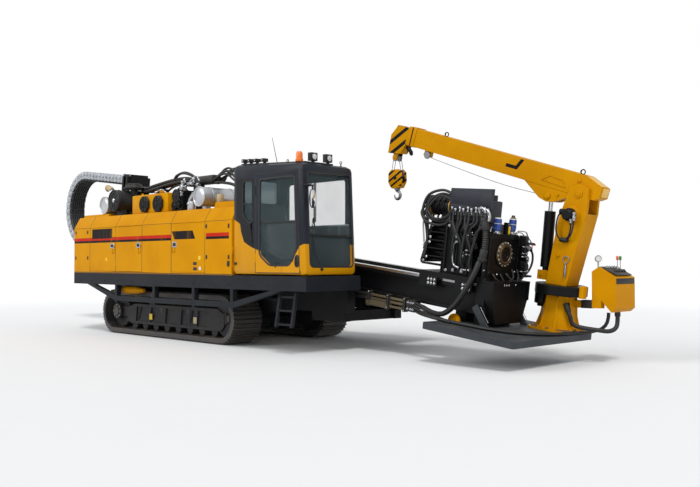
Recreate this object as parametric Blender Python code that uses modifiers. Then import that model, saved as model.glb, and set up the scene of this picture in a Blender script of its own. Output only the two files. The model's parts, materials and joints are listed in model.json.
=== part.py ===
"""Tracked horizontal directional drill: chassis, engine housing, cab, tilting drill mast with
its power head and vises, anchor plate, loader crane, control console and energy chain.

Metres, +Z up. +X is the front, where the drill enters the ground. -Y is the cab's side.
The origin is the middle of the machine on the ground. Run it with
blender --background --python part.py or from the text editor.
"""
import math

import bmesh
import bpy
from mathutils import Matrix, Vector

# Running gap between pieces that touch, and the sides of a round piece.
GAP = 0.0003
SIDES = 16
FINE = 24

# Whole machine: the energy chain ends at the rear limit and the console at the front limit.
HALF_LENGTH = 6.86
HALF_WIDTH = 1.60

# Deck, the dark beam that carries the housing, the cab and the tanks.
DECK_BACK = -3.64
DECK_FRONT = 3.32
DECK_LOW = 0.943
DECK_TOP = 1.16
DECK_INNER = 0.50
SILL_WIDTH = 0.16
SILL_LOW = 0.60

# Centre frame between the tracks.
CORE_BACK = -2.10
CORE_FRONT = 0.30
CORE_LOW = 0.36
CORE_TOP = 0.62
LEG_WIDTH = 0.34
LEG_LOW = 0.36
LEG_TOP = 0.56
LEG_PLACES = (-1.70, -0.18)

# Side truss below the deck.
TRUSS_DEPTH = 0.09
TRUSS_RAIL_LOW = 0.65
TRUSS_RAIL_TOP = 0.74
TRUSS_POST = 0.07
TRUSS_POSTS = (-1.995, -0.69, 0.52, 1.57)
TRUSS_REAR_TIP = -3.05
TRUSS_FRONT_TIP = 2.745

# Tracks.
TRACK_INNER = 0.72
TRACK_OUTER = 1.30
TRACK_REAR_WHEEL = -2.62
TRACK_FRONT_WHEEL = 0.84
TRACK_RADIUS = 0.420
SHOE_THICK = 0.020
GROUSER_HIGH = 0.028
GROUSER_WIDE = 0.018
LINK_THICK = 0.055
SHOES = 48
WHEEL_SEGMENTS = 24
ROLLERS = 8
ROLLER_RADIUS = 0.085
CARRIER_RADIUS = 0.065
TRACK_FRAME_INNER = 0.87
TRACK_FRAME_WIDE = 0.29
DRIVE_COVER_RADIUS = 0.15
RECESS_SHARE = 0.2
SPROCKET_TEETH = 21

# Engine housing.
HOUSING_FRONT = 1.57
HOUSING_INNER = -0.56
HOUSING_SHOULDER = 2.04
HOUSING_TOP = 2.25
HOUSING_CHAMFER = 0.12
DOOR_LOW = 1.195
DOOR_TOP = 2.025
DOOR_THICK = 0.035
DOOR_LIP = 0.030
DOOR_SEAM = 0.004
BAY_DEPTH = 0.50

# Cab.
CAB_BACK = HOUSING_FRONT + 0.004
CAB_FRONT = DECK_FRONT
CAB_INNER = -0.56
CAB_TOP = 2.80
CAB_ROOF_FALL = 0.095
CAB_LEAN = 0.08
CAB_WALL = 0.05
CAB_CORNER = 0.09
MIRROR_OUT = 0.05
MIRROR_Z = 2.27
CAB_DOOR_REAR = 2.165
CAB_DOOR_FRONT = 3.185
CAB_DOOR_LOW = 1.205
CAB_DOOR_TOP = 2.70
CAB_DOOR_THICK = 0.030
CAB_DOOR_LIP = 0.025
GLASS = 0.008

# Mast. Its own frame has x along the mast to the front, z square to it, origin on the pivot.
MAST_TILT = math.radians(7.0)
PIVOT_X = 2.86
PIVOT_Z = 0.85
PIN_RADIUS = 0.045
PIN_PLAY = 0.0006
MAST_REAR = -8.285
MAST_FRONT = 2.66
MAST_TOP = 0.487
MAST_LOW = 0.117
MAST_HALF = 0.35
MAST_WEB = 0.30
MAST_FLANGE = 0.05
TROUGH_HALF = 0.22
TROUGH_FLOOR = 0.30
RAIL_HIGH = 0.04
RAIL_WIDE = 0.11
RAIL_REAR = -5.00
RAIL_FRONT = 2.62
MAST_LUG_THICK = 0.06
MAST_LUG_HALF = 0.12

# Energy chain.
CHAIN_HALF = 0.19
CHAIN_HIGH = 0.17
CHAIN_RADIUS = 0.87
CHAIN_CENTRE_Z = 2.60
CHAIN_PITCH = 0.150
CHAIN_NOTCH = 0.022
CHAIN_LOW_END = -6.30
CHAIN_TOP_END = -7.28
CHAIN_BOX_END = -6.96

# Power head on its carriage, at the front of its travel.
CARRIAGE_REAR = 1.50
CARRIAGE_FRONT = 2.445
CARRIAGE_HALF = 0.42
CARRIAGE_BASE = 0.075
SPINDLE_Z = 0.947
SPINDLE_RADIUS = 0.075

# Vise and wrench.
VISE_REAR = 2.535
VISE_FRONT = 2.604
VISE_HALF = 0.36
VISE_TOP = 1.22
WRENCH_THICK = 0.055
WRENCH_RADIUS = 0.262
ROD_BORE = 0.10
RING_RADIUS = 0.157
CRADLE_FRONT = 2.79
CRADLE_TOP = 0.58
CRADLE_LOW = 0.02

# Feed lines on the mast's near side: two pipes, a jack, and the thick and the thin hose.
PIPE_START = 0.50
PIPE_END = 1.37
PIPE_OUT = 0.04
PIPE_RADIUS = 0.021
PIPE_LEVELS = (0.105, 0.048)
PIPE_CLAMPS = (0.56, 0.95, 1.28)
HOSE_RADIUS = 0.038
THIN_HOSE_RADIUS = 0.025

# Anchor plate under the mast's front end.
PLATE_REAR = 2.07
PLATE_FRONT = 3.54
PLATE_HALF = 0.95
PLATE_TOP = -0.03
PLATE_THICK = 0.09

# Crane: column axis in the mast's frame, and the boom in its own frame.
CRANE_X = 3.168
CRANE_Y = 0.64
CRANE_FLANGE = 0.31
CRANE_FLANGE_THICK = 0.03
BASE_LOW_RADIUS = 0.27
BASE_TOP_RADIUS = 0.21
BASE_HIGH = 0.50
GUARD_RADIUS = 0.34
GUARD_HIGH = 0.13
COLUMN_HALF = 0.16
BOOM_PIVOT_X = 0.21
BOOM_PIVOT_Z = 1.88
BOOM_RISE = math.radians(11.0)
BOOM_HIGH = 0.29
BOOM_UP = 0.11
BOOM_WIDE = 0.22
BOOM_WALL = 0.022
BOOM_TAIL = 0.28
BOOM_LENGTH = 3.25
INNER_LENGTH = 3.30
HEAD_LENGTH = 0.34
HOOK_DROP = 0.20
HOOK_PIVOT = (3.47, -0.29)
EYE_ON_BOOM = (0.4908, -0.1504)
GUSSET_SLOT = 0.0425
HOOK_PIN = 0.015
LUFF_LOW = (-0.2795, 0.7363)
LUFF_TOP = (-0.3005, 1.826)
LUFF_RADIUS = 0.078
LUFF_ROD_RADIUS = 0.032
LUFF_BARREL = 0.88

# Lift cylinders of the mast.
LIFT_PIN_X = -0.50
LIFT_PIN_Z = 0.72
LIFT_EYE_X = -2.30
LIFT_EYE_Z = 0.03
LIFT_RADIUS = 0.090
LIFT_ROD_RADIUS = 0.050
LIFT_BARREL = 0.78
LIFT_PIN = 0.035
LIFT_EYE_HALF = 0.060
EAR_THICK = 0.040
EAR_PLAY = 0.0015

# Control console.
CONSOLE_BACK = 6.52
CONSOLE_LOW = 0.75
CONSOLE_TOP = 1.30
CONSOLE_Y = 0.93
CONSOLE_HALF = 0.27
CONSOLE_ARM_HIGH = 0.10
CONSOLE_ARM_HALF = 0.05
LEVER_BOOT = 0.03
LEVER_BALL = 0.010
LEVER_TIP = 0.0015
LEVER_LONG = 0.14
# Levers: name, place across the console, finish.
LEVERS = (("lever_orange", 0.02, "orange"), ("lever_green", 0.10, "green"))

LOOKS = {
    "yellow": ((0.73, 0.34, 0.02), 0.40, 0.3),
    "frame_grey": ((0.05, 0.055, 0.065), 0.50, 0.3),
    "cab_grey": ((0.055, 0.06, 0.075), 0.45, 0.3),
    "black_steel": ((0.014, 0.015, 0.017), 0.50, 0.3),
    "chain_grey": ((0.38, 0.40, 0.42), 0.40, 0.9),
    "silver": ((0.60, 0.62, 0.64), 0.30, 0.9),
    "blue": ((0.02, 0.07, 0.30), 0.40, 0.3),
    "bronze": ((0.16, 0.11, 0.06), 0.50, 0.8),
    "glass": ((0.06, 0.10, 0.08), 0.08, 0.0),
    "orange": ((0.80, 0.14, 0.02), 0.30, 0.0),
    "steel": ((0.18, 0.17, 0.16), 0.45, 0.8),
    "chrome": ((0.70, 0.70, 0.72), 0.15, 1.0),
    "green": ((0.03, 0.30, 0.06), 0.40, 0.0),
    "seat": ((0.03, 0.03, 0.035), 0.80, 0.0),
}

for old in list(bpy.data.objects):
    bpy.data.objects.remove(old, do_unlink=True)
for old in list(bpy.data.collections):
    bpy.data.collections.remove(old)

DRILL = bpy.data.collections.new("horizontal directional drill")
CUTTERS = bpy.data.collections.new("cutters and joined shapes")
for group in (DRILL, CUTTERS):
    bpy.context.scene.collection.children.link(group)


def look(name):
    """One Principled material for each colour and finish."""
    found = bpy.data.materials.get(name)
    if found:
        return found
    colour, rough, metal = LOOKS[name]
    made = bpy.data.materials.new(name)
    made.use_nodes = True
    shader = made.node_tree.nodes["Principled BSDF"]
    shader.inputs["Base Color"].default_value = (*colour, 1.0)
    shader.inputs["Roughness"].default_value = rough
    shader.inputs["Metallic"].default_value = metal
    made.diffuse_color = (*colour, 1.0)
    return made


def frame(name, parent=None, at=(0, 0, 0), turn=None):
    """An empty that carries the pieces placed in its own axes."""
    empty = bpy.data.objects.new(name, None)
    DRILL.objects.link(empty)
    empty.parent = parent
    empty.location = at
    if turn is not None:
        empty.rotation_euler = turn.to_euler()
    return empty


def shape(bm):
    """A shape that solid() joins or cuts."""
    mesh = bpy.data.meshes.new("shape")
    bmesh.ops.recalc_face_normals(bm, faces=bm.faces)
    bm.to_mesh(mesh)
    bm.free()
    made = bpy.data.objects.new("shape", mesh)
    CUTTERS.objects.link(made)
    made.hide_render = True
    made.display_type = "WIRE"
    return made


def box(low, high, top_shift=None, bevel=0.0):
    """A box between two corners. top_shift moves the top's low x, high x, low y and high y."""
    bm = bmesh.new()
    bmesh.ops.create_cube(bm, size=1.0)
    low, high = Vector(low), Vector(high)
    size, middle = high - low, (low + high) / 2
    for v in bm.verts:
        side = v.co.copy()
        v.co = Vector((side.x * size.x, side.y * size.y, side.z * size.z)) + middle
        if top_shift and side.z > 0:
            v.co.x += top_shift[1] if side.x > 0 else top_shift[0]
            v.co.y += top_shift[3] if side.y > 0 else top_shift[2]
    made = shape(bm)
    if bevel:
        rounding = made.modifiers.new("rounding", "BEVEL")
        rounding.width = bevel
        rounding.segments = 2
    return made


def rod(start, end, radius, end_radius=None, sides=SIDES, roll=0.0):
    """A cylinder or cone between two points."""
    start, end = Vector(start), Vector(end)
    run = end - start
    bm = bmesh.new()
    bmesh.ops.create_cone(
        bm, cap_ends=True, segments=sides, depth=run.length,
        radius1=radius, radius2=radius if end_radius is None else end_radius,
    )
    turn = run.to_track_quat("Z", "Y").to_matrix().to_4x4()
    spin = Matrix.Rotation(roll, 4, "Z")
    bmesh.ops.transform(
        bm, matrix=Matrix.Translation((start + end) / 2) @ turn @ spin, verts=bm.verts
    )
    return shape(bm)


def bar(start, end, wide, high):
    """A square bar between two points, with its height as near upright as it can be."""
    start, end = Vector(start), Vector(end)
    run = end - start
    along = run.normalized()
    side = Vector((0, 0, 1)).cross(along)
    side = side.normalized() if side.length > 0.001 else Vector((0, 1, 0))
    up = along.cross(side)
    axes = Matrix((along, side, up)).transposed().to_4x4()
    bm = bmesh.new()
    bmesh.ops.create_cube(bm, size=1.0)
    stretch = Matrix.Diagonal((run.length, wide, high, 1.0))
    bmesh.ops.transform(
        bm, matrix=Matrix.Translation((start + end) / 2) @ axes @ stretch, verts=bm.verts
    )
    return shape(bm)


def meshed(curve):
    """The mesh of a curve object, with its caps welded, as a shape."""
    made = bpy.data.objects.new("curve", curve)
    CUTTERS.objects.link(made)
    bpy.context.view_layer.update()
    seen = made.evaluated_get(bpy.context.evaluated_depsgraph_get())
    mesh = bpy.data.meshes.new_from_object(seen)
    bm = bmesh.new()
    bm.from_mesh(mesh)
    bmesh.ops.remove_doubles(bm, verts=bm.verts, dist=0.00005)
    bpy.data.objects.remove(made, do_unlink=True)
    bpy.data.meshes.remove(mesh)
    return bm


def outline(rings, half, plane="XZ", middle=0.0):
    """A flat outline, with any holes, given half its thickness on each side of the middle.

    XZ outlines are thick along Y, YZ along X and XY along Z.
    """
    curve = bpy.data.curves.new("outline", "CURVE")
    curve.dimensions = "2D"
    curve.fill_mode = "BOTH"
    curve.extrude = half
    for ring in rings:
        line = curve.splines.new("POLY")
        line.points.add(len(ring) - 1)
        for point, (a, b) in zip(line.points, ring):
            point.co = (a, b, 0, 1)
        line.use_cyclic_u = True
    bm = meshed(curve)
    turns = {
        "XY": Matrix.Translation((0, 0, middle)),
        "XZ": Matrix.Translation((0, middle, 0)) @ Matrix.Rotation(math.pi / 2, 4, "X"),
        "YZ": Matrix.Translation((middle, 0, 0))
        @ Matrix(((0, 0, 1, 0), (1, 0, 0, 0), (0, 1, 0, 0), (0, 0, 0, 1))),
    }
    bmesh.ops.transform(bm, matrix=turns[plane], verts=bm.verts)
    return shape(bm)


def smooth_line(points, step):
    """A smooth run through chosen points, as a Catmull-Rom curve cut into short steps."""
    ends = [Vector(p) for p in points]
    ends = [2 * ends[0] - ends[1], *ends, 2 * ends[-1] - ends[-2]]
    run = []
    for a, b, c, d in zip(ends, ends[1:], ends[2:], ends[3:]):
        count = max(1, round((c - b).length / step))
        for k in range(count):
            t = k / count
            run.append(
                0.5 * (2 * b + (c - a) * t + (2 * a - 5 * b + 4 * c - d) * t**2
                       + (3 * b - a - 3 * c + d) * t**3)
            )
    run.append(ends[-2])
    return run


def tube(points, radius, step=None, detail=2):
    """A round tube along a smooth run through chosen points."""
    run = smooth_line(points, step or 2.5 * radius)
    curve = bpy.data.curves.new("tube", "CURVE")
    curve.dimensions = "3D"
    curve.bevel_depth = radius
    curve.bevel_resolution = detail
    curve.use_fill_caps = True
    line = curve.splines.new("POLY")
    line.points.add(len(run) - 1)
    for point, place in zip(line.points, run):
        point.co = (*place, 1)
    return shape(meshed(curve))


def turned(profile, start, axis="Z", sides=SIDES):
    """A turned shape: (radius, height) down the outer side, top to bottom, from axis to axis."""
    bm = bmesh.new()
    points = [bm.verts.new((r, 0, h)) for r, h in profile]
    for a, b in zip(points, points[1:]):
        bm.edges.new((a, b))
    mesh = bpy.data.meshes.new("profile")
    bm.to_mesh(mesh)
    bm.free()
    made = bpy.data.objects.new("profile", mesh)
    CUTTERS.objects.link(made)
    made.hide_render = True
    made.display_type = "WIRE"
    screw = made.modifiers.new("turn", "SCREW")
    screw.steps = screw.render_steps = sides
    screw.use_merge_vertices = True
    screw.merge_threshold = 0.0001
    made.location = start
    if axis == "X":
        made.rotation_euler = (0, math.pi / 2, 0)
    if axis == "Y":
        made.rotation_euler = (math.pi / 2, 0, 0)
    return made


def solid(name, where, finish, add, cut=()):
    """One node: the first shape with the others joined to it and the cutters taken from it."""
    body = add[0]
    for tool, work in [(t, "UNION") for t in add[1:]] + [(t, "DIFFERENCE") for t in cut]:
        tool.parent = tool.parent or where
        change = body.modifiers.new(work.lower(), "BOOLEAN")
        change.operation = work
        change.solver = "EXACT"
        change.object = tool
    CUTTERS.objects.unlink(body)
    DRILL.objects.link(body)
    body.parent = body.parent or where
    body.name = name
    body.data.name = name
    body.hide_render = False
    body.display_type = "TEXTURED"
    body.data.materials.clear()
    body.data.materials.append(look(finish))
    body.data.shade_smooth()
    body.data.set_sharp_from_angle(angle=math.radians(30))
    return body


def circle(x, z, radius, count=SIDES, start=0.0):
    """Points round a circle."""
    turn = 2 * math.pi / count
    return [
        (x + radius * math.cos(start + k * turn), z + radius * math.sin(start + k * turn))
        for k in range(count)
    ]


def rounded(x0, x1, z0, z1, radius, count=3):
    """A rectangle's outline with round corners."""
    corners = [(x1, z1, 0), (x0, z1, 1), (x0, z0, 2), (x1, z0, 3)]
    points = []
    for x, z, quarter in corners:
        cx = x - radius if x == x1 else x + radius
        cz = z - radius if z == z1 else z + radius
        for k in range(count + 1):
            angle = math.pi / 2 * (quarter + k / count)
            points.append((cx + radius * math.cos(angle), cz + radius * math.sin(angle)))
    return points


def mast_place(x, z):
    """A place given in the machine's X and Z, in the mast's own x and z."""
    dx, dz = x - PIVOT_X, z - PIVOT_Z
    c, s = math.cos(MAST_TILT), math.sin(MAST_TILT)
    return dx * c - dz * s, dx * s + dz * c


MACHINE = frame("machine")
MAST = frame("mast", MACHINE, (PIVOT_X, 0, PIVOT_Z), Matrix.Rotation(MAST_TILT, 3, "Y"))


def chassis():
    """Deck, sills and centre frame, with the ears for the mast's pin and lift cylinders."""
    sill = DECK_INNER + SILL_WIDTH
    ear_out = MAST_HALF + 0.10
    add = [box((CORE_BACK, -sill, CORE_LOW), (CORE_FRONT, sill, CORE_TOP))]
    for side in (-1, 1):
        inner, outer = sorted((side * DECK_INNER, side * HALF_WIDTH))
        add.append(box((DECK_BACK, inner, DECK_LOW), (DECK_FRONT, outer, DECK_TOP)))
        inner, outer = sorted((side * DECK_INNER, side * sill))
        add.append(box((CORE_BACK, inner, SILL_LOW), (DECK_FRONT - 0.12, outer, DECK_LOW + 0.02)))
        add.append(box((PIVOT_X - 0.45, inner, CORE_LOW + 0.1), (PIVOT_X + 0.25, outer, SILL_LOW + 0.02)))
        inner, outer = sorted((side * (MAST_HALF + 0.02), side * ear_out))
        add.append(box((PIVOT_X - 0.16, inner, CORE_LOW + 0.1), (PIVOT_X + 0.16, outer, PIVOT_Z + 0.09)))
        ear = side * (LIFT_EYE_HALF + EAR_THICK / 2 + EAR_PLAY)
        add.append(box((LIFT_PIN_X - 0.10, ear - EAR_THICK / 2, CORE_TOP - 0.02),
                       (LIFT_PIN_X + 0.08, ear + EAR_THICK / 2, LIFT_PIN_Z + 0.07)))
    add.append(rod((LIFT_PIN_X, -0.14, LIFT_PIN_Z), (LIFT_PIN_X, 0.14, LIFT_PIN_Z), LIFT_PIN, sides=FINE))
    for place in LEG_PLACES:
        add.append(box((place - LEG_WIDTH / 2, GAP - TRACK_FRAME_INNER, LEG_LOW),
                       (place + LEG_WIDTH / 2, TRACK_FRAME_INNER - GAP, LEG_TOP)))
    add.append(box((PIVOT_X - 0.35, -sill, CORE_LOW + 0.1), (PIVOT_X + 0.20, sill, SILL_LOW + 0.02)))
    add.append(rod((PIVOT_X, -ear_out - 0.02, PIVOT_Z), (PIVOT_X, ear_out + 0.02, PIVOT_Z),
                   PIN_RADIUS, sides=FINE))
    solid("chassis_frame", MACHINE, "frame_grey", add + truss(-1) + truss(1))


def truss(side):
    """Lower rail, posts and end diagonals under the deck's outer edge, as shapes to join."""
    outer = side * HALF_WIDTH
    middle = outer - side * TRUSS_DEPTH / 2
    low, high = sorted((outer, outer - side * TRUSS_DEPTH))
    top = DECK_LOW + 0.02
    half = TRUSS_POST / 2
    add = [box((TRUSS_POSTS[0] - half, low, TRUSS_RAIL_LOW), (TRUSS_POSTS[-1] + half, high, TRUSS_RAIL_TOP))]
    for x in TRUSS_POSTS:
        add.append(box((x - half, low, TRUSS_RAIL_LOW - 0.03), (x + half, high, top)))
    for foot, tip, lean in ((TRUSS_POSTS[0], TRUSS_REAR_TIP, -1), (TRUSS_POSTS[-1], TRUSS_FRONT_TIP, 1)):
        wide = TRUSS_POST * 1.6
        ring = [
            (foot, TRUSS_RAIL_LOW), (foot, TRUSS_RAIL_TOP),
            (tip - lean * wide, top), (tip + lean * wide, top), (foot + lean * half, TRUSS_RAIL_LOW),
        ]
        add.append(outline([ring], TRUSS_DEPTH / 2 - 0.002, "XZ", middle))
    return add


def track_ring(offset, count):
    """Points of the track's path at an offset from its outer line, evenly spaced by angle."""
    points = []
    for wheel, first in ((TRACK_FRONT_WHEEL, -90), (TRACK_REAR_WHEEL, 90)):
        for k in range(count + 1):
            angle = math.radians(first + 180 * k / count)
            r = TRACK_RADIUS + offset
            points.append((wheel + r * math.cos(angle), TRACK_RADIUS + r * math.sin(angle)))
    return points


def track_path(distance):
    """Place and outward direction at a distance along the track's shoe line."""
    straight = TRACK_FRONT_WHEEL - TRACK_REAR_WHEEL
    r = TRACK_RADIUS - GROUSER_HIGH
    half = math.pi * r
    distance %= 2 * (straight + half)
    if distance < straight:
        return Vector((TRACK_REAR_WHEEL + distance, TRACK_RADIUS - r)), Vector((0, -1))
    if distance < straight + half:
        angle = -math.pi / 2 + (distance - straight) / r
        out = Vector((math.cos(angle), math.sin(angle)))
        return Vector((TRACK_FRONT_WHEEL, TRACK_RADIUS)) + r * out, out
    if distance < 2 * straight + half:
        return Vector((TRACK_FRONT_WHEEL - distance + straight + half, TRACK_RADIUS + r)), Vector((0, 1))
    angle = math.pi / 2 + (distance - 2 * straight - half) / r
    out = Vector((math.cos(angle), math.sin(angle)))
    return Vector((TRACK_REAR_WHEEL, TRACK_RADIUS)) + r * out, out


def track(side, name):
    """The shoes with three grousers each, on the band of links, as one closed loop."""
    r = TRACK_RADIUS - GROUSER_HIGH
    pitch = 2 * (TRACK_FRONT_WHEEL - TRACK_REAR_WHEEL + math.pi * r) / SHOES
    outer = []
    for k in range(SHOES):
        for part, height in shoe_profile(pitch):
            place, out = track_path(k * pitch + part)
            outer.append(tuple(place + out * height))
    inner = track_ring(-GROUSER_HIGH - SHOE_THICK - LINK_THICK, WHEEL_SEGMENTS)
    middle = side * (TRACK_INNER + TRACK_OUTER) / 2
    half = (TRACK_OUTER - TRACK_INNER) / 2
    solid(name, MACHINE, "steel", [outline([outer, inner], half, "XZ", middle)])


def shoe_profile(pitch):
    """Distance along one shoe and height over its plate: a seam, then three grousers."""
    points = [(0.0, -0.012), (0.006, 0.0)]
    for k in range(3):
        at = pitch * (k + 0.5) / 3
        half = GROUSER_WIDE / 2
        points += [(at - half, 0.0), (at, GROUSER_HIGH), (at + half, 0.0)]
    return points


def track_frame(side, name):
    """Side frame with its recesses, rollers, idler, sprocket and round drive cover."""
    inside = TRACK_RADIUS - GROUSER_HIGH - SHOE_THICK - LINK_THICK - GAP
    floor = TRACK_RADIUS - inside
    roof = TRACK_RADIUS + inside
    half = TRACK_FRAME_WIDE / 2
    middle = side * (TRACK_FRAME_INNER + half)
    outer = side * (TRACK_FRAME_INNER + TRACK_FRAME_WIDE)
    start, end = TRACK_REAR_WHEEL + 0.30, TRACK_FRONT_WHEEL - 0.10
    beam_low, beam_top = floor + 0.10, roof - 0.16
    beam = [
        (start, beam_low + 0.05), (start + 0.15, beam_low), (end - 0.05, beam_low), (end + 0.04,
                                                                                     beam_low + 0.09),
        (end + 0.04, beam_top - 0.09), (end - 0.15, beam_top), (start + 0.25, beam_top), (start,
                                                                                          beam_top - 0.08),
    ]
    add = [outline([beam], half, "XZ", middle)]
    step = (end - start - 0.5) / (ROLLERS - 1)
    for k in range(ROLLERS):
        x = start + 0.25 + k * step
        add.append(rod((x, middle - half * 0.86, floor + ROLLER_RADIUS),
                       (x, middle + half * 0.86, floor + ROLLER_RADIUS),
                       ROLLER_RADIUS, sides=16, roll=math.pi / 2))
    for x in (start + 0.8, end - 0.8):
        add.append(rod((x, middle - half * 0.7, roof - CARRIER_RADIUS),
                       (x, middle + half * 0.7, roof - CARRIER_RADIUS),
                       CARRIER_RADIUS, sides=12, roll=math.pi / 2))
        add.append(box((x - 0.04, middle - half * 0.9, beam_top - 0.02),
                       (x + 0.04, middle + half * 0.5, roof - CARRIER_RADIUS)))
    wheels = ((TRACK_FRONT_WHEEL, 0.78), (TRACK_REAR_WHEEL, 0.62))
    for wheel, share in wheels:
        ring = circle(wheel, TRACK_RADIUS, inside, 2 * WHEEL_SEGMENTS)
        if wheel == TRACK_REAR_WHEEL:
            ring = sprocket(wheel, inside)
        add.append(outline([ring], half * share, "XZ", middle))
    for x, reach in ((TRACK_REAR_WHEEL, 0.34), (TRACK_FRONT_WHEEL, -0.22)):
        low, high = sorted((x, x + reach))
        add.append(box((low, middle - half * 0.95, TRACK_RADIUS - 0.09),
                       (high, middle + half * 0.95, TRACK_RADIUS + 0.09)))
    add.append(rod((TRACK_REAR_WHEEL, middle, TRACK_RADIUS),
                   (TRACK_REAR_WHEEL, outer + side * 0.06, TRACK_RADIUS),
                   DRIVE_COVER_RADIUS))
    cut = []
    width = (end - start - 0.55) / 5
    for k in range(5):
        x = start + 0.30 + k * width
        lean = 0.035
        ring = [(x, beam_low + 0.05), (x + width - 0.05, beam_low + 0.05),
                (x + width - 0.05 - lean, beam_top - 0.05), (x + lean, beam_top - 0.05)]
        cut.append(outline([ring], half * RECESS_SHARE, "XZ", outer))
    solid(name, MACHINE, "frame_grey", add, cut)


def sprocket(x, radius):
    """A toothed wheel's outline that stays within a radius."""
    points = []
    for k in range(SPROCKET_TEETH):
        for part, depth in ((0.10, 0.030), (0.35, 0.0), (0.65, 0.0), (0.90, 0.030)):
            angle = 2 * math.pi * (k + part) / SPROCKET_TEETH
            r = radius - 0.002 - depth
            points.append((x + r * math.cos(angle), TRACK_RADIUS + r * math.sin(angle)))
    return points


# Side doors of the engine housing: name, rear edge, front edge, whether hinged at the front.
HOUSING_DOORS = (
    ("engine_door_rear", -2.99, -2.01, False),
    ("engine_door_middle", -2.01, -1.08, False),
    ("engine_door_front", -0.14, 0.85, True),
)


# Raised pieces on the housing's roof: rear, front, top.
HOODS = ((-3.62, -2.62, 2.305), (0.84, 1.55, 2.35))


def housing():
    """Engine housing with its chamfered shoulders, and a bay with a rebate behind each door."""
    low = DECK_TOP + GAP
    near = -HALF_WIDTH
    ring = [
        (near, low), (HOUSING_INNER, low), (HOUSING_INNER, HOUSING_TOP - 0.03), (HOUSING_INNER - 0.05,
                                                                                 HOUSING_TOP),
        (near + HOUSING_CHAMFER, HOUSING_TOP), (near, HOUSING_SHOULDER),
    ]
    middle = (DECK_BACK + HOUSING_FRONT) / 2
    half = (HOUSING_FRONT - DECK_BACK) / 2
    cut = []
    for _, rear, front, _ in HOUSING_DOORS:
        edge = DOOR_SEAM / 2
        cut.append(box((rear + edge, near - 0.1, DOOR_LOW),
                       (front - edge, near + DOOR_THICK + GAP, DOOR_TOP)))
        lip = edge + DOOR_LIP
        cut.append(box((rear + lip, near - 0.1, DOOR_LOW + DOOR_LIP),
                       (front - lip, near + BAY_DEPTH, DOOR_TOP - DOOR_LIP)))
    hoods = [box((x0, -1.42, HOUSING_TOP - 0.02), (x1, -0.62, top), (0.02, -0.02, 0.02, -0.02))
             for x0, x1, top in HOODS]
    solid("engine_housing", MACHINE, "yellow", [outline([ring], half, "YZ", middle), *hoods], cut)
    for name, rear, front, at_front in HOUSING_DOORS:
        hinge = front - DOOR_SEAM / 2 if at_front else rear + DOOR_SEAM / 2
        where = frame(name + "_hinge", MACHINE, (hinge, near, 0))
        wide = front - rear - 3 * DOOR_SEAM
        start = -DOOR_SEAM / 2 - wide if at_front else DOOR_SEAM / 2
        panel = box((start, 0, DOOR_LOW + DOOR_SEAM), (start + wide, DOOR_THICK, DOOR_TOP - DOOR_SEAM))
        grip = start + 0.07 if at_front else start + wide - 0.07
        latch = box((grip - 0.03, 0, 1.55), (grip + 0.03, 0.022, 1.64))
        pocket = box((grip - 0.05, -0.01, 1.52), (grip + 0.05, 0.014, 1.67))
        solid(name, where, "yellow", [cutout(panel, pocket), latch])


# Shapes whose own cuts are made before they are joined, with their tools.
POCKETS = []


def cutout(body, tool):
    """Takes one shape from another before they are joined to anything else."""
    change = body.modifiers.new("pocket", "BOOLEAN")
    change.operation = "DIFFERENCE"
    change.solver = "EXACT"
    change.object = tool
    POCKETS.append((body, tool))
    return body


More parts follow.
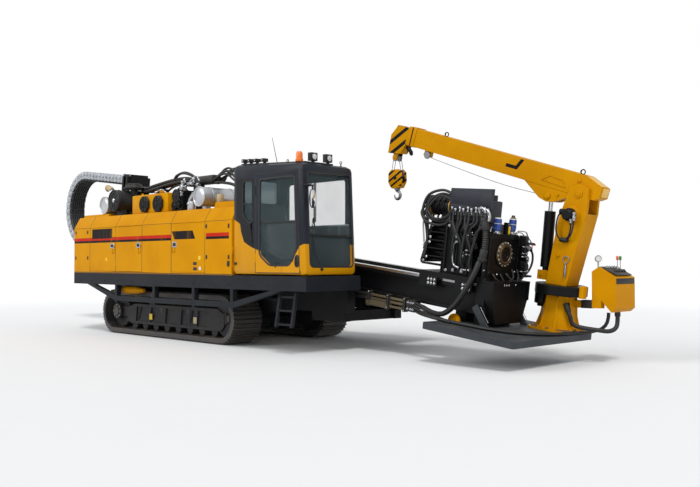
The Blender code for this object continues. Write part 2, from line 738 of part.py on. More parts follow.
def cab():
    """Cab shell with its window and door openings, the door, panes and seat."""
    near = -HALF_WIDTH
    low = DECK_TOP + GAP
    outer = box((CAB_BACK, near, low), (CAB_FRONT, CAB_INNER, CAB_TOP), (0, -CAB_LEAN, 0, 0), CAB_CORNER)
    w = CAB_WALL
    inner = box((CAB_BACK + w, near + w, low + w), (CAB_FRONT - w, CAB_INNER - w, CAB_TOP - w),
                (0, -CAB_LEAN, 0, 0))
    for block in (outer, inner):
        for v in block.data.vertices:
            if v.co.z > HOUSING_TOP:
                v.co.z += roof_top(v.co.x) - CAB_TOP
    door = outline([door_ring(0.0)], CAB_DOOR_THICK + GAP, "XZ", near)
    doorway = outline([door_ring(CAB_DOOR_LIP)], w * 2, "XZ", near)
    quarter = outline([rounded(1.72, 2.08, 1.62, 2.62, 0.05)], w * 2, "XZ", near)
    far = outline([rounded(1.75, 3.10, 1.62, 2.62, 0.05)], w * 2, "XZ", CAB_INNER)
    front = outline([rounded(near + 0.10, CAB_INNER - 0.10, 1.30, 2.66, 0.05)], 0.2, "YZ", CAB_FRONT - 0.05)
    solid("cab_shell", MACHINE, "cab_grey", [outer, *mirror()], [inner, door, doorway, quarter, far, front])
    pane(near + 0.020, "cab_glass_quarter", rounded(1.72 + GAP, 2.08 - GAP, 1.62 + GAP, 2.62 - GAP, 0.05),
         "XZ")
    pane(CAB_INNER - 0.020, "cab_glass_far", rounded(1.75 + GAP, 3.10 - GAP, 1.62 + GAP, 2.62 - GAP, 0.05),
         "XZ")
    ring = rounded(near + 0.10 + GAP, CAB_INNER - 0.10 - GAP, 1.30 + GAP, 2.66 - GAP, 0.05)
    lean = math.atan2(CAB_LEAN, CAB_TOP - low)
    glass = outline([ring], GLASS / 2, "YZ", 0)
    for v in glass.data.vertices:
        v.co.x += CAB_FRONT - w / 2 - (v.co.z - low) * math.tan(lean)
    solid("cab_glass_front", MACHINE, "glass", [glass])
    hinge = frame("cab_door_hinge", MACHINE, (CAB_DOOR_REAR, near, 0))
    middle = near + CAB_DOOR_THICK / 2
    body = outline([door_ring(DOOR_SEAM)], CAB_DOOR_THICK / 2, "XZ", middle)
    body.data.transform(Matrix.Translation((-CAB_DOOR_REAR, -near, 0)))
    hole = outline([window_ring(0.0)], 0.1, "XZ", near)
    hole.data.transform(Matrix.Translation((-CAB_DOOR_REAR, -near, 0)))
    handle = box((0.90, 0.0, 1.42), (0.99, 0.02, 1.47))
    solid("cab_door", hinge, "cab_grey", [body, handle], [hole])
    glass = outline([window_ring(GAP)], GLASS / 2, "XZ", middle)
    glass.data.transform(Matrix.Translation((-CAB_DOOR_REAR, -near, 0)))
    solid("cab_door_glass", hinge, "glass", [glass])
    floor = low + w + GAP
    y = (near + CAB_INNER) / 2
    solid("cab_seat", MACHINE, "seat", [
        box((2.05, y - 0.18, floor), (2.45, y + 0.18, floor + 0.30)),
        box((2.00, y - 0.25, floor + 0.28), (2.55, y + 0.25, floor + 0.42), bevel=0.03),
        box((1.95, y - 0.24, floor + 0.40), (2.10, y + 0.24, floor + 1.05), (-0.10, -0.10, 0, 0), 0.03),
        box((2.05, y - 0.33, floor + 0.50), (2.50, y - 0.25, floor + 0.58)),
        box((2.05, y + 0.25, floor + 0.50), (2.50, y + 0.33, floor + 0.58)),
        box((2.05, y - 0.33, floor + 0.35), (2.14, y + 0.33, floor + 0.55)),
    ])


def roof_top(x):
    """Height of the cab's roof, which falls to the front."""
    return CAB_TOP + CAB_ROOF_FALL * (CAB_FRONT - x) / (CAB_FRONT - CAB_BACK)


def mirror():
    """Oval mirror on a bent arm ahead of the cab's near corner."""
    x, y, z = CAB_FRONT + MIRROR_OUT, 0.075 - HALF_WIDTH, MIRROR_Z
    turns = [2 * math.pi * k / SIDES for k in range(SIDES)]
    oval = [(y + 0.055 * math.cos(a), z + 0.135 * math.sin(a)) for a in turns]
    return [
        outline([oval], 0.012, "YZ", x),
        rod((CAB_FRONT - 0.11, y, z + 0.19), (x + 0.012, y, z + 0.19), 0.012, sides=8),
        rod((x, y, z + 0.195), (x, y, z + 0.05), 0.011, sides=8),
    ]


def door_ring(inset):
    """The cab door's outline: upright rear edge, front edge leaning with the pillar."""
    i = inset
    lean = CAB_LEAN * 0.9
    return [
        (CAB_DOOR_REAR + i, CAB_DOOR_LOW + i), (CAB_DOOR_FRONT - i, CAB_DOOR_LOW + i),
        (CAB_DOOR_FRONT - lean - i, CAB_DOOR_TOP - i), (CAB_DOOR_REAR + i, CAB_DOOR_TOP - i),
    ]


def window_ring(inset):
    """The door window's outline, with a cut lower rear corner."""
    i = inset
    return [
        (2.27 + i, 1.48 + i), (2.50 + i, 1.33 + i), (2.95 - i, 1.33 + i), (3.09 - i, 1.55 + i),
        (3.05 - i, 2.60 - i), (2.27 + i, 2.60 - i),
    ]


def pane(y, name, ring, plane):
    """A flat pane that fills its opening."""
    solid(name, MACHINE, "glass", [outline([ring], GLASS / 2, plane, y)])


# Lamps along the cab's roof: place along the roof, distance in from the near side, width, height.
ROOF_LAMPS = (
    (1.72, 0.15, 0.09, 0.05), (1.87, 0.15, 0.09, 0.05), (2.02, 0.15, 0.09, 0.05), (2.20, 0.15, 0.09, 0.05),
    (3.11, 0.32, 0.13, 0.12), (3.11, 0.62, 0.13, 0.12),
)
RAIL_THICK = 0.02


def roof():
    """Work lamps on their rails, and the beacon."""
    rear, front = 1.66, 3.14
    low, high = roof_top(rear) + GAP, roof_top(front) + GAP
    rail = [(rear, low), (front, high), (front, high + RAIL_THICK), (rear, low + RAIL_THICK)]
    cross = roof_top(3.08) + GAP
    edge = -HALF_WIDTH
    add = [outline([rail], 0.03, "XZ", edge + 0.15),
           box((3.08, edge + 0.13, cross), (front, edge + 0.70, cross + RAIL_THICK))]
    for x, inset, wide, tall in ROOF_LAMPS:
        y = edge + inset
        foot = roof_top(x) + RAIL_THICK / 2
        add.append(box((x - 0.015, y - 0.02, foot), (x + 0.015, y + 0.02, foot + 0.04)))
        add.append(box((x - 0.04, y - wide / 2, foot + 0.03), (x + 0.03, y + wide / 2, foot + 0.03 + tall)))
    solid("roof_lamps", MACHINE, "black_steel", add)
    solid("beacon", MACHINE, "orange", [
        turned([(0, 0.15), (0.035, 0.145), (0.050, 0.12), (0.050, 0.04), (0.058, 0.035), (0.058, 0), (0, 0)],
               (2.99, edge + 0.16, roof_top(2.99) + RAIL_THICK + 0.004)),
    ])


def ladder():
    """Three-rung ladder that leans out from under the cab."""
    add = []
    lean = 0.10
    top = DECK_LOW - GAP
    low = 0.41
    for x in (2.63, 2.98):
        ring = [(-HALF_WIDTH + lean, top), (-HALF_WIDTH + lean + 0.05, top), (-HALF_WIDTH + 0.055, low),
                (-HALF_WIDTH + 0.005, low)]
        add.append(outline([ring], 0.02, "YZ", x))
    rungs = 3
    for k in range(rungs):
        z = low + 0.04 + k * 0.20
        y = -HALF_WIDTH + 0.03 + lean * (z - low) / (top - low)
        add.append(box((2.62, y - 0.02, z - 0.015), (2.99, y + 0.02, z + 0.015)))
    solid("ladder", MACHINE, "frame_grey", add)


def far_side():
    """Fuel and hydraulic tanks on the far deck, which the photograph hides."""
    low = DECK_TOP + GAP
    y0, y1 = DECK_INNER + 0.06, HALF_WIDTH - 0.04
    solid("fuel_tank", MACHINE, "yellow", [
        box((-3.50, y0, low), (-1.30, y1, low + 0.62), bevel=0.03),
        rod((-1.60, 1.2, low + 0.60), (-1.60, 1.2, low + 0.68), 0.07),
    ])
    solid("hydraulic_tank", MACHINE, "yellow", [
        box((-1.20, y0, low), (0.90, y1, low + 0.62), bevel=0.03),
        rod((0.60, 1.2, low + 0.60), (0.60, 1.2, low + 0.68), 0.07),
    ])


def engine_top():
    """Air cleaner, mufflers, engine and the box with two covers, all across the housing's roof."""
    top = HOUSING_TOP + GAP
    face = -1.40
    solid("air_cleaner", MACHINE, "black_steel", [
        rod((-2.42, face, 2.55), (-2.42, -0.72, 2.55), 0.20),
        box((-2.52, -1.30, top), (-2.32, -1.20, 2.42)), box((-2.52, -0.90, top), (-2.32, -0.80, 2.42)),
        rod((-2.30, -1.05, 2.65), (-2.30, -1.05, 2.82), 0.07),
        rod((-2.30, -1.05, 2.80), (-2.30, -1.05, 2.87), 0.18, 0.15),
    ])
    hood = HOODS[0][2] + GAP
    solid("muffler_rear", MACHINE, "silver", [
        rod((-2.81, face, 2.475), (-2.81, -0.75, 2.475), 0.165),
        box((-2.86, -1.30, hood), (-2.76, -1.20, 2.40)), box((-2.86, -0.90, hood), (-2.76, -0.80, 2.40)),
        tube([(-2.86, -1.20, 2.56), (-2.87, -1.20, 2.72), (-2.92, -1.20, 2.80), (-3.02, -1.20, 2.83)], 0.05),
    ])
    solid("hood_box", MACHINE, "yellow", [
        box((-1.77, face, top), (-0.56, -1.05, 2.60), bevel=0.02),
        rod((-1.29, face + 0.02, 2.42), (-1.29, face - 0.045, 2.42), 0.15, sides=8, roll=math.pi / 8),
        rod((-0.84, face + 0.02, 2.41), (-0.84, face - 0.045, 2.41), 0.15, sides=8, roll=math.pi / 8),
    ])
    solid("muffler_front", MACHINE, "silver", [
        rod((0.40, face, 2.473), (0.40, -0.58, 2.473), 0.165),
        box((0.35, -1.30, top), (0.45, -1.20, 2.35)), box((0.35, -0.80, top), (0.45, -0.70, 2.35)),
        rod((-0.12, -1.22, top), (-0.12, -1.22, 2.42), 0.052, sides=12),
        tube([(-0.12, -1.22, 2.38), (-0.11, -1.22, 2.46), (-0.02, -1.22, 2.54), (0.14, -1.22, 2.52),
              (0.30, -1.22, 2.49)], 0.05),
    ])
    solid("engine_block", MACHINE, "black_steel", [
        box((-0.52, -1.32, top), (-0.24, -0.70, 2.50), bevel=0.02),
        rod((-0.38, -1.36, 2.53), (-0.38, -0.80, 2.53), 0.11),
        rod((-0.30, -1.30, 2.48), (-0.30, -1.30, 2.66), 0.06),
        box((-0.30, -1.04, 2.46), (-0.10, -0.94, 2.80)),
        box((-0.28, -1.08, 2.74), (0.31, -0.90, 2.86), bevel=0.02),
    ])


def mast_section():
    """The mast's section: flanged sides and an open trough between the rails."""
    top, low, lip = MAST_TOP, MAST_LOW, MAST_FLANGE
    half = [
        (TROUGH_HALF, TROUGH_FLOOR), (TROUGH_HALF, top), (MAST_HALF, top), (MAST_HALF, top - lip),
        (MAST_WEB, top - lip), (MAST_WEB, low + lip), (MAST_HALF, low + lip), (MAST_HALF, low),
    ]
    return half + [(-y, z) for y, z in reversed(half)]


def mast():
    """Mast beam with its pivot lugs, lift lugs and feet, and the two slide rails."""
    middle, half = (MAST_REAR + MAST_FRONT) / 2, (MAST_FRONT - MAST_REAR) / 2
    add = [outline([mast_section()], half, "YZ", middle)]
    cut = []
    for side in (-1, 1):
        inner, outer = sorted((side * (MAST_HALF - 0.02), side * (MAST_HALF - 0.02 - MAST_LUG_THICK)))
        add.append(box((-MAST_LUG_HALF, inner, -0.10), (MAST_LUG_HALF, outer, MAST_LOW + 0.02)))
        ear = side * (LIFT_EYE_HALF + EAR_THICK / 2 + EAR_PLAY)
        add.append(box((LIFT_EYE_X - 0.09, ear - EAR_THICK / 2, LIFT_EYE_Z - 0.08),
                       (LIFT_EYE_X + 0.09, ear + EAR_THICK / 2, MAST_LOW + 0.02)))
        add.append(rod((LIFT_EYE_X, ear, LIFT_EYE_Z), (LIFT_EYE_X, ear + side * 0.04, LIFT_EYE_Z), 0.045))
    for low, high in ((2.12, 2.30), (2.44, 2.62)):
        add.append(box((low, -0.30, PLATE_TOP + GAP), (high, 0.30, MAST_LOW + 0.02)))
    chain_low = chain_floor() + CHAIN_HIGH + GAP
    add.append(box((CHAIN_LOW_END - 0.30, -CHAIN_HALF, chain_low),
                   (CHAIN_LOW_END, CHAIN_HALF, MAST_LOW + 0.02)))
    cut.append(rod((0, -1, 0), (0, 1, 0), PIN_RADIUS + PIN_PLAY, sides=FINE))
    solid("mast_beam", MAST, "black_steel", add, cut)
    for side, name in ((-1, "mast_rail_near"), (1, "mast_rail_far")):
        low, high = sorted((side * MAST_HALF, side * (MAST_HALF - RAIL_WIDE)))
        solid(name, MAST, "silver",
              [box((RAIL_REAR, low, MAST_TOP + GAP), (RAIL_FRONT, high, MAST_TOP + RAIL_HIGH))])


def chain_centre():
    """Centre of the energy chain's rear bend, in the mast's frame."""
    return mast_place(-HALF_LENGTH + CHAIN_RADIUS, CHAIN_CENTRE_Z)


def chain_floor():
    """Underside of the chain's lower run, in the mast's frame."""
    return chain_centre()[1] - CHAIN_RADIUS


def energy_chain():
    """The chain's two runs and rear bend as links, with a notch at each joint."""
    x0, z0 = chain_centre()
    mean = CHAIN_RADIUS - CHAIN_HIGH / 2
    low_run, bend, top_run = CHAIN_LOW_END - x0, math.pi * mean, CHAIN_TOP_END - x0
    total = low_run + bend + top_run

    def station(d):
        """Place on the chain's middle line and direction away from the bend's centre."""
        if d < low_run:
            return Vector((CHAIN_LOW_END - d, z0 - mean)), Vector((0, -1))
        if d < low_run + bend:
            angle = -math.pi / 2 - (d - low_run) / mean
            out = Vector((math.cos(angle), math.sin(angle)))
            return Vector((x0, z0)) + mean * out, out
        return Vector((x0 + d - low_run - bend, z0 + mean)), Vector((0, 1))

    links = round(total / CHAIN_PITCH)
    pitch = total / links
    outer, inner = [], []
    half = CHAIN_HIGH / 2
    for k in range(links):
        for part, depth in ((0.0, CHAIN_NOTCH), (0.12, 0.0), (0.88, 0.0)):
            place, out = station((k + part) * pitch)
            outer.append(tuple(place + out * (half - depth)))
            inner.append(tuple(place - out * (half - depth)))
    place, out = station(total)
    outer.append(tuple(place + out * half))
    inner.append(tuple(place - out * half))
    solid("energy_chain", MAST, "chain_grey", [outline([outer + inner[::-1]], CHAIN_HALF, "XZ")])
    top = z0 + CHAIN_RADIUS
    add = [box((CHAIN_TOP_END + GAP, -CHAIN_HALF - 0.02, top - CHAIN_HIGH - 0.03),
               (CHAIN_BOX_END, CHAIN_HALF + 0.02, top + 0.03))]
    for x in (CHAIN_TOP_END + 0.12, CHAIN_BOX_END - 0.05):
        for side in (-1, 1):
            y = side * (CHAIN_HALF + 0.05)
            add.append(box((x - 0.03, y - 0.04, MAST_TOP + GAP), (x + 0.03, y + 0.04, top - 0.02)))
    solid("chain_bracket", MAST, "black_steel", add)


def carriage():
    """Power head: slide base, gearbox, ribbed column, motors and cover, and the spindle."""
    feed = frame("carriage_feed", MAST)
    base = MAST_TOP + RAIL_HIGH + GAP
    top = base + CARRIAGE_BASE
    add = [box((CARRIAGE_REAR, -CARRIAGE_HALF, base), (CARRIAGE_FRONT - 0.06, CARRIAGE_HALF, top))]
    for side in (-1, 1):
        low, high = sorted((side * (MAST_HALF + GAP), side * CARRIAGE_HALF))
        for x0, x1 in ((CARRIAGE_REAR, CARRIAGE_REAR + 0.28),
                       (CARRIAGE_FRONT - 0.30, CARRIAGE_FRONT - 0.06)):
            add.append(box((x0, low, base - 0.14), (x1, high, base + 0.02)))
    add.append(box((1.86, -0.36, top - 0.02), (2.36, 0.36, 1.34)))
    add.append(box((1.66, -0.16, top - 0.02), (1.88, 0.16, 1.38)))
    back = [(1.34, 0.72), (1.40, 0.70), (1.56, 1.33), (1.50, 1.345)]
    add.append(outline([back], 0.24, "XZ"))
    for k in range(6):
        z = top + 0.14 + k * 0.11
        add.append(box((1.40 + 0.25 * (z - 0.70), -0.20, z), (1.87, 0.20, z + 0.025)))
    cut = [rod((1.8, 0, SPINDLE_Z), (2.6, 0, SPINDLE_Z), SPINDLE_RADIUS + PIN_PLAY, sides=FINE)]
    solid("carriage_frame", feed, "black_steel", add, cut)
    for y, name in ((-0.17, "drive_motor_near"), (0.17, "drive_motor_far")):
        solid(name, feed, "black_steel", [
            rod((1.44, y, 1.53), (1.86, y, 1.53), 0.125),
            rod((1.42, y, 1.53), (1.48, y, 1.53), 0.145),
            rod((1.84, y, 1.53), (1.90, y, 1.53), 0.145),
            box((1.70, y - 0.10, 1.38 + GAP), (1.86, y + 0.10, 1.46)),
        ])
    solid("head_cover", feed, "cab_grey", [
        outline([[(1.90, 1.575), (2.62, 1.53), (2.62, 1.815), (1.90, 1.79)]], 0.012, "XZ", -0.36),
        box((1.96, -0.36, 1.64), (2.00, 0.10, 1.70)), box((2.26, -0.36, 1.64), (2.30, 0.10, 1.70)),
        box((1.95, -0.26, 1.34 + GAP), (2.34, 0.26, 1.66), bevel=0.02),
    ])
    spin = frame("spindle_axis", feed, (0, 0, SPINDLE_Z))
    solid("spindle", spin, "steel", [
        rod((1.82, 0, 0), (2.46, 0, 0), SPINDLE_RADIUS, sides=FINE),
    ])


def vise():
    """Front vise with its bolted ring, the turning wrench behind it, and the motors on top."""
    seat = MAST_TOP + RAIL_HIGH + GAP
    mid, half = (VISE_REAR + VISE_FRONT) / 2, (VISE_FRONT - VISE_REAR) / 2
    ring = rounded(-VISE_HALF, VISE_HALF, seat, VISE_TOP, 0.06)
    add = [outline([ring], half, "YZ", mid)]
    for side in (-1, 1):
        low, high = sorted((side * (MAST_HALF + GAP), side * (MAST_HALF + 0.07)))
        add.append(box((VISE_REAR - 0.02, low, 0.25), (VISE_FRONT + 0.06, high, seat + 0.10)))
    add.append(box((VISE_REAR + 0.01, -CRADLE_TOP * 0.72, seat),
                   (CRADLE_FRONT, CRADLE_TOP * 0.72, CRADLE_TOP)))
    wedge = [(-0.42, CRADLE_TOP), (-0.42, 0.36), (-0.31, CRADLE_LOW), (0.31, CRADLE_LOW), (0.42, 0.36),
             (0.42, CRADLE_TOP)]
    wedge_half = (CRADLE_FRONT - MAST_FRONT - GAP) / 2
    add.append(outline([wedge], wedge_half, "YZ", CRADLE_FRONT - wedge_half))
    add.append(box((VISE_REAR - 0.05, VISE_HALF - 0.02, 0.62), (VISE_FRONT, 0.64, 1.14), (0, 0, 0, -0.05),
                   0.02))
    for z in (0.72, 0.88, 1.04):
        add.append(rod((VISE_REAR - 0.06, 0.50, z), (VISE_FRONT + 0.06, 0.50, z), 0.055, sides=12))
    wrench_mid = VISE_REAR - GAP - WRENCH_THICK / 2
    cut = [rod((2.3, 0, SPINDLE_Z), (2.8, 0, SPINDLE_Z), ROD_BORE, sides=FINE)]
    solid("vise_block", MAST, "black_steel", add, cut)
    solid("vise_ring", MAST, "bronze", [
        outline([circle(0, SPINDLE_Z, RING_RADIUS, FINE), circle(0, SPINDLE_Z, ROD_BORE, FINE)], 0.02, "YZ",
                VISE_FRONT + GAP + 0.02),
    ])
    turn = frame("wrench_axis", MAST, (wrench_mid, 0, SPINDLE_Z))
    solid("wrench", turn, "steel", [
        outline([circle(0, 0, WRENCH_RADIUS, FINE), circle(0, 0, ROD_BORE, FINE)], WRENCH_THICK / 2, "YZ"),
    ])
    for y, name in ((-0.13, "vise_motor_near"), (0.22, "vise_motor_far")):
        solid(name, MAST, "blue", [
            rod((VISE_REAR + 0.02, y, VISE_TOP + GAP), (VISE_REAR + 0.02, y, VISE_TOP + 0.13), 0.07),
        ])


def anchor_plate():
    """Anchor plate with its yellow eye and slotted braces."""
    mid, half = (PLATE_REAR + PLATE_FRONT) / 2, (PLATE_FRONT - PLATE_REAR) / 2
    low = PLATE_TOP - PLATE_THICK
    ring = rounded(mid - half, mid + half, -PLATE_HALF, PLATE_HALF, 0.04)
    add = [outline([ring], PLATE_THICK / 2, "XY", (PLATE_TOP + low) / 2),
           outline([circle(2.20, PLATE_TOP + 0.01, 0.09)], 0.02, "XZ", -0.42)]
    for side in (-1, 1):
        y = side * 0.455
        add.append(bar((2.55, y, 0.24), (2.77, y, PLATE_TOP - 0.01), 0.035, 0.09))
    solid("anchor_plate", MAST, "black_steel", add)


def feed_lines():
    """Two pipes and a jack in clamps on the mast's near side, and the hoses that go on from them."""
    y = -(MAST_HALF + PIPE_OUT)
    add = [rod((PIPE_START, y, n), (PIPE_END - GAP, y, n), PIPE_RADIUS, sides=12) for n in PIPE_LEVELS]
    for x in PIPE_CLAMPS:
        add.append(box((x - 0.02, y - 0.05, -0.045), (x + 0.02, -(MAST_HALF + GAP), 0.16)))
    add.append(rod((PIPE_START + 0.02, y - 0.01, -0.015), (0.94, y - 0.01, -0.015), 0.045, sides=12))
    add.append(rod((0.93, y - 0.01, -0.015), (PIPE_END - 0.02, y - 0.01, -0.015), 0.018, sides=12))
    solid("feed_pipes", MAST, "bronze", add)
    lying = PLATE_TOP + THIN_HOSE_RADIUS + GAP * 4
    solid("plate_hose", MAST, "black_steel", [
        box((PIPE_END, -0.47, -0.02), (PIPE_END + 0.15, -(MAST_HALF + GAP), 0.15)),
        rod((2.57, -VISE_HALF - GAP, 0.86), (2.57, -0.45, 0.86), 0.042, sides=12),
        tube([(2.57, -0.43, 0.86), (2.56, -0.475, 0.82), (2.53, -0.495, 0.70), (2.44, -0.525, 0.48),
              (2.28, -0.535, 0.22), (2.08, -0.535, 0.06), (1.86, -0.51, 0.045), (1.66, -0.45, 0.075),
              (1.48, -0.42, 0.085)], HOSE_RADIUS),
        tube([(1.48, -0.43, 0.02), (1.62, -0.50, 0.0), (1.86, -0.60, 0.0), (2.20, -0.64, lying),
              (2.60, -0.62, lying),
              (2.95, -0.56, lying), (3.22, -0.40, lying), (3.42, -0.12, lying), (3.50, 0.22, lying),
              (3.52, 0.50, lying), (3.58, 0.74, lying + 0.006), (3.68, 0.92, 0.06), (3.73, 0.96,
                                                                                     0.16), (3.735, 0.96,
                                                                                             0.285)],
             THIN_HOSE_RADIUS),
    ])


def crane(arm):
    """Loader crane: bolted base, guard, leaning column, boom, telescope, hook and cylinder."""
    base = frame("crane_base_place", MAST, (CRANE_X, CRANE_Y, PLATE_TOP))
    f = CRANE_FLANGE
    solid("crane_base", base, "yellow", [
        outline([rounded(-f, f, -f, f, 0.08)], CRANE_FLANGE_THICK / 2, "XY", CRANE_FLANGE_THICK / 2 + GAP),
        rod((0, 0, CRANE_FLANGE_THICK / 2), (0, 0, BASE_HIGH), BASE_LOW_RADIUS, BASE_TOP_RADIUS, 8,
            math.pi / 8),
        arm,
    ])
    solid("slew_guard", base, "black_steel", [
        rod((0, 0, BASE_HIGH + GAP), (0, 0, BASE_HIGH + GUARD_HIGH), GUARD_RADIUS),
    ])
    slew = frame("crane_slew_axis", base)
    foot = BASE_HIGH + GUARD_HIGH + GAP
    h = COLUMN_HALF
    ears = [(-h, foot), (h, foot), (BOOM_PIVOT_X + 0.14, BOOM_PIVOT_Z - 0.25),
            (BOOM_PIVOT_X + 0.14, BOOM_PIVOT_Z + 0.08),
            (BOOM_PIVOT_X, BOOM_PIVOT_Z + 0.14), (BOOM_PIVOT_X - 0.14, BOOM_PIVOT_Z + 0.08),
            (-h + 0.1, BOOM_PIVOT_Z - 0.35)]
    fork = BOOM_WIDE / 2 + GAP
    add = [outline([ears], h, "XZ")]
    for side in (-1, 1):
        y = side * 0.085
        add.append(box((LUFF_LOW[0] - 0.06, y - 0.0175, LUFF_LOW[1] - 0.07),
                       (0, y + 0.0175, LUFF_LOW[1] + 0.06)))
    add.append(rod((LUFF_LOW[0], -0.11, LUFF_LOW[1]), (LUFF_LOW[0], 0.11, LUFF_LOW[1]), 0.028))
    add.append(rod((0.136, 0, 1.594), (0.136, -0.30, 1.594), 0.065, sides=12))
    add.append(box((0.06, -0.24, 1.50), (0.20, -COLUMN_HALF + 0.01, 1.66), bevel=0.015))
    slot = box((-1, -fork, BOOM_PIVOT_Z - 0.26), (1, fork, BOOM_PIVOT_Z + 1))
    cut = [slot, rod((BOOM_PIVOT_X, -1, BOOM_PIVOT_Z), (BOOM_PIVOT_X, 1, BOOM_PIVOT_Z), 0.04 + PIN_PLAY,
                     sides=FINE)]
    solid("crane_column", slew, "yellow", add, cut)
    rise = Matrix.Rotation(math.pi, 3, "Z") @ Matrix.Rotation(-BOOM_RISE, 3, "Y")
    boom = frame("boom_pivot", slew, (BOOM_PIVOT_X, 0, BOOM_PIVOT_Z), rise)
    crane_boom(boom)
    luff_cylinder(slew)


def crane_boom(boom):
    """Outer boom, telescope with its head, and the hook block under the head's sheave."""
    hh, hw, wall = BOOM_HIGH / 2, BOOM_WIDE / 2, BOOM_WALL
    up = BOOM_UP
    z0, z1 = up - hh, up + hh
    root = [(-BOOM_TAIL, z0 + 0.05), (-BOOM_TAIL + 0.08, z0), (0.70, z0), (0.70, z1), (0.0, z1),
            (-BOOM_TAIL, z1 - 0.10)]
    add = [box((0.0, -hw, z0), (BOOM_LENGTH, hw, z1)), outline([root], hw - GAP, "XZ"),
           rod((0, -COLUMN_HALF, 0), (0, COLUMN_HALF, 0), 0.04, sides=FINE)]
    ex, ez = EYE_ON_BOOM
    gusset = [(0.94, z0 + 0.01), (0.62, ez - 0.06), (ex, ez - 0.085), (0.38, ez - 0.06), (0.06, z0 + 0.01)]
    add.append(outline([gusset], hw - 0.004, "XZ"))
    for side in (-1, 1):
        add.append(rod((ex, side * (hw - 0.02), ez), (ex, side * (hw + 0.02), ez), 0.04))
    cut = [box((0.35, wall - hw, z0 + wall), (BOOM_LENGTH + 0.1, hw - wall, z1 - wall)),
           box((0.052, -GUSSET_SLOT, ez - 0.2), (0.60, GUSSET_SLOT, z0 - 0.004))]
    solid("boom_outer", boom, "yellow", add, cut)
    tele = frame("boom_extend", boom)
    ih, iw = hh - wall - GAP, hw - wall - GAP
    end = INNER_LENGTH
    head = [(end - 0.02, up - ih), (end + 0.06, up - ih - 0.19), (end + HEAD_LENGTH - 0.02, up - ih - 0.235),
            (end + HEAD_LENGTH, up - 0.06), (end + HEAD_LENGTH * 0.68, up + ih), (end - 0.02, up + ih)]
    tip = (HOOK_PIVOT[0], 0, HOOK_PIVOT[1])
    add = [box((0.40, -iw, up - ih), (end, iw, up + ih)), outline([head], iw - 0.001, "XZ")]
    for side in (-1, 1):
        add.append(box((tip[0] - 0.04, side * 0.055 - 0.01, tip[2] - 0.04),
                       (tip[0] + 0.04, side * 0.055 + 0.01, up - 0.04)))
    add.append(rod((tip[0], -0.075, tip[2]), (tip[0], 0.075, tip[2]), HOOK_PIN))
    solid("boom_inner", tele, "yellow", add)
    hang = frame("hook_pivot", tele, tip, Matrix.Rotation(BOOM_RISE + MAST_TILT, 3, "Y"))
    solid("hook_block", hang, "yellow", [
        box((-0.155, -0.06, -HOOK_DROP - 0.30), (0.155, 0.06, -HOOK_DROP), bevel=0.02),
        rod((0.05, 0, -0.03), (0.05, 0, -HOOK_DROP - 0.05), 0.010, sides=8),
        rod((-0.05, 0, -0.03), (-0.05, 0, -HOOK_DROP - 0.05), 0.010, sides=8),
        box((-0.07, -0.03, -0.07), (0.07, 0.03, -0.015)),
        rod((0, -0.044, 0), (0, 0.044, 0), 0.032),
        tube([(0, 0, -HOOK_DROP - 0.28), (0, 0, -HOOK_DROP - 0.38), (0.06, 0, -HOOK_DROP - 0.45),
              (0.0, 0, -HOOK_DROP - 0.52), (-0.06, 0, -HOOK_DROP - 0.46)], 0.016),
    ], [rod((0, -1, 0), (0, 1, 0), HOOK_PIN + PIN_PLAY)])


def cylinder_frames(prefix, parent, pin, eye, y):
    """Frame on the barrel's pin with x towards the rod's eye, and the pin-to-eye length."""
    dx, dz = eye[0] - pin[0], eye[1] - pin[1]
    turn = Matrix.Rotation(-math.atan2(dz, dx), 3, "Y")
    return frame(prefix + "_swing", parent, (pin[0], y, pin[1]), turn), math.hypot(dx, dz)


def luff_cylinder(slew):
    """The boom's cylinder: a barrel on the column's lower pin and a rod up to the boom."""
    swing, length = cylinder_frames("luff", slew, LUFF_LOW, LUFF_TOP, 0)
    solid("luff_barrel", swing, "black_steel", [
        rod((0, -0.065, 0), (0, 0.065, 0), 0.055),
        rod((0.03, 0, 0), (0.12, 0, 0), 0.045),
        rod((0.10, 0, 0), (LUFF_BARREL, 0, 0), LUFF_RADIUS),
    ], [
        rod((0, -0.2, 0), (0, 0.2, 0), 0.028 + PIN_PLAY),
        rod((0.12, 0, 0), (LUFF_BARREL + 0.1, 0, 0), LUFF_ROD_RADIUS + GAP),
    ])
    solid("luff_rod", swing, "chrome", [
        rod((0.36, 0, 0), (length - 0.03, 0, 0), LUFF_ROD_RADIUS),
        rod((length - 0.03, -0.04, 0), (length - 0.03, 0.04, 0), 0.045),
    ])


def lift_cylinder():
    """The cylinder from the centre frame up to the mast."""
    c, s = math.cos(MAST_TILT), math.sin(MAST_TILT)
    eye = (PIVOT_X + LIFT_EYE_X * c + LIFT_EYE_Z * s, PIVOT_Z - LIFT_EYE_X * s + LIFT_EYE_Z * c)
    swing, length = cylinder_frames("lift", MACHINE, (LIFT_PIN_X, LIFT_PIN_Z), eye, 0)
    half = LIFT_EYE_HALF
    solid("lift_barrel", swing, "black_steel", [
        rod((0, -half, 0), (0, half, 0), 0.065),
        rod((0.03, 0, 0), (0.14, 0, 0), 0.060),
        rod((0.12, 0, 0), (LIFT_BARREL, 0, 0), LIFT_RADIUS),
    ], [
        rod((0, -0.2, 0), (0, 0.2, 0), LIFT_PIN + PIN_PLAY, sides=FINE),
        rod((0.16, 0, 0), (LIFT_BARREL + 0.1, 0, 0), LIFT_ROD_RADIUS + GAP),
    ])
    solid("lift_rod", swing, "chrome", [
        rod((0.40, 0, 0), (length - 0.02, 0, 0), LIFT_ROD_RADIUS),
        rod((length, -half, 0), (length, half, 0), 0.060),
    ])


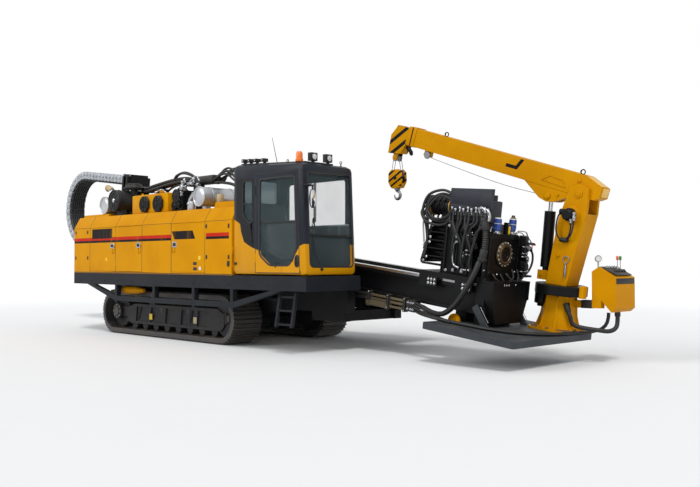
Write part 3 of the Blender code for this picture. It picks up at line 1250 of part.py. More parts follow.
def console():
    """Control console, level when the mast is at rest. Returns the arm that carries it."""
    x, z = mast_place(CONSOLE_BACK, CONSOLE_LOW)
    level = frame("console_place", MAST, (x, CONSOLE_Y, z), Matrix.Rotation(-MAST_TILT, 3, "Y"))
    deep = HALF_LENGTH - CONSOLE_BACK
    high = CONSOLE_TOP - CONSOLE_LOW
    seat = CONSOLE_ARM_HIGH + GAP
    ring = [(0, seat), (0.14, seat), (deep - 0.06, -0.05), (deep, 0.0), (deep, high - 0.14), (0.10, high),
            (0, high - 0.06)]
    slope = -0.14 / (deep - 0.10)
    add = [outline([ring], CONSOLE_HALF, "XZ")]
    for name, y, finish in LEVERS:
        x0 = 0.22
        z0 = high + slope * (x0 - 0.10)
        add.append(rod((x0, y, z0 - 0.02), (x0, y, z0 + LEVER_BOOT), 0.035, 0.015, 12))
        pivot = frame(name + "_pivot", level, (x0, y, z0 + LEVER_BOOT + LEVER_BALL + GAP))
        solid(name, pivot, finish, [
            rod((0, 0, -LEVER_BALL), (0, 0, LEVER_TIP), LEVER_TIP, LEVER_BALL + LEVER_TIP, 8),
            rod((0, 0, 0), (0, 0, LEVER_LONG), LEVER_BALL, sides=8),
            rod((0, 0, LEVER_LONG - 0.01), (0, 0, LEVER_LONG + 0.035), 0.018, 0.014, 12),
        ])
    solid("console", level, "yellow", add)
    y = CONSOLE_ARM_HALF - CONSOLE_HALF
    arm = box((CRANE_X - x, y - CONSOLE_ARM_HALF, 0), (0.13, y + CONSOLE_ARM_HALF, CONSOLE_ARM_HIGH))
    arm.parent = level
    return arm


chassis()
for side, suffix in ((-1, "near"), (1, "far")):
    track(side, "track_" + suffix)
    track_frame(side, "track_frame_" + suffix)
housing()
cab()
roof()
ladder()
far_side()
engine_top()
mast()
energy_chain()
carriage()
vise()
anchor_plate()
feed_lines()
crane(console())
lift_cylinder()
for body, tool in POCKETS:
    tool.parent = body.parent
bpy.context.view_layer.update()
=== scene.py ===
"""Looks of a tracked horizontal directional drill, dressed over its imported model.

Metres, +Z up, +X to the front, -Y is the cab's side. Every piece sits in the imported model's own frame.
"""
import json
import math

import bmesh
import bpy
import numpy as np
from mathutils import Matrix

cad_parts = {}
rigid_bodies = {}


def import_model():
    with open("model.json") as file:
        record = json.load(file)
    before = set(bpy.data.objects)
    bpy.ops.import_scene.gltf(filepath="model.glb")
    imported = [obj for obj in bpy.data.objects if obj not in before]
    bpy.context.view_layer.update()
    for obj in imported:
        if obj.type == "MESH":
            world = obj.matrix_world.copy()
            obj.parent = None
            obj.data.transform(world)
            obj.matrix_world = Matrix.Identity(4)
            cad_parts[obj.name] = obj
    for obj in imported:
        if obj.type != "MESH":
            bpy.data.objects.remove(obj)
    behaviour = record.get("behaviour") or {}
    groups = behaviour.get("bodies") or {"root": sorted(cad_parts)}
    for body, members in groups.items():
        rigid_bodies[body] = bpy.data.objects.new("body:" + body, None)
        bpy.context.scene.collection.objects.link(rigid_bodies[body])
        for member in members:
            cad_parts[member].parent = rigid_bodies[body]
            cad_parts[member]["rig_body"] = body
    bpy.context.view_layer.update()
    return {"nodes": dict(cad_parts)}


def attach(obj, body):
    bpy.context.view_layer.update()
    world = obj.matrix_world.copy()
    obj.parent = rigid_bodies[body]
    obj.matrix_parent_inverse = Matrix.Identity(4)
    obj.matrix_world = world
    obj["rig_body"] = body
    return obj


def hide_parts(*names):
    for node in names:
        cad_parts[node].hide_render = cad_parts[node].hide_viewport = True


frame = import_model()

bl_info = {
    "name": "Directional drill looks",
    "version": (1, 0, 0),
    "blender": (4, 5, 0),
    "location": "3D View > Sidebar > Drill",
    "description": "Paint, hoses, fasteners and lamps of a tracked directional drill",
    "category": "Object",
}

NODES = frame["nodes"]
TILT = math.radians(7.0)
PIVOT = np.array([2.86, 0.0, 0.85])
ALONG = np.array([math.cos(TILT), 0.0, -math.sin(TILT)])
ACROSS = np.array([0.0, 1.0, 0.0])
PROUD = np.array([math.sin(TILT), 0.0, math.cos(TILT)])
X, Y, Z = np.eye(3)


def on_mast(s, y, n):
    """Place at s along the mast, y across it and n square to it."""
    return PIVOT + s * ALONG + y * ACROSS + n * PROUD


# Shader sockets as numbers.

class Signal:
    """One output socket of a finish. Arithmetic on it adds Math nodes."""

    def __init__(self, finish, socket):
        self.finish, self.socket = finish, socket

    def _math(self, operation, *values):
        return self.finish.node("ShaderNodeMath", {"operation": operation}, dict(enumerate(values)))

    def __add__(self, other):
        return self._math("ADD", self, other)

    __radd__ = __add__

    def __mul__(self, other):
        return self._math("MULTIPLY", self, other)

    __rmul__ = __mul__

    def __sub__(self, other):
        return self._math("SUBTRACT", self, other)

    def __rsub__(self, other):
        return self._math("SUBTRACT", other, self)

    def __gt__(self, other):
        return self._math("GREATER_THAN", self, other)

    def __lt__(self, other):
        return self._math("LESS_THAN", self, other)

    def most(self, other):
        return self._math("MAXIMUM", self, other)

    def least(self, other):
        return self._math("MINIMUM", self, other)

    def wave(self):
        return self._math("SINE", self)

    def repeat(self, pitch):
        return self._math("WRAP", self, pitch, 0.0)

    def step(self, low, high):
        """0 below low, 1 above high and an eased ramp between."""
        return self.finish.node("ShaderNodeMapRange", {"interpolation_type": "SMOOTHSTEP"},
            {0: self, 1: low, 2: high, 3: 0.0, 4: 1.0})

    def between(self, low, high):
        return (self > low) * (self < high)


class Finish:
    """A material and its shader nodes."""

    def __init__(self, name):
        self.material = bpy.data.materials.new(name)
        self.material.use_nodes = True
        self.tree = self.material.node_tree
        self.shader = self.tree.nodes["Principled BSDF"]

    def node(self, kind, settings=(), values=(), output=0):
        made = self.tree.nodes.new(kind)
        for key, value in dict(settings).items():
            setattr(made, key, value)
        for key, value in dict(values).items():
            self.plug(made.inputs[key], value)
        return Signal(self, made.outputs[output])

    def plug(self, socket, value):
        if isinstance(value, Signal):
            self.tree.links.new(value.socket, socket)
        elif isinstance(value, tuple) and len(value) == 3 and socket.type == "RGBA":
            socket.default_value = (*value, 1.0)
        else:
            socket.default_value = value

    def place(self):
        return self.node("ShaderNodeTexCoord", output="Object")

    def facing(self):
        return self.split(self.node("ShaderNodeTexCoord", output="Normal"))

    def split(self, vector):
        made = self.tree.nodes.new("ShaderNodeSeparateXYZ")
        self.plug(made.inputs[0], vector)
        return [Signal(self, out) for out in made.outputs]

    def stretch(self, vector, scale):
        return self.node("ShaderNodeMapping", {}, {"Vector": vector, "Scale": scale})

    def noise(self, scale, detail=3.0, at=None, rough=0.55):
        return self.node("ShaderNodeTexNoise", {}, {"Vector": at or self.place(), "Scale": scale,
            "Detail": detail, "Roughness": rough})

    def mix(self, factor, low, high, blend="MIX"):
        return self.node("ShaderNodeMix", {"data_type": "RGBA", "blend_type": blend},
            {0: factor, 6: low, 7: high}, output=2)

    def edge(self, radius):
        """How far the surface near a point turns away from its own face: 0 on flats, up to 0.3 on edges."""
        soft = self.node("ShaderNodeBevel", {"samples": 4}, {"Radius": radius})
        true = self.node("ShaderNodeNewGeometry", output="True Normal")
        same = self.node("ShaderNodeVectorMath", {"operation": "DOT_PRODUCT"}, {0: soft, 1: true},
            output="Value")
        return soft, 1.0 - same

    def bump(self, height, strength, distance, under=None):
        values = {"Height": height, "Strength": strength, "Distance": distance}
        if under:
            values["Normal"] = under
        return self.node("ShaderNodeBump", {}, values)

    def set(self, **sockets):
        for key, value in sockets.items():
            self.plug(self.shader.inputs[key.replace("_", " ")], value)


def srgb(red, green, blue):
    """Colour of a paint chart, 0 to 255, as the linear colour that the shader takes."""
    part = np.array([red, green, blue]) / 255.0
    return tuple(float(v) for v in np.where(part <= 0.04045, part / 12.92, ((part + 0.055) / 1.055) ** 2.4))


DUST = srgb(150, 138, 118)
FINISHES = {}


class PaintSettings(bpy.types.PropertyGroup):
    """Colours of the machine's paint, as linear values."""
    yellow: bpy.props.FloatVectorProperty(
        name="Yellow", description="Main colour of housing, cab, crane and console", subtype="COLOR", size=3,
        default=srgb(206, 142, 0), min=0.0, max=1.0)
    yellow_shade: bpy.props.FloatVectorProperty(
        name="Yellow in shade", description="Second tone of the yellow", subtype="COLOR", size=3,
        default=srgb(198, 133, 0), min=0.0, max=1.0)
    frame_grey: bpy.props.FloatVectorProperty(
        name="Frame grey", description="Colour of the deck beam, truss and ladder", subtype="COLOR", size=3,
        default=srgb(31, 34, 40), min=0.0, max=1.0)
    cab_grey: bpy.props.FloatVectorProperty(
        name="Cab grey", description="Colour of the cab's upper part", subtype="COLOR", size=3,
        default=srgb(34, 40, 47), min=0.0, max=1.0)
    band_red: bpy.props.FloatVectorProperty(
        name="Band red", description="Upper part of the band along the housing", subtype="COLOR", size=3,
        default=srgb(186, 40, 24), min=0.0, max=1.0)
    band_black: bpy.props.FloatVectorProperty(
        name="Band black", description="Lower part of the band, and the diagonal bands of the crane",
        subtype="COLOR", size=3, default=srgb(24, 25, 28), min=0.0, max=1.0)


def tone(name):
    """Colour of that name in the paint settings."""
    return tuple(getattr(bpy.context.scene.drill_paint, name))


class TrimSettings(bpy.types.PropertyGroup):
    """Sizes of small parts."""
    cab_edge: bpy.props.FloatProperty(
        name="Cab edge", description="Radius of the cab's edges", default=0.02, min=0.0, unit="LENGTH")
    seam: bpy.props.FloatProperty(
        name="Seam", description="Width of the upright seams of the housing", default=0.008, min=0.001,
        unit="LENGTH")
    aerial: bpy.props.FloatProperty(
        name="Aerial", description="Length of the aerial's rod", default=0.5, min=0.1, unit="LENGTH")
    hook_rope: bpy.props.FloatProperty(
        name="Hook rope", description="Radius of the ropes that carry the hook", default=0.0052, min=0.001,
        unit="LENGTH")


def coated(name, colour, second, rough, metal=0.0, coat=0.0, bare=srgb(120, 118, 112), wear=0.5,
           dust=0.25, grain=260.0, dent=0.05, soft=0.006, pattern=None, shine=0.4):
    """Paint or metal: two near tones in slow clouds, thin rain streaks, rubbed edges, settled dust and a
    fine skin. The pattern function may paint bands over the base colour before the wear goes on."""
    look = Finish(name)
    at = look.place()
    cloud = look.noise(1.7, 4.0, at)
    base = look.mix(cloud.step(0.35, 0.68), colour, second)
    if pattern:
        base = pattern(look, base)
    streak = look.noise(9.0, 3.0, look.stretch(at, (1.0, 1.0, 0.07)))
    base = look.mix(streak.step(0.52, 0.8) * 0.22, base, second)
    soft_normal, turned_away = look.edge(soft)
    patch = look.noise(23.0, 4.0, at, 0.65)
    rubbed = (turned_away * 5.0 * wear + patch * 0.75 - 0.62).step(0.0, 0.12)
    base = look.mix(rubbed * min(1.0, wear * 1.4), base, bare)
    up = look.facing()[2]
    settled = (up.step(0.3, 0.95) * 0.8 + 0.12) * look.noise(5.0, 5.0, at, 0.7).step(0.36, 0.72) * dust
    base = look.mix(settled, base, DUST)
    skin = look.noise(grain, 2.0, at)
    scratch = look.noise(60.0, 3.0, look.stretch(at, (0.2, 1.0, 1.0)))
    look.set(Base_Color=base, Metallic=metal,
        Roughness=(scratch * 0.16 + settled * 0.5 + (rough - 0.08)).least(0.95), Coat_Roughness=0.22,
        Specular_IOR_Level=shine, Normal=look.bump(skin + cloud * 2.0, dent, 0.004, soft_normal))
    if coat:
        look.set(Coat_Weight=coat)
    FINISHES[name] = look.material
    return look


# Patterns that are painted over a base colour.

STRIPE_LOW, STRIPE_MID, STRIPE_TOP = 1.738, 1.78, 1.838
STRIPE_RUNS = ((-3.64, -0.14), (0.88, 1.5))
PLATE = srgb(30, 27, 28)
SHADOW = srgb(18, 19, 21)
# Bare plates on the stripe: rear and front end, foot, top, lean of the ends.
STRIPE_PLATES = ((-2.91, -2.14, 1.815, 2.0, 0.0), (-0.12, 0.5, 1.752, 1.892, 0.55))
# Line between the cab's dark and yellow paint: place along the cab, height.
TWO_TONE = ((1.57, 2.04), (1.634, 2.024), (1.711, 1.997), (1.787, 1.956), (1.812, 1.832), (1.887, 1.676),
            (2.085, 1.588), (2.327, 1.518), (2.516, 1.442), (2.723, 1.367), (3.025, 1.367), (3.08, 1.468),
            (3.178, 1.596), (3.253, 1.624))


def side_stripe(look, base):
    """Red over black band along the housing's side, two dark bare plates, and painted shade in the bays
    behind the doors.
    """
    x, y, z = look.split(look.place())
    # Painted shade: the bays behind the engine doors are painted near black where the housing shades them.
    bay_shade = x.between(-2.97, 0.83) * y.between(-1.56, -1.09) * z.between(1.21, 2.01)
    base = look.mix(bay_shade, base, SHADOW)
    side = y < -1.5
    runs = [x.between(low, high) for low, high in STRIPE_RUNS]
    along = (runs[0] + runs[1]) * side
    base = look.mix(z.between(STRIPE_LOW, STRIPE_MID) * along, base, tone("band_black"))
    base = look.mix(z.between(STRIPE_MID, STRIPE_TOP) * along, base, tone("band_red"))
    for low, high, foot, top, slant in STRIPE_PLATES:
        inside = (x + (z - top) * slant).between(low, high) * z.between(foot, top) * side
        base = look.mix(inside, base, PLATE)
    return base


def cab_two_tone_and_shade(look, base):
    """Yellow below a line of straight pieces: their height is the first plus every later change of slope.
    Inside the cab, painted shade.
    """
    x, y, z = look.split(look.place())
    line, slope = x * 0.0 + TWO_TONE[0][1], 0.0
    for (x0, z0), (x1, z1) in zip(TWO_TONE, TWO_TONE[1:] + ((9.0, TWO_TONE[-1][1]),)):
        change = (z1 - z0) / (x1 - x0) - slope
        line = line + (x - x0).most(0.0) * change
        slope += change
    base = look.mix((line - z).step(-0.002, 0.002), base, tone("yellow"))
    # Painted shade: everything inside the cab's box goes near black.
    inside = x.between(1.6, 3.14) * y.between(-1.555, -0.575) * z.between(1.16, 2.84)
    return look.mix(inside, base, SHADOW)


def low_dark(look, base):
    """The cab's lining is pale above the seat, a painted reflection that makes the cab's windows look
    bright, and nearly black below it.
    """
    x, y, z = look.split(look.place())
    return look.mix(z.step(1.9, 1.96), PLATE, base)


def underside_painted_shade(look, base):
    """Painted shade: the chassis is painted near black between the tracks below the deck,
    where the deck shades it.
    """
    x, y, z = look.split(look.place())
    # Painted shade: near black below the deck and between the tracks.
    return look.mix((z < 0.935) * y.between(-0.98, 0.98), base, SHADOW)


def chevrons(look, base, middle, half, pitch, slant):
    """Black diagonal bands between two places along the boom."""
    along, across = boom_axes(look)
    x, y, z = look.split(look.place())
    inside = along.between(middle - half, middle + half)
    return look.mix((across * slant + along + y * 0.6).repeat(pitch).between(0.0, pitch * 0.36) * inside,
        base, tone("band_black"))


BOOM_ROOT = (6.4383, 2.2745)
BOOM_RISE = math.radians(18)


def boom_axes(look):
    """Distance along the boom and height above its pivot line, from the object's own place."""
    x, y, z = look.split(look.place())
    across, up = x - BOOM_ROOT[0], z - BOOM_ROOT[1]
    along = up * math.sin(BOOM_RISE) - across * math.cos(BOOM_RISE)
    return along, across * math.sin(BOOM_RISE) + up * math.cos(BOOM_RISE)


def boom_marks(look, base):
    """Short black hook-shaped band on the side of the outer boom, and a thin black line at its end."""
    s, n = boom_axes(look)
    band = s.between(1.1, 1.29) * n.between(0.075, 0.125)
    tail = (s + (n - 0.1) * 0.55).between(1.075, 1.135) * n.between(0.075, 0.235)
    return look.mix(band.most(tail).most(s.between(3.165, 3.187)), base, tone("band_black"))


def head_marks(look, base):
    """The black bands of the boom's head."""
    return chevrons(look, base, 3.5, 0.2, 0.24, 1.0)


def block_marks(look, base):
    """Black diagonal bands over the hook's block."""
    x, y, z = look.split(look.place())
    inside = z.between(2.6, 2.86)
    return look.mix((z - x * 0.56 + y * 0.3).repeat(0.11).between(0.0, 0.042) * inside, base,
        tone("band_black"))


def paints():
    """The finishes of the machine, each from the paint recipe or from its own nodes."""
    for name, pattern in (("yellow", None), ("housing_yellow", side_stripe), ("boom_yellow", boom_marks),
            ("head_yellow", head_marks), ("block_yellow", block_marks)):
        coated(name, tone("yellow"), tone("yellow_shade"), 0.4, bare=srgb(150, 108, 40), wear=0.28,
            dust=0.03, pattern=pattern, shine=0.04)
    coated("frame_grey", tone("frame_grey"), srgb(26, 29, 34), 0.5, bare=srgb(92, 90, 88), wear=0.35,
        dust=0.12, pattern=underside_painted_shade, shine=0.12)
    coated("under_grey", srgb(44, 45, 49), srgb(50, 49, 48), 0.6, bare=srgb(92, 90, 88), wear=0.4, dust=0.3,
        shine=0.2)
    coated("cab_grey", tone("cab_grey"), srgb(28, 31, 40), 0.42, coat=0.1, bare=srgb(90, 90, 92), wear=0.25,
        dust=0.06, pattern=cab_two_tone_and_shade, shine=0.1)
    coated("plate_slate", srgb(58, 62, 67), srgb(50, 54, 58), 0.55, bare=srgb(110, 110, 108), wear=0.4,
        dust=0.15, shine=0.2)
    coated("shield_grey", srgb(50, 53, 60), srgb(44, 47, 54), 0.5, bare=srgb(96, 96, 98), wear=0.4,
        shine=0.15)
    coated("black_steel", srgb(11, 12, 14), srgb(8, 9, 11), 0.4, bare=srgb(70, 70, 72), wear=0.22, dust=0.02,
        coat=0.03, shine=0.15)
    coated("boom_pale", srgb(232, 188, 96), srgb(222, 176, 84), 0.42, wear=0.2)
    # Painted light: a pale sheet that stands in for the bright surroundings seen through the rear window.
    coated("pane_pale", srgb(196, 222, 226), srgb(182, 208, 214), 0.12, wear=0.0, dust=0.02, coat=0.6)
    # Pale lining: a painted reflection, brightened so the windows look bright as with a reflected sky.
    coated("lining", srgb(196, 216, 220), srgb(176, 196, 202), 0.6, wear=0.0, pattern=low_dark)
    coated("panel_black", srgb(14, 15, 18), srgb(11, 12, 14), 0.3, wear=0.0, dust=0.04, coat=0.1, shine=0.15)
    coated("plastic_black", srgb(17, 18, 20), srgb(22, 23, 25), 0.55, bare=srgb(48, 48, 48), wear=0.15,
        dust=0.12, grain=520.0, dent=0.09)
    coated("silver", srgb(196, 198, 202), srgb(176, 178, 182), 0.34, metal=0.75, bare=srgb(140, 120, 96),
        wear=0.3, dust=0.15)
    coated("bright_steel", srgb(178, 180, 184), srgb(150, 150, 152), 0.24, metal=0.95,
        bare=srgb(206, 206, 206), wear=0.35, dust=0.12, dent=0.03)
    coated("steel", srgb(132, 134, 138), srgb(112, 112, 112), 0.42, metal=0.85, bare=srgb(180, 180, 180),
        wear=0.45)
    coated("blue", srgb(14, 62, 150), srgb(12, 52, 128), 0.34, coat=0.4, bare=srgb(110, 116, 130), wear=0.35)
    coated("bronze", srgb(96, 82, 58), srgb(76, 64, 46), 0.36, metal=0.85, bare=srgb(176, 150, 112),
        wear=0.6)
    coated("brown_steel", srgb(98, 86, 64), srgb(78, 68, 52), 0.46, metal=0.4, bare=srgb(150, 138, 124),
        wear=0.5)
    coated("green", srgb(40, 140, 70), srgb(32, 118, 58), 0.4, wear=0.2)
    coated("orange", srgb(226, 96, 34), srgb(206, 84, 28), 0.4, wear=0.2)
    coated("beige", srgb(196, 176, 136), srgb(178, 158, 120), 0.48, wear=0.3)
    coated("gold", srgb(190, 150, 74), srgb(166, 128, 62), 0.36, metal=0.7, wear=0.4)
    coated("white_plate", srgb(222, 222, 218), srgb(206, 206, 202), 0.4, wear=0.2)
    coated("warning_yellow", srgb(236, 196, 30), srgb(222, 182, 24), 0.42, wear=0.2)
    coated("lamp_glass", srgb(206, 210, 212), srgb(176, 180, 184), 0.16, metal=0.25, coat=0.8, wear=0.0,
        dust=0.05)
    coated("track_steel", srgb(68, 68, 71), srgb(76, 71, 66), 0.52, metal=0.5, bare=srgb(142, 138, 132),
        wear=0.9, dust=0.5, dent=0.1)
    galvanised()
    rubber()
    chrome()
    glass("glass", (0.16, 0.23, 0.25), 0.05)
    beacon()
    seat_cloth()


def galvanised():
    """Zinc coat: cells of a Voronoi pattern that differ in shade and in roughness."""
    look = Finish("chain_grey")
    at = look.place()
    cell = look.node("ShaderNodeTexVoronoi", {}, {"Vector": at, "Scale": 34.0}, output="Color")
    shade = look.split(cell)[0]
    soft_normal, turned_away = look.edge(0.004)
    base = look.mix(shade, srgb(150, 154, 160), srgb(186, 190, 195))
    grime = look.noise(4.0, 5.0, at).step(0.42, 0.75)
    base = look.mix(grime * 0.35, base, srgb(112, 110, 108))
    look.set(Base_Color=base, Metallic=0.55, Roughness=shade * 0.15 + grime * 0.2 + 0.34,
        Normal=look.bump(look.noise(90.0, 3.0, at) + shade, 0.06, 0.004, soft_normal))
    FINISHES["chain_grey"] = look.material


def rubber():
    """Hose rubber: near black, a dull sheen, cloth marks and dust in the lower lying parts."""
    look = Finish("rubber")
    at = look.place()
    cloud = look.noise(6.0, 4.0, at)
    weave = look.noise(420.0, 2.0, at)
    base = look.mix(cloud.step(0.35, 0.7), srgb(11, 11, 13), srgb(18, 18, 20))
    base = look.mix(look.facing()[2].step(0.2, 1.0) * cloud * 0.05, base, DUST)
    look.set(Base_Color=base, Roughness=cloud * 0.2 + 0.46, Normal=look.bump(weave, 0.1, 0.002))
    FINISHES["rubber"] = look.material


def chrome():
    """Polished rod: bright, with faint rings and an oil film."""
    look = Finish("chrome")
    at = look.place()
    film = look.noise(12.0, 3.0, at).step(0.4, 0.7)
    look.set(Base_Color=look.mix(film, srgb(222, 224, 228), srgb(196, 198, 200)), Metallic=1.0,
        Roughness=film * 0.1 + 0.1, Normal=look.bump(look.noise(300.0, 1.0, at), 0.02, 0.001))
    FINISHES["chrome"] = look.material


def glass(name, tint, rough):
    """A thin pane: mostly clear, with a tint, a mirror sheen at a grazing view and a breath of dust."""
    look = Finish(name)
    at = look.place()
    haze = look.noise(3.0, 4.0, at).step(0.35, 0.75)
    look.set(Base_Color=look.mix(haze * 0.06, tint, DUST), Metallic=0.0, Roughness=haze * 0.12 + rough,
        Alpha=haze * 0.03 + 0.1, IOR=1.42, Specular_IOR_Level=0.25, Normal=look.bump(haze, 0.02, 0.01))
    look.material.surface_render_method = "DITHERED"
    FINISHES[name] = look.material


def beacon():
    """Orange lens with upright flutes."""
    look = Finish("beacon")
    at = look.place()
    x, y, z = look.split(at)
    cloud = look.noise(14.0, 3.0, at)
    flutes = (x * 300.0).wave() * (y * 300.0).wave()
    look.set(Base_Color=look.mix(cloud, srgb(236, 122, 20), srgb(220, 100, 12)),
        Roughness=cloud * 0.1 + 0.22, Coat_Weight=0.3, Emission_Color=srgb(120, 52, 4),
        Emission_Strength=0.2, Normal=look.bump(flutes, 0.15, 0.003))
    FINISHES["beacon"] = look.material


def seat_cloth():
    """Seat cover: crossed threads as two sine waves, with a paler wear in the middle."""
    look = Finish("seat_cloth")
    at = look.place()
    x, y, z = look.split(at)
    threads = (x * 900.0).wave() * (y * 900.0).wave()
    cloud = look.noise(5.0, 4.0, at)
    look.set(Base_Color=look.mix(cloud.step(0.4, 0.7), srgb(40, 42, 46), srgb(56, 58, 62)),
        Roughness=cloud * 0.1 + 0.8, Normal=look.bump(threads + cloud, 0.2, 0.002))
    FINISHES["seat_cloth"] = look.material


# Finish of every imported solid.
CAD_FINISH = {"chassis_frame": "frame_grey", "track_near": "track_steel", "track_far": "track_steel",
    "track_frame_near": "under_grey", "track_frame_far": "under_grey", "engine_housing": "housing_yellow",
    "cab_shell": "cab_grey", "cab_glass_quarter": "glass", "cab_glass_far": "glass",
    "cab_glass_front": "glass", "cab_seat": "seat_cloth", "roof_lamps": "plastic_black", "beacon": "beacon",
    "ladder": "frame_grey", "engine_block": "black_steel", "feed_pipes": "brown_steel",
    "plate_hose": "rubber", "fuel_tank": "yellow", "hydraulic_tank": "yellow",
    "air_cleaner": "plastic_black", "muffler_rear": "silver", "muffler_front": "silver",
    "hood_box": "yellow", "cab_door": "cab_grey", "cab_door_glass": "glass",
    "engine_door_rear": "housing_yellow", "engine_door_middle": "housing_yellow",
    "engine_door_front": "housing_yellow", "mast_beam": "black_steel", "mast_rail_near": "bright_steel",
    "mast_rail_far": "bright_steel", "energy_chain": "chain_grey", "chain_bracket": "black_steel",
    "vise_block": "black_steel", "vise_ring": "bronze", "vise_motor_near": "blue", "vise_motor_far": "blue",
    "anchor_plate": "plate_slate", "crane_base": "yellow", "slew_guard": "black_steel", "console": "yellow",
    "lift_barrel": "black_steel", "lift_rod": "chrome", "carriage_frame": "black_steel",
    "drive_motor_near": "black_steel", "drive_motor_far": "black_steel", "head_cover": "shield_grey",
    "spindle": "steel", "wrench": "bronze", "crane_column": "yellow", "boom_outer": "boom_yellow",
    "boom_inner": "head_yellow", "hook_block": "block_yellow", "luff_barrel": "black_steel",
    "luff_rod": "chrome", "lever_orange": "orange", "lever_green": "green"}


# Making of surfaces.

CRISP = math.radians(38.0)
BEVELLED = math.radians(30.0)


def sharpened(mesh):
    """Smooth shading with every steep edge left crisp."""
    mesh.polygons.foreach_set("use_smooth", np.ones(len(mesh.polygons), bool))
    mesh.set_sharp_from_angle(angle=CRISP)


def rounded_copy(node, finish, bevel=0.0):
    """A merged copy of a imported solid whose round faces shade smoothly, and that stands for it. With a
    bevel, every edge steeper than 30 degrees is rounded too."""
    mesh = NODES[node].data.copy()
    worked = bmesh.new()
    worked.from_mesh(mesh)
    bmesh.ops.remove_doubles(worked, verts=worked.verts, dist=0.00004)
    worked.to_mesh(mesh)
    worked.free()
    if "custom_normal" in mesh.attributes:
        mesh.attributes.remove(mesh.attributes["custom_normal"])
    mesh.materials.clear()
    mesh.materials.append(FINISHES[finish])
    sharpened(mesh)
    made = bpy.data.objects.new(node + "_skin", mesh)
    bpy.context.scene.collection.objects.link(made)
    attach(made, NODES[node]["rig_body"])
    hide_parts(node)
    if bevel:
        edge = made.modifiers.new("edge", "BEVEL")
        edge.width = bevel
        edge.segments = 3
        edge.limit_method = "ANGLE"
        edge.angle_limit = BEVELLED
        edge.harden_normals = True
    return made


# Frames in which outlines are drawn: an origin, two axes of the outline, and the axis that it runs along.
LEVEL = (np.zeros(3), np.eye(3))
END_ON = (np.zeros(3), np.array([Y, Z, X]))
SIDE_ON = np.array([X, Z, -Y])
FAR_ON = np.array([-X, Z, Y])
MAST = (PIVOT, np.array([ALONG, ACROSS, PROUD]))
MAST_SIDE = (PIVOT, np.array([ALONG, PROUD, -ACROSS]))
MAST_FACE = np.array([ACROSS, PROUD, ALONG])


def mast_points(rows):
    """Places in the mast's frame, as rows of along, across and proud, made places in the world."""
    return PIVOT + np.array(rows, float) @ MAST[1]


def unit(vector):
    return np.asarray(vector, float) / np.linalg.norm(vector)


def basis(origin, forward, up=Z):
    """Axes at a place: the first runs forward, the third is as near to up as it can be."""
    forward = unit(forward)
    side = unit(np.cross(up, forward)) if abs(np.dot(up, forward)) < 0.999 else unit(np.cross(X, forward))
    return np.asarray(origin, float), np.array([forward, side, np.cross(forward, side)])


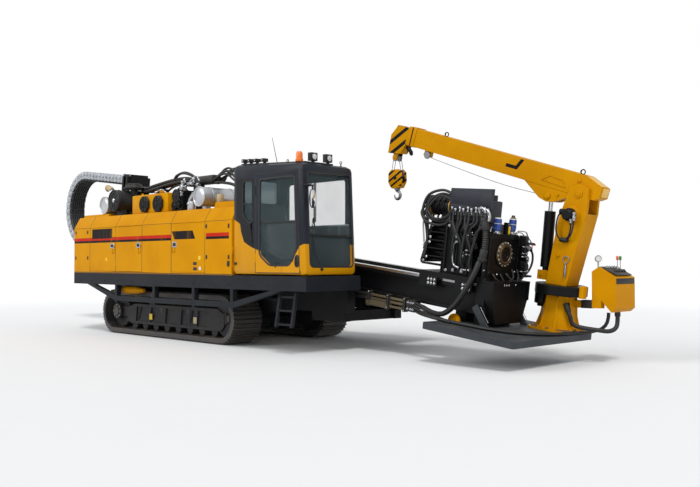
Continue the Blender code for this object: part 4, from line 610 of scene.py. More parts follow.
class Form:
    """Closed surfaces that make up one piece: points as arrays, and faces as lists of their numbers."""

    def __init__(self):
        self.points, self.faces, self.count = [], [], 0

    def grid(self, rings, caps=True):
        """Skin over sections: rings is an array of sections by points by 3, and each section is a loop."""
        rings = np.asarray(rings, float)
        n, m = rings.shape[:2]
        row = np.arange(n - 1)[:, None] * m + self.count
        col = np.arange(m)[None]
        after = (col + 1) % m
        quads = np.stack([row + col, row + after, row + m + after, row + m + col], -1)
        self.faces += quads.reshape(-1, 4).tolist()
        if caps:
            self.faces.append((np.arange(m)[::-1] + self.count).tolist())
            self.faces.append((np.arange(m) + self.count + (n - 1) * m).tolist())
        self.points.append(rings.reshape(-1, 3))
        self.count += n * m
        return self

    def turned(self, profile, place, axis, sides=32):
        """Surface of revolution: place + axis * along + radius * (u cos a + v sin a) at each angle a."""
        origin, (w, u, v) = basis(place, axis)
        along, radius = np.array(profile, float).T
        a = turns(sides)
        ring = np.cos(a)[:, None] * u + np.sin(a)[:, None] * v
        return self.grid(origin + along[:, None, None] * w + radius[:, None, None] * ring[None],
            caps=bool(radius[0] > 0))

    def slab(self, outline, low, high, axes=LEVEL, soft=0.004):
        """An outline in two axes carried along the third from low to high, its rims drawn in by soft."""
        flat = np.array(outline, float)
        before, after = np.roll(flat, 1, 0), np.roll(flat, -1, 0)
        run = after - before
        area = np.sum(flat[:, 0] * after[:, 1] - after[:, 0] * flat[:, 1])
        inward = np.stack([-run[:, 1], run[:, 0]], -1) * np.sign(area)
        inward /= np.linalg.norm(inward, axis=1)[:, None]
        steps = [(low, 1.0), (low + soft * 0.3, 0.3), (low + soft, 0.0), (high - soft, 0.0),
            (high - soft * 0.3, 0.3), (high, 1.0)]
        if soft <= 0:
            steps = [(low, 0.0), (high, 0.0)]
        rings = np.zeros((len(steps), len(flat), 3))
        for k, (level, inset) in enumerate(steps):
            rings[k, :, :2] = flat + inward * inset * soft
            rings[k, :, 2] = level
        return self.grid(axes[0] + rings @ axes[1])

    def block(self, low, high, axes=LEVEL, soft=0.006, corner=0.0):
        """A box with its upright edges rounded by corner and its rims by soft."""
        (x0, y0, z0), (x1, y1, z1) = low, high
        return self.slab(rounded_outline(x0, y0, x1, y1, max(corner, soft)), z0, z1, axes, soft)

    def bolts(self, places, axis, radius=0.012, high=0.01):
        """Hexagon heads on round washers, all from one head carried to every place."""
        origin, (w, u, v) = basis((0, 0, 0), axis)
        rows = []
        for sides, profile in ((12, ((-0.001, 1.45), (0.25, 1.45), (0.25, 1.0))),
                (6, ((0.0, 1.0), (0.85, 1.0), (1.0, 0.82)))):
            a = turns(sides)
            ring = np.cos(a)[:, None] * u + np.sin(a)[:, None] * v
            rows.append(np.array([w * level * high + ring * radius * r for level, r in profile]))
        for place in np.atleast_2d(np.array(places, float)):
            for head in rows:
                self.grid(head + place)
        return self

    def tube(self, points, radius, sides=12, step=0.02, ribs=0.0, pitch=0.03, ends=True):
        """A round profile carried along a smooth path. Ribs swell its radius as a sine of the length."""
        path = smooth_path(points, step)
        run = np.gradient(path, axis=0)
        run /= np.linalg.norm(run, axis=1)[:, None]
        side = np.zeros_like(path)
        side[0] = basis((0, 0, 0), run[0])[1][1]
        for k in range(1, len(path)):
            side[k] = unit(side[k - 1] - np.dot(side[k - 1], run[k]) * run[k])
        other = np.cross(run, side)
        length = np.concatenate([[0], np.cumsum(np.linalg.norm(np.diff(path, axis=0), axis=1))])
        size = radius * np.ones(len(path))
        if ribs:
            size = radius - ribs * 0.5 + ribs * 0.5 * np.sin(length * 2 * math.pi / pitch)
        a = turns(sides)
        ring = np.cos(a)[None, :, None] * side[:, None] + np.sin(a)[None, :, None] * other[:, None]
        self.grid(path[:, None] + size[:, None, None] * ring)
        if ends:
            for place, axis in ((path[0], run[0]), (path[-1], -run[-1])):
                self.collar(place, axis, radius)
        return self

    def boss(self, profile, place, axis, sides=32):
        """A turned profile that is closed on its axis at both ends."""
        first, last = profile[0], profile[-1]
        closing = [(last[0], 0.0)] if last[1] > 0 else []
        return self.turned([(first[0], 0.0), *profile, *closing], place, axis, sides)

    def both(self, outline, low, high, axes, soft):
        """A slab on each side of the middle plane."""
        self.slab(outline, low, high, axes, soft)
        return self.slab(outline, -high, -low, axes, soft)

    def collar(self, place, axis, radius):
        """Crimped sleeve and hexagon nut of a hose end, running forward from its place."""
        r = radius
        self.boss([(-0.2 * r, 1.25 * r), (0.1 * r, 1.3 * r), (2.4 * r, 1.3 * r), (2.7 * r, 1.15 * r)], place,
            axis, 14)
        self.boss([(-1.5 * r, 1.25 * r), (-1.3 * r, 1.42 * r), (-0.3 * r, 1.42 * r), (-0.1 * r, 1.25 * r)],
            place, axis, 6)

    def made(self, name, body, finish, replaces=(), slot=None):
        """The piece itself, riding on its body."""
        mesh = bpy.data.meshes.new(name)
        mesh.from_pydata(np.concatenate(self.points), [], self.faces)
        worked = bmesh.new()
        worked.from_mesh(mesh)
        bmesh.ops.remove_doubles(worked, verts=worked.verts, dist=0.00001)
        bmesh.ops.dissolve_degenerate(worked, edges=worked.edges, dist=0.00001)
        bmesh.ops.recalc_face_normals(worked, faces=worked.faces)
        worked.to_mesh(mesh)
        worked.free()
        mesh.materials.append(FINISHES[finish])
        sharpened(mesh)
        piece = bpy.data.objects.new(name, mesh)
        bpy.context.scene.collection.objects.link(piece)
        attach(piece, body)
        if replaces:
            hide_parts(*replaces)
        return piece


def turns(count):
    """Angles at equal steps of a whole turn."""
    return np.linspace(0, 2 * math.pi, count, endpoint=False)


def rounded_outline(x0, y0, x1, y1, radius, steps=3):
    """Rectangle with quarter-circle corners, anticlockwise."""
    a = np.linspace(0, math.pi / 2, steps + 1)
    corners = ((x1 - radius, y1 - radius, 0), (x0 + radius, y1 - radius, 1), (x0 + radius, y0 + radius, 2),
        (x1 - radius, y0 + radius, 3))
    return np.concatenate([np.stack([cx + radius * np.cos(a + q * math.pi / 2),
        cy + radius * np.sin(a + q * math.pi / 2)], -1) for cx, cy, q in corners])


def smooth_path(points, step):
    """Catmull-Rom curve through the points: each span is a cubic of its four nearest points."""
    p = np.array(points, float)
    p = np.concatenate([[2 * p[0] - p[1]], p, [2 * p[-1] - p[-2]]])
    spans = []
    for k in range(1, len(p) - 2):
        count = max(2, int(round(np.linalg.norm(p[k + 1] - p[k]) / step)))
        t = np.linspace(0, 1, count, endpoint=False)[:, None]
        a, b, c, d = p[k - 1:k + 3]
        spans.append(0.5 * (2 * b + (c - a) * t + (2 * a - 5 * b + 4 * c - d) * t ** 2
            + (3 * b - a - 3 * c + d) * t ** 3))
    return np.concatenate(spans + [p[-2:-1]])


# Solids with round faces, which get a merged copy that shades smoothly.
ROUND = ("air_cleaner", "muffler_rear", "muffler_front", "vise_ring", "spindle", "wrench",
    "drive_motor_near", "drive_motor_far", "luff_barrel", "luff_rod", "lift_barrel", "lift_rod",
    "slew_guard", "crane_column", "crane_base", "energy_chain", "beacon", "roof_lamps", "cab_seat",
    "fuel_tank", "hydraulic_tank", "head_cover", "boom_inner", "chain_bracket", "hood_box", "engine_block",
    "feed_pipes", "plate_hose")

# Solids whose edges are rounded, and by how much.
EDGED = {"cab_door": 0.004, "console": 0.012, "boom_outer": 0.006, "vise_block": 0.006,
    "carriage_frame": 0.005, "anchor_plate": 0.006, "engine_housing": 0.008, "chassis_frame": 0.006,
    "ladder": 0.003}


def carried_over(settings):
    """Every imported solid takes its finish, and round ones a smooth copy."""
    for node, finish in CAD_FINISH.items():
        NODES[node].data.materials.clear()
        NODES[node].data.materials.append(FINISHES[finish])
        if node in ROUND:
            rounded_copy(node, finish)
        elif node in EDGED:
            rounded_copy(node, finish, bevel=EDGED[node])
        elif node == "cab_shell":
            rounded_copy(node, finish, bevel=settings.cab_edge)


# Stage.

CAMERA_PLACE = (12.26, -9.6, 1.36)
CAMERA_TURN = (math.radians(91.29), 0.0, math.radians(45.2))
CAMERA_LENS = 43.4
FLOOR_REACH = 70.0
# Squared distances at which the floor starts to fade to white and has faded.
FADE = (60.0, 420.0)
# Sun lamps: name, heading, height above the horizon, angle of the disc, all in degrees.
LAMPS = (("key", 95.0, 52.0, 14.0), ("side", 20.0, 30.0, 30.0))


def stage(settings):
    """Pale floor, white surroundings for camera and mirrors, one soft key lamp and a broad fill."""
    scene = bpy.context.scene
    mesh = bpy.data.meshes.new("floor")
    r = FLOOR_REACH
    mesh.from_pydata([(-r, -r, 0), (r, -r, 0), (r, r, 0), (-r, r, 0)], [], [(0, 1, 2, 3)])
    floor = bpy.data.objects.new("floor", mesh)
    scene.collection.objects.link(floor)
    look = Finish("floor")
    at = look.place()
    grain = look.noise(2.0, 3.0, at)
    x, y, z = look.split(at)
    far = (x * x + y * y).step(*FADE)
    colour = tuple(settings.floor_colour)
    ground = look.mix(grain * 0.1, colour, tuple(v * 0.84 for v in colour))
    look.set(Base_Color=look.mix(far, ground, (1.0, 1.0, 1.0)), Roughness=0.85)
    mesh.materials.append(look.material)

    world = bpy.data.worlds.new("surroundings")
    scene.world = world
    world.use_nodes = True
    tree = world.node_tree
    tree.nodes.clear()
    out = tree.nodes.new("ShaderNodeOutputWorld")
    blend = tree.nodes.new("ShaderNodeMixShader")
    seen, light = tree.nodes.new("ShaderNodeBackground"), tree.nodes.new("ShaderNodeBackground")
    seen.inputs["Color"].default_value = (1, 1, 1, 1)
    seen.inputs["Strength"].default_value = 1.0
    light.inputs["Color"].default_value = (0.94, 0.97, 1.0, 1)
    light.inputs["Strength"].default_value = settings.fill
    rays = tree.nodes.new("ShaderNodeLightPath")
    shown = rays.outputs["Is Camera Ray"]
    for kind in ("Is Glossy Ray", "Is Transmission Ray"):
        either = tree.nodes.new("ShaderNodeMath")
        either.operation = "MAXIMUM"
        tree.links.new(shown, either.inputs[0])
        tree.links.new(rays.outputs[kind], either.inputs[1])
        shown = either.outputs[0]
    tree.links.new(shown, blend.inputs[0])
    tree.links.new(light.outputs[0], blend.inputs[1])
    tree.links.new(seen.outputs[0], blend.inputs[2])
    tree.links.new(blend.outputs[0], out.inputs[0])

    for name, heading, height, spread in LAMPS:
        lamp = bpy.data.lights.new(name, "SUN")
        lamp.energy = getattr(settings, name)
        lamp.angle = math.radians(spread)
        shone = bpy.data.objects.new(name, lamp)
        shone.rotation_euler = (math.radians(90.0 - height), 0.0, math.radians(heading - 45.0))
        scene.collection.objects.link(shone)

    lens = bpy.data.cameras.new("camera")
    lens.lens = CAMERA_LENS
    lens.clip_end = 200.0
    camera = bpy.data.objects.new("camera", lens)
    camera.location = CAMERA_PLACE
    camera.rotation_euler = CAMERA_TURN
    scene.collection.objects.link(camera)
    scene.camera = camera
    scene.view_settings.view_transform = "Standard"


# Engine housing, cab and chassis.

SIDE = -1.6
SIDE_AXES = (SIDE * Y, SIDE_ON)
# Latches: along, height, door. Fasteners: along, height. Seams: along.
LATCHES = ((-2.142, 1.672, "engine_door_rear"), (-1.207, 1.671, "engine_door_middle"),
           (-0.037, 1.665, "engine_door_front"))
FASTENERS = ((-3.57, 1.95), (-3.09, 1.95), (-3.57, 1.45), (-3.08, 1.45),
             (0.89, 1.95), (1.494, 1.94), (0.896, 1.45), (1.494, 1.447))
SEAMS = (-2.99, -2.01, -1.08, -0.14, 0.85)


def oval(x, y, wide, high, points=20):
    """Superellipse of power 3: x = a sign(cos t) |cos t|^(2/3), and the same of sin t for y."""
    t = turns(points)
    c, s = np.cos(t), np.sin(t)
    return np.stack([x + wide / 2 * np.sign(c) * np.abs(c) ** (2 / 3),
        y + high / 2 * np.sign(s) * np.abs(s) ** (2 / 3)], -1)


def housing_trim(settings):
    """Seams, fasteners, latches, hinges and the small bare plates on the housing's side."""
    seams = Form()
    half = settings.seam / 2
    for x in SEAMS:
        seams.slab([(x - half, 1.165), (x + half, 1.165), (x + half, 2.03), (x - half, 2.03)], -0.004,
            0.0015, SIDE_AXES, 0.0)
    for x0, x1 in ((-3.63, -2.99), (-2.01, -2.0), (-1.08, -0.14), (0.85, 1.56)):
        seams.slab([(x0, 2.028), (x1, 2.028), (x1, 2.033), (x0, 2.033)], -0.004, 0.0015, SIDE_AXES, 0.0)
    seams.slab([(-3.63, 1.168), (1.56, 1.168), (1.56, 1.178), (-3.63, 1.178)], -0.004, 0.002, SIDE_AXES, 0.0)
    for x in SEAMS:
        shoulder = [(x - half, SIDE, 2.04), (x + half, SIDE, 2.04), (x + half, SIDE + 0.12, 2.25),
            (x - half, SIDE + 0.12, 2.25)]
        out = unit(np.array((0.0, -0.21, 0.12))) * 0.0015
        seams.grid([np.array(shoulder) - out * 2, np.array(shoulder) + out])
    seams.made("housing_seams", "chassis", "plastic_black")
    caps = Form()
    for x, z in FASTENERS:
        caps.slab(oval(x, z, 0.04, 0.07), -0.002, 0.007, SIDE_AXES, 0.003)
        caps.bolts([(x, SIDE - 0.007, z)], -Y, 0.007, 0.003)
    caps.made("housing_fasteners", "chassis", "plastic_black")
    for x, z, door in LATCHES:
        plate = Form().slab(rounded_outline(x - 0.065, z - 0.05, x + 0.065, z + 0.05, 0.012), -0.002, 0.005,
            SIDE_AXES, 0.003)
        plate.bolts([(x + dx, SIDE - 0.005, z + dz) for dx in (-0.052, 0.052) for dz in (-0.038, 0.038)], -Y,
            0.006, 0.003)
        plate.made(door + "_latch", door, "bright_steel")
        slot = Form().slab(rounded_outline(x - 0.042, z - 0.028, x + 0.042, z + 0.028, 0.01), 0.004, 0.0075,
            SIDE_AXES, 0.002)
        slot.slab(rounded_outline(x - 0.034, z - 0.006, x + 0.03, z + 0.016, 0.006), 0.007, 0.016, SIDE_AXES,
            0.003)
        slot.boss([(0.0, 0.008), (0.009, 0.008), (0.01, 0.006)], (x + 0.02, SIDE - 0.007, z - 0.015), -Y, 12)
        slot.made(door + "_paddle", door, "plastic_black")
    for door, x in (("engine_door_rear", -2.988), ("engine_door_middle", -2.008),
            ("engine_door_front", 0.848)):
        hinge = Form()
        for z in (1.34, 1.88):
            hinge.boss([(0.0, 0.006), (0.003, 0.008), (0.077, 0.008), (0.08, 0.006)], (x, SIDE, z - 0.04), Z,
                12)
        hinge.made(door + "_hinges", door, "housing_yellow")
    for name, finish, spots in (("small_plates_dark", "plastic_black", ((0.571, 1.343, 0.1, 0.05),
            (0.574, 1.256, 0.1, 0.05))), ("small_plates_white", "white_plate",
            ((0.716, 1.262, 0.05, 0.06),)), ("small_plates_yellow", "warning_yellow",
            ((0.702, 1.434, 0.06, 0.07), (-2.35, 1.42, 0.05, 0.06)))):
        form = Form()
        for x, z, wide, high in spots:
            form.slab(rounded_outline(x - wide / 2, z - high / 2, x + wide / 2, z + high / 2, 0.006), -0.001,
                0.003, SIDE_AXES, 0.001)
        form.made(name, "engine_door_front" if spots[0][0] > 0 else "chassis", finish)


def frame_of(name, body, finish, ring, wide, low, high, axes):
    """A band of constant width along a closed outline, with a rounded section."""
    flat = np.array(ring, float)
    before, after = np.roll(flat, 1, 0), np.roll(flat, -1, 0)
    run = (after - before) / np.linalg.norm(after - before, axis=1)[:, None]
    area = np.sum(flat[:, 0] * after[:, 1] - after[:, 0] * flat[:, 1])
    outward = np.stack([run[:, 1], -run[:, 0]], -1) * np.sign(area)
    edge = min(0.004, (high - low) / 2)
    section = ((0.0, low), (0.0, high - edge), (edge, high), (wide - edge, high), (wide, high - edge),
        (wide, low))
    rings = np.zeros((len(flat) + 1, len(section), 3))
    for k, (out, level) in enumerate(section):
        line = flat + outward * out
        rings[:, k, :2] = np.concatenate([line, line[:1]])
        rings[:, k, 2] = level
    form = Form()
    form.grid(axes[0] + rings @ axes[1], caps=False)
    return form.made(name, body, finish)


def along_loop(line, shares):
    """Points at equal shares of a closed outline's length, from the point most to the left and up."""
    line = np.roll(line, -int(np.argmax(line[:, 1] - line[:, 0])), 0)
    closed = np.concatenate([line, line[:1]])
    run = np.concatenate([[0], np.cumsum(np.linalg.norm(np.diff(closed, axis=0), axis=1))])
    return np.stack([np.interp(shares * run[-1], run, closed[:, k]) for k in (0, 1)], -1)


def rounded_polygon(corners, radius, steps=4):
    """Polygon whose every corner is a quadratic curve between points a radius away along its sides."""
    flat = np.array(corners, float)
    before, after = np.roll(flat, 1, 0), np.roll(flat, -1, 0)
    start = flat + (before - flat) / np.linalg.norm(before - flat, axis=1)[:, None] * radius
    end = flat + (after - flat) / np.linalg.norm(after - flat, axis=1)[:, None] * radius
    t = np.linspace(0, 1, steps + 1)[None, :, None]
    curve = (1 - t) ** 2 * start[:, None] + 2 * t * (1 - t) * flat[:, None] + t ** 2 * end[:, None]
    return curve.reshape(-1, 2)


# Outlines of the cab's windows and panel, along and height, and the windscreen's leaning frame.
QUARTER_WINDOW = ((1.872, 2.6), (2.08, 2.6), (2.08, 1.96), (2.045, 1.955), (1.872, 2.09))
QUARTER_PANEL = ((1.69, 2.65), (2.11, 2.65), (2.11, 1.59), (1.99, 1.625), (1.89, 1.68), (1.835, 1.8),
                 (1.8, 1.96), (1.69, 2.03))
CAB_LEAN_ANGLE = math.atan2(0.08, 2.8 - 1.1603)
FRONT_AXES = (np.array([3.32, 0.0, 1.1603]),
              np.array([-Y, (-math.sin(CAB_LEAN_ANGLE), 0.0, math.cos(CAB_LEAN_ANGLE)),
                        (math.cos(CAB_LEAN_ANGLE), 0.0, math.sin(CAB_LEAN_ANGLE))]))
DOOR_WINDOW = ((2.27, 1.48), (2.5, 1.33), (2.95, 1.33), (3.09, 1.55), (3.05, 2.6), (2.27, 2.6))


def cab_trim(settings):
    """Window gaskets, bars, door handle, locks, wiper, handrails, aerial and the inside of the cab."""
    frame_of("door_gasket", "cab_door", "rubber", rounded_polygon(DOOR_WINDOW, 0.06), 0.028, -0.004, 0.004,
        SIDE_AXES)
    quarter = rounded_polygon(QUARTER_WINDOW, 0.05)
    frame_of("quarter_gasket", "chassis", "rubber", quarter, 0.018, -0.002, 0.007, SIDE_AXES)
    Form().slab([(1.7, 1.6), (2.1, 1.6), (2.1, 1.955), (2.045, 1.955), (1.872, 2.09), (1.872, 2.64),
        (1.7, 2.64)], -0.03, 0.0008, SIDE_AXES, 0.0).made("quarter_fill", "chassis", "cab_grey")
    panel = Form()
    edge = rounded_polygon(QUARTER_PANEL, 0.03)
    turn = np.linspace(0, 1, 72, endpoint=False)
    rings = []
    for line, level in ((edge, -0.004), (edge, 0.002), (quarter, 0.003), (quarter, -0.012)):
        flat = along_loop(line, turn)
        rings.append(SIDE_AXES[0] + np.concatenate([flat, np.full((72, 1), level)], -1) @ SIDE_AXES[1])
    panel.grid(rings, caps=False)
    panel.made("quarter_panel", "chassis", "panel_black")
    frame_of("windscreen_gasket", "chassis", "rubber", rounded_outline(0.66, 0.145, 1.5, 1.505, 0.05, 5),
        0.022, -0.004, 0.005, FRONT_AXES)
    far_axes = (np.array([0.0, -0.56, 0.0]), np.array([X, Z, Y]))
    frame_of("far_gasket", "chassis", "rubber", rounded_outline(1.75, 1.62, 3.1, 2.62, 0.05, 5), 0.026,
        -0.004, 0.004, far_axes)
    seam = Form()
    outer = np.array(((2.167, 1.207), (3.183, 1.207), (3.11, 2.698), (2.167, 2.698)))
    for (x0, z0), (x1, z1) in zip(outer, np.roll(outer, -1, 0)):
        run = unit((x1 - x0, z1 - z0))
        across = np.array([-run[1], run[0]]) * 0.005
        a, b = np.array((x0, z0)), np.array((x1, z1))
        seam.slab([a - across, b - across, b + across, a + across], -0.004, 0.0015, SIDE_AXES, 0.0)
    seam.made("cab_door_seam", "chassis", "rubber")
    Form().slab(rounded_outline(2.275, 1.947, 3.075, 1.973, 0.004), -0.024, -0.006, SIDE_AXES,
        0.003).made("door_bar", "cab_door", "plastic_black")
    Form().slab(rounded_outline(0.665, 0.585, 1.495, 0.612, 0.004), -0.028, -0.004, FRONT_AXES,
        0.003).made("windscreen_bar", "chassis", "plastic_black")
    # Lining inside the cab; its pale upper part is a painted reflection seen through the windows.
    inner = Form()
    inner.block((2.4, -0.625, 2.0), (2.45, -0.605, 2.62), soft=0.004)
    inner.block((1.68, -0.62, 1.22), (3.2, -0.612, 1.94), soft=0.003)
    inner.block((1.64, -1.54, 1.22), (1.66, -0.62, 1.98), soft=0.003)
    inner.block((2.52, -1.53, 1.25), (3.15, -0.63, 1.258), soft=0.002)
    inner.made("cab_lining", "chassis", "lining")
    Form().slab(rounded_outline(0.66, -0.06, 1.5, 0.595, 0.05), -0.075, -0.055, FRONT_AXES,
        0.004).made("dash_panel", "chassis", "panel_black")
    Form().slab([(2.3, 1.95), (3.1, 1.95), (3.1, 1.6), (3.0, 1.41), (2.71, 1.41), (2.3, 1.57)], -0.05,
        -0.038, SIDE_AXES, 0.003).made("door_panel", "cab_door", "panel_black")
    # Painted light: a pale pane on the rear wall in place of the bright view through the rear window.
    back = Form()
    for x0, x1 in ((-0.004, 0.004), (0.054, 0.062)):
        back.slab(rounded_outline(-1.42, 2.31, -0.74, 2.66, 0.05, 4), 1.574 + x0, 1.574 + x1, END_ON, 0.002)
    back.made("rear_pane", "chassis", "pane_pale")
    face = Form().slab(oval(1.525, 2.27, 0.098, 0.25, 32), 0.0, 0.006,
        (np.array([3.381, 0, 0]), np.array([-Y, Z, X])), 0.003)
    face.made("mirror_face", "chassis", "chrome")
    arm = Form().tube([(3.2, -1.56, 2.47), (3.3, -1.555, 2.475), (3.36, -1.54, 2.47), (3.372, -1.525, 2.42),
        (3.37, -1.525, 2.37)], 0.009, 10, ends=False)
    arm.block((3.18, -1.585, 2.44), (3.22, -1.545, 2.5), soft=0.006)
    arm.made("mirror_arm", "chassis", "plastic_black")
    handle = Form()
    handle.slab(oval(3.125, 1.38, 0.1, 0.18), -0.002, 0.008, SIDE_AXES, 0.004)
    handle.tube([(3.105, SIDE - 0.006, 1.32), (3.105, SIDE - 0.022, 1.335), (3.105, SIDE - 0.022, 1.42),
        (3.105, SIDE - 0.006, 1.435)], 0.008, 8, ends=False)
    handle.boss([(0.0, 0.016), (0.006, 0.016), (0.007, 0.013)], (3.145, SIDE - 0.006, 1.38), -Y, 16)
    handle.made("cab_door_handle", "cab_door", "plastic_black")
    hinge = Form()
    for z in (1.43, 2.45):
        hinge.boss([(0.0, 0.008), (0.003, 0.01), (0.137, 0.01), (0.14, 0.008)], (2.165, SIDE, z - 0.07), Z,
            14)
    hinge.made("cab_hinges", "cab_door", "cab_grey")
    catches = Form()
    for x, z, wide, high in ((1.491, 1.344, 0.055, 0.085), (1.68, 1.344, 0.06, 0.04),
            (2.644, 1.345, 0.022, 0.022), (2.644, 1.298, 0.022, 0.022)):
        catches.slab(rounded_outline(x - wide / 2, z - high / 2, x + wide / 2, z + high / 2, 0.01), -0.002,
            0.014, SIDE_AXES, 0.004)
    catches.made("cab_catches", "chassis", "plastic_black")
    rail = Form()
    rail.tube([(1.64, SIDE - 0.004, 1.3), (1.64, SIDE - 0.045, 1.32), (1.64, SIDE - 0.045, 1.56),
        (1.64, SIDE - 0.004, 1.58)], 0.01, 8, ends=False)
    rail.made("cab_handrail", "chassis", "yellow")
    wiper = Form()
    foot = FRONT_AXES[0] + np.array((1.3, 0.1, 0.012)) @ FRONT_AXES[1]
    tip = FRONT_AXES[0] + np.array((1.44, 0.5, 0.02)) @ FRONT_AXES[1]
    bend = FRONT_AXES[0] + np.array((1.4, 0.28, 0.034)) @ FRONT_AXES[1]
    wiper.tube([foot, bend, tip], 0.006, 8, ends=False)
    blade = [FRONT_AXES[0] + np.array((1.45 + dx, 0.52 + dz, 0.01)) @ FRONT_AXES[1]
        for dx, dz in ((-0.01, -0.24), (0.0, 0.0), (0.01, 0.24))]
    wiper.tube(blade, 0.007, 6, ends=False)
    wiper.boss([(-0.01, 0.022), (0.016, 0.02), (0.02, 0.012)], foot, X, 14)
    wiper.made("wiper", "chassis", "plastic_black")
    inside = Form()
    inside.block((3.02, -1.42, 1.23), (3.16, -0.72, 1.62), soft=0.02, corner=0.03)
    inside.tube([(3.0, -1.08, 1.4), (2.92, -1.08, 1.72), (2.86, -1.08, 1.86)], 0.035, 12, ends=False)
    for y in (-1.36, -0.8):
        inside.block((2.3, y - 0.07, 1.65), (2.68, y + 0.07, 1.82), soft=0.02, corner=0.03)
        inside.tube([(2.6, y, 1.8), (2.62, y, 1.92), (2.6, y, 1.99)], 0.012, 8, ends=False)
        inside.turned([(0.0, 0.0), (0.01, 0.02), (0.05, 0.024), (0.09, 0.015), (0.095, 0.0)], (2.6, y, 1.96),
            Z, 12)
    inside.made("cab_controls", "chassis", "plastic_black")
    whip = Form()
    whip.boss([(0.0, 0.018), (0.03, 0.014), (0.05, 0.006), (settings.aerial, 0.0035),
        (settings.aerial + 0.005, 0.0)], (1.98, -1.0, 2.872), (-0.3, 0.0, 1.0), 8)
    for place in ((2.566, -1.3, 2.835), (3.1, -0.7, 2.808)):
        whip.boss([(0.0, 0.02), (0.012, 0.018), (0.014, 0.009), (0.045, 0.009), (0.05, 0.0)], place, Z, 12)
        turn = np.linspace(0, 2 * math.pi, 9)
        whip.tube(np.array(place) + np.stack([0.02 * np.cos(turn), 0 * turn, 0.062 + 0.02 * np.sin(turn)],
            -1), 0.006, 8, 0.02, ends=False)
    whip.made("aerial", "chassis", "plastic_black")


# Roof lamps: along, across, width, height.
ROOF_LAMPS = ((1.72, -1.45, 0.09, 0.05), (1.87, -1.45, 0.09, 0.05), (2.02, -1.45, 0.09, 0.05),
              (2.2, -1.45, 0.09, 0.05), (3.11, -1.28, 0.13, 0.12), (3.11, -0.98, 0.13, 0.12))


def lamp_faces():
    """Lenses in front of the roof lamps, with their rims."""
    rims, lenses = Form(), Form()
    for x, y, wide, tall in ROOF_LAMPS:
        front = x > 3.0
        axis = X if front else -Y
        z = 2.8 + 0.095 * (3.32 - x) / (3.32 - 1.574) + 0.01 + 0.03 + tall / 2
        place = np.array((x + 0.03, y, z)) if front else np.array((x, y - wide / 2, z))
        r = tall / 2 - (0.004 if front else 0.0)
        rims.boss([(-0.002, r), (0.01, r), (0.012, r - 0.004), (0.012, r - 0.01), (0.004, r - 0.012)], place,
            axis, 20)
        lenses.boss([(0.004, r - 0.011), (0.009, r - 0.013), (0.013, r * 0.4), (0.014, 0.0)], place, axis,
            20)
    rims.made("lamp_rims", "chassis", "plastic_black")
    lenses.made("lamp_lenses", "chassis", "lamp_glass")


def undercarriage_trim():
    """Bolts on drive covers and truss, hub caps, bare plates on the side frames, a tank, webs, gussets."""
    bolts, rim = Form(), Form()
    for side in (-1, 1):
        face = side * 1.22
        a = turns(8)
        spots = np.stack([-2.62 + 0.118 * np.cos(a), np.full(8, face), 0.42 + 0.118 * np.sin(a)], -1)
        bolts.bolts(spots, side * Y, 0.013, 0.01)
        rim.boss([(-0.002, 0.085), (0.016, 0.08), (0.02, 0.06), (0.012, 0.052)], (-2.62, face, 0.42),
            side * Y, 28)
        rim.boss([(-0.002, 0.07), (0.014, 0.066), (0.02, 0.04)], (0.84, side * 1.128, 0.42), side * Y, 24)
    bolts.made("drive_bolts", "chassis", "steel")
    rim.made("hub_caps", "chassis", "track_steel")
    for name, finish, x in (("frame_plate_yellow", "warning_yellow", -1.473),
            ("frame_plate_pale", "beige", -0.045)):
        Form().slab(rounded_outline(x - 0.05, 0.3, x + 0.05, 0.41, 0.006), -0.432, -0.428, SIDE_AXES,
            0.001).made(name, "chassis", finish)
    deck = Form()
    for side in (-1, 1):
        deck.bolts([(x, side * 1.6, 1.02) for x in np.arange(-3.4, 3.2, 0.49)], side * Y, 0.012, 0.008)
    deck.made("deck_bolts", "chassis", "frame_grey")
    tank = Form()
    tank.boss([(0.0, 0.06), (0.012, 0.072), (0.42, 0.072), (0.7, 0.03), (0.71, 0.0)], (-2.02, -1.4, 0.848),
        X, 24)
    tank.made("truss_tank", "chassis", "yellow")
    web = Form()
    for y in (-0.66, 0.66):
        web.slab(rounded_outline(-3.2, 0.52, 1.6, 0.955, 0.05), -y - 0.012, -y + 0.012,
            (np.zeros(3), SIDE_AXES[1]), 0.003)
        for k in range(3):
            web.tube([(-3.3, y * 1.12, 0.9 - 0.05 * k), (-2.4, y * 1.15, 0.86 - 0.05 * k),
                (-1.2, y * 1.12, 0.9 - 0.04 * k), (0.2, y * 1.15, 0.87 - 0.05 * k),
                (1.5, y * 1.1, 0.9 - 0.05 * k)], 0.022, 8, 0.08)
    web.made("belly_web", "chassis", "panel_black")
    fans = Form()
    for side in (-1, 1):
        for x in (-1.95, -1.1, -0.25, 0.55):
            fans.slab([(x - 0.13, 0.545), (x + 0.13, 0.545), (x + 0.012, 0.285), (x - 0.012, 0.285)], 1.125,
                1.142, (np.zeros(3), np.array([X, Z, side * Y])), 0.003)
    fans.made("frame_gussets", "chassis", "panel_black")


class DRILL_OT_housing(bpy.types.Operator):
    """Seams, latches, hinges and plates of the engine housing"""
    bl_idname = "drill.housing"
    bl_label = "Housing trim"

    def execute(self, context):
        housing_trim(context.scene.drill_trim)
        return {"FINISHED"}


class DRILL_OT_cab(bpy.types.Operator):
    """Gaskets, handles, lamps and fittings of the cab"""
    bl_idname = "drill.cab"
    bl_label = "Cab trim"

    def execute(self, context):
        cab_trim(context.scene.drill_trim)
        lamp_faces()
        return {"FINISHED"}


class DRILL_OT_undercarriage(bpy.types.Operator):
    """Bolts, hub caps and plates below the deck"""
    bl_idname = "drill.undercarriage"
    bl_label = "Undercarriage trim"

    def execute(self, context):
        undercarriage_trim()
        return {"FINISHED"}


# On the housing's roof, and the energy chain.

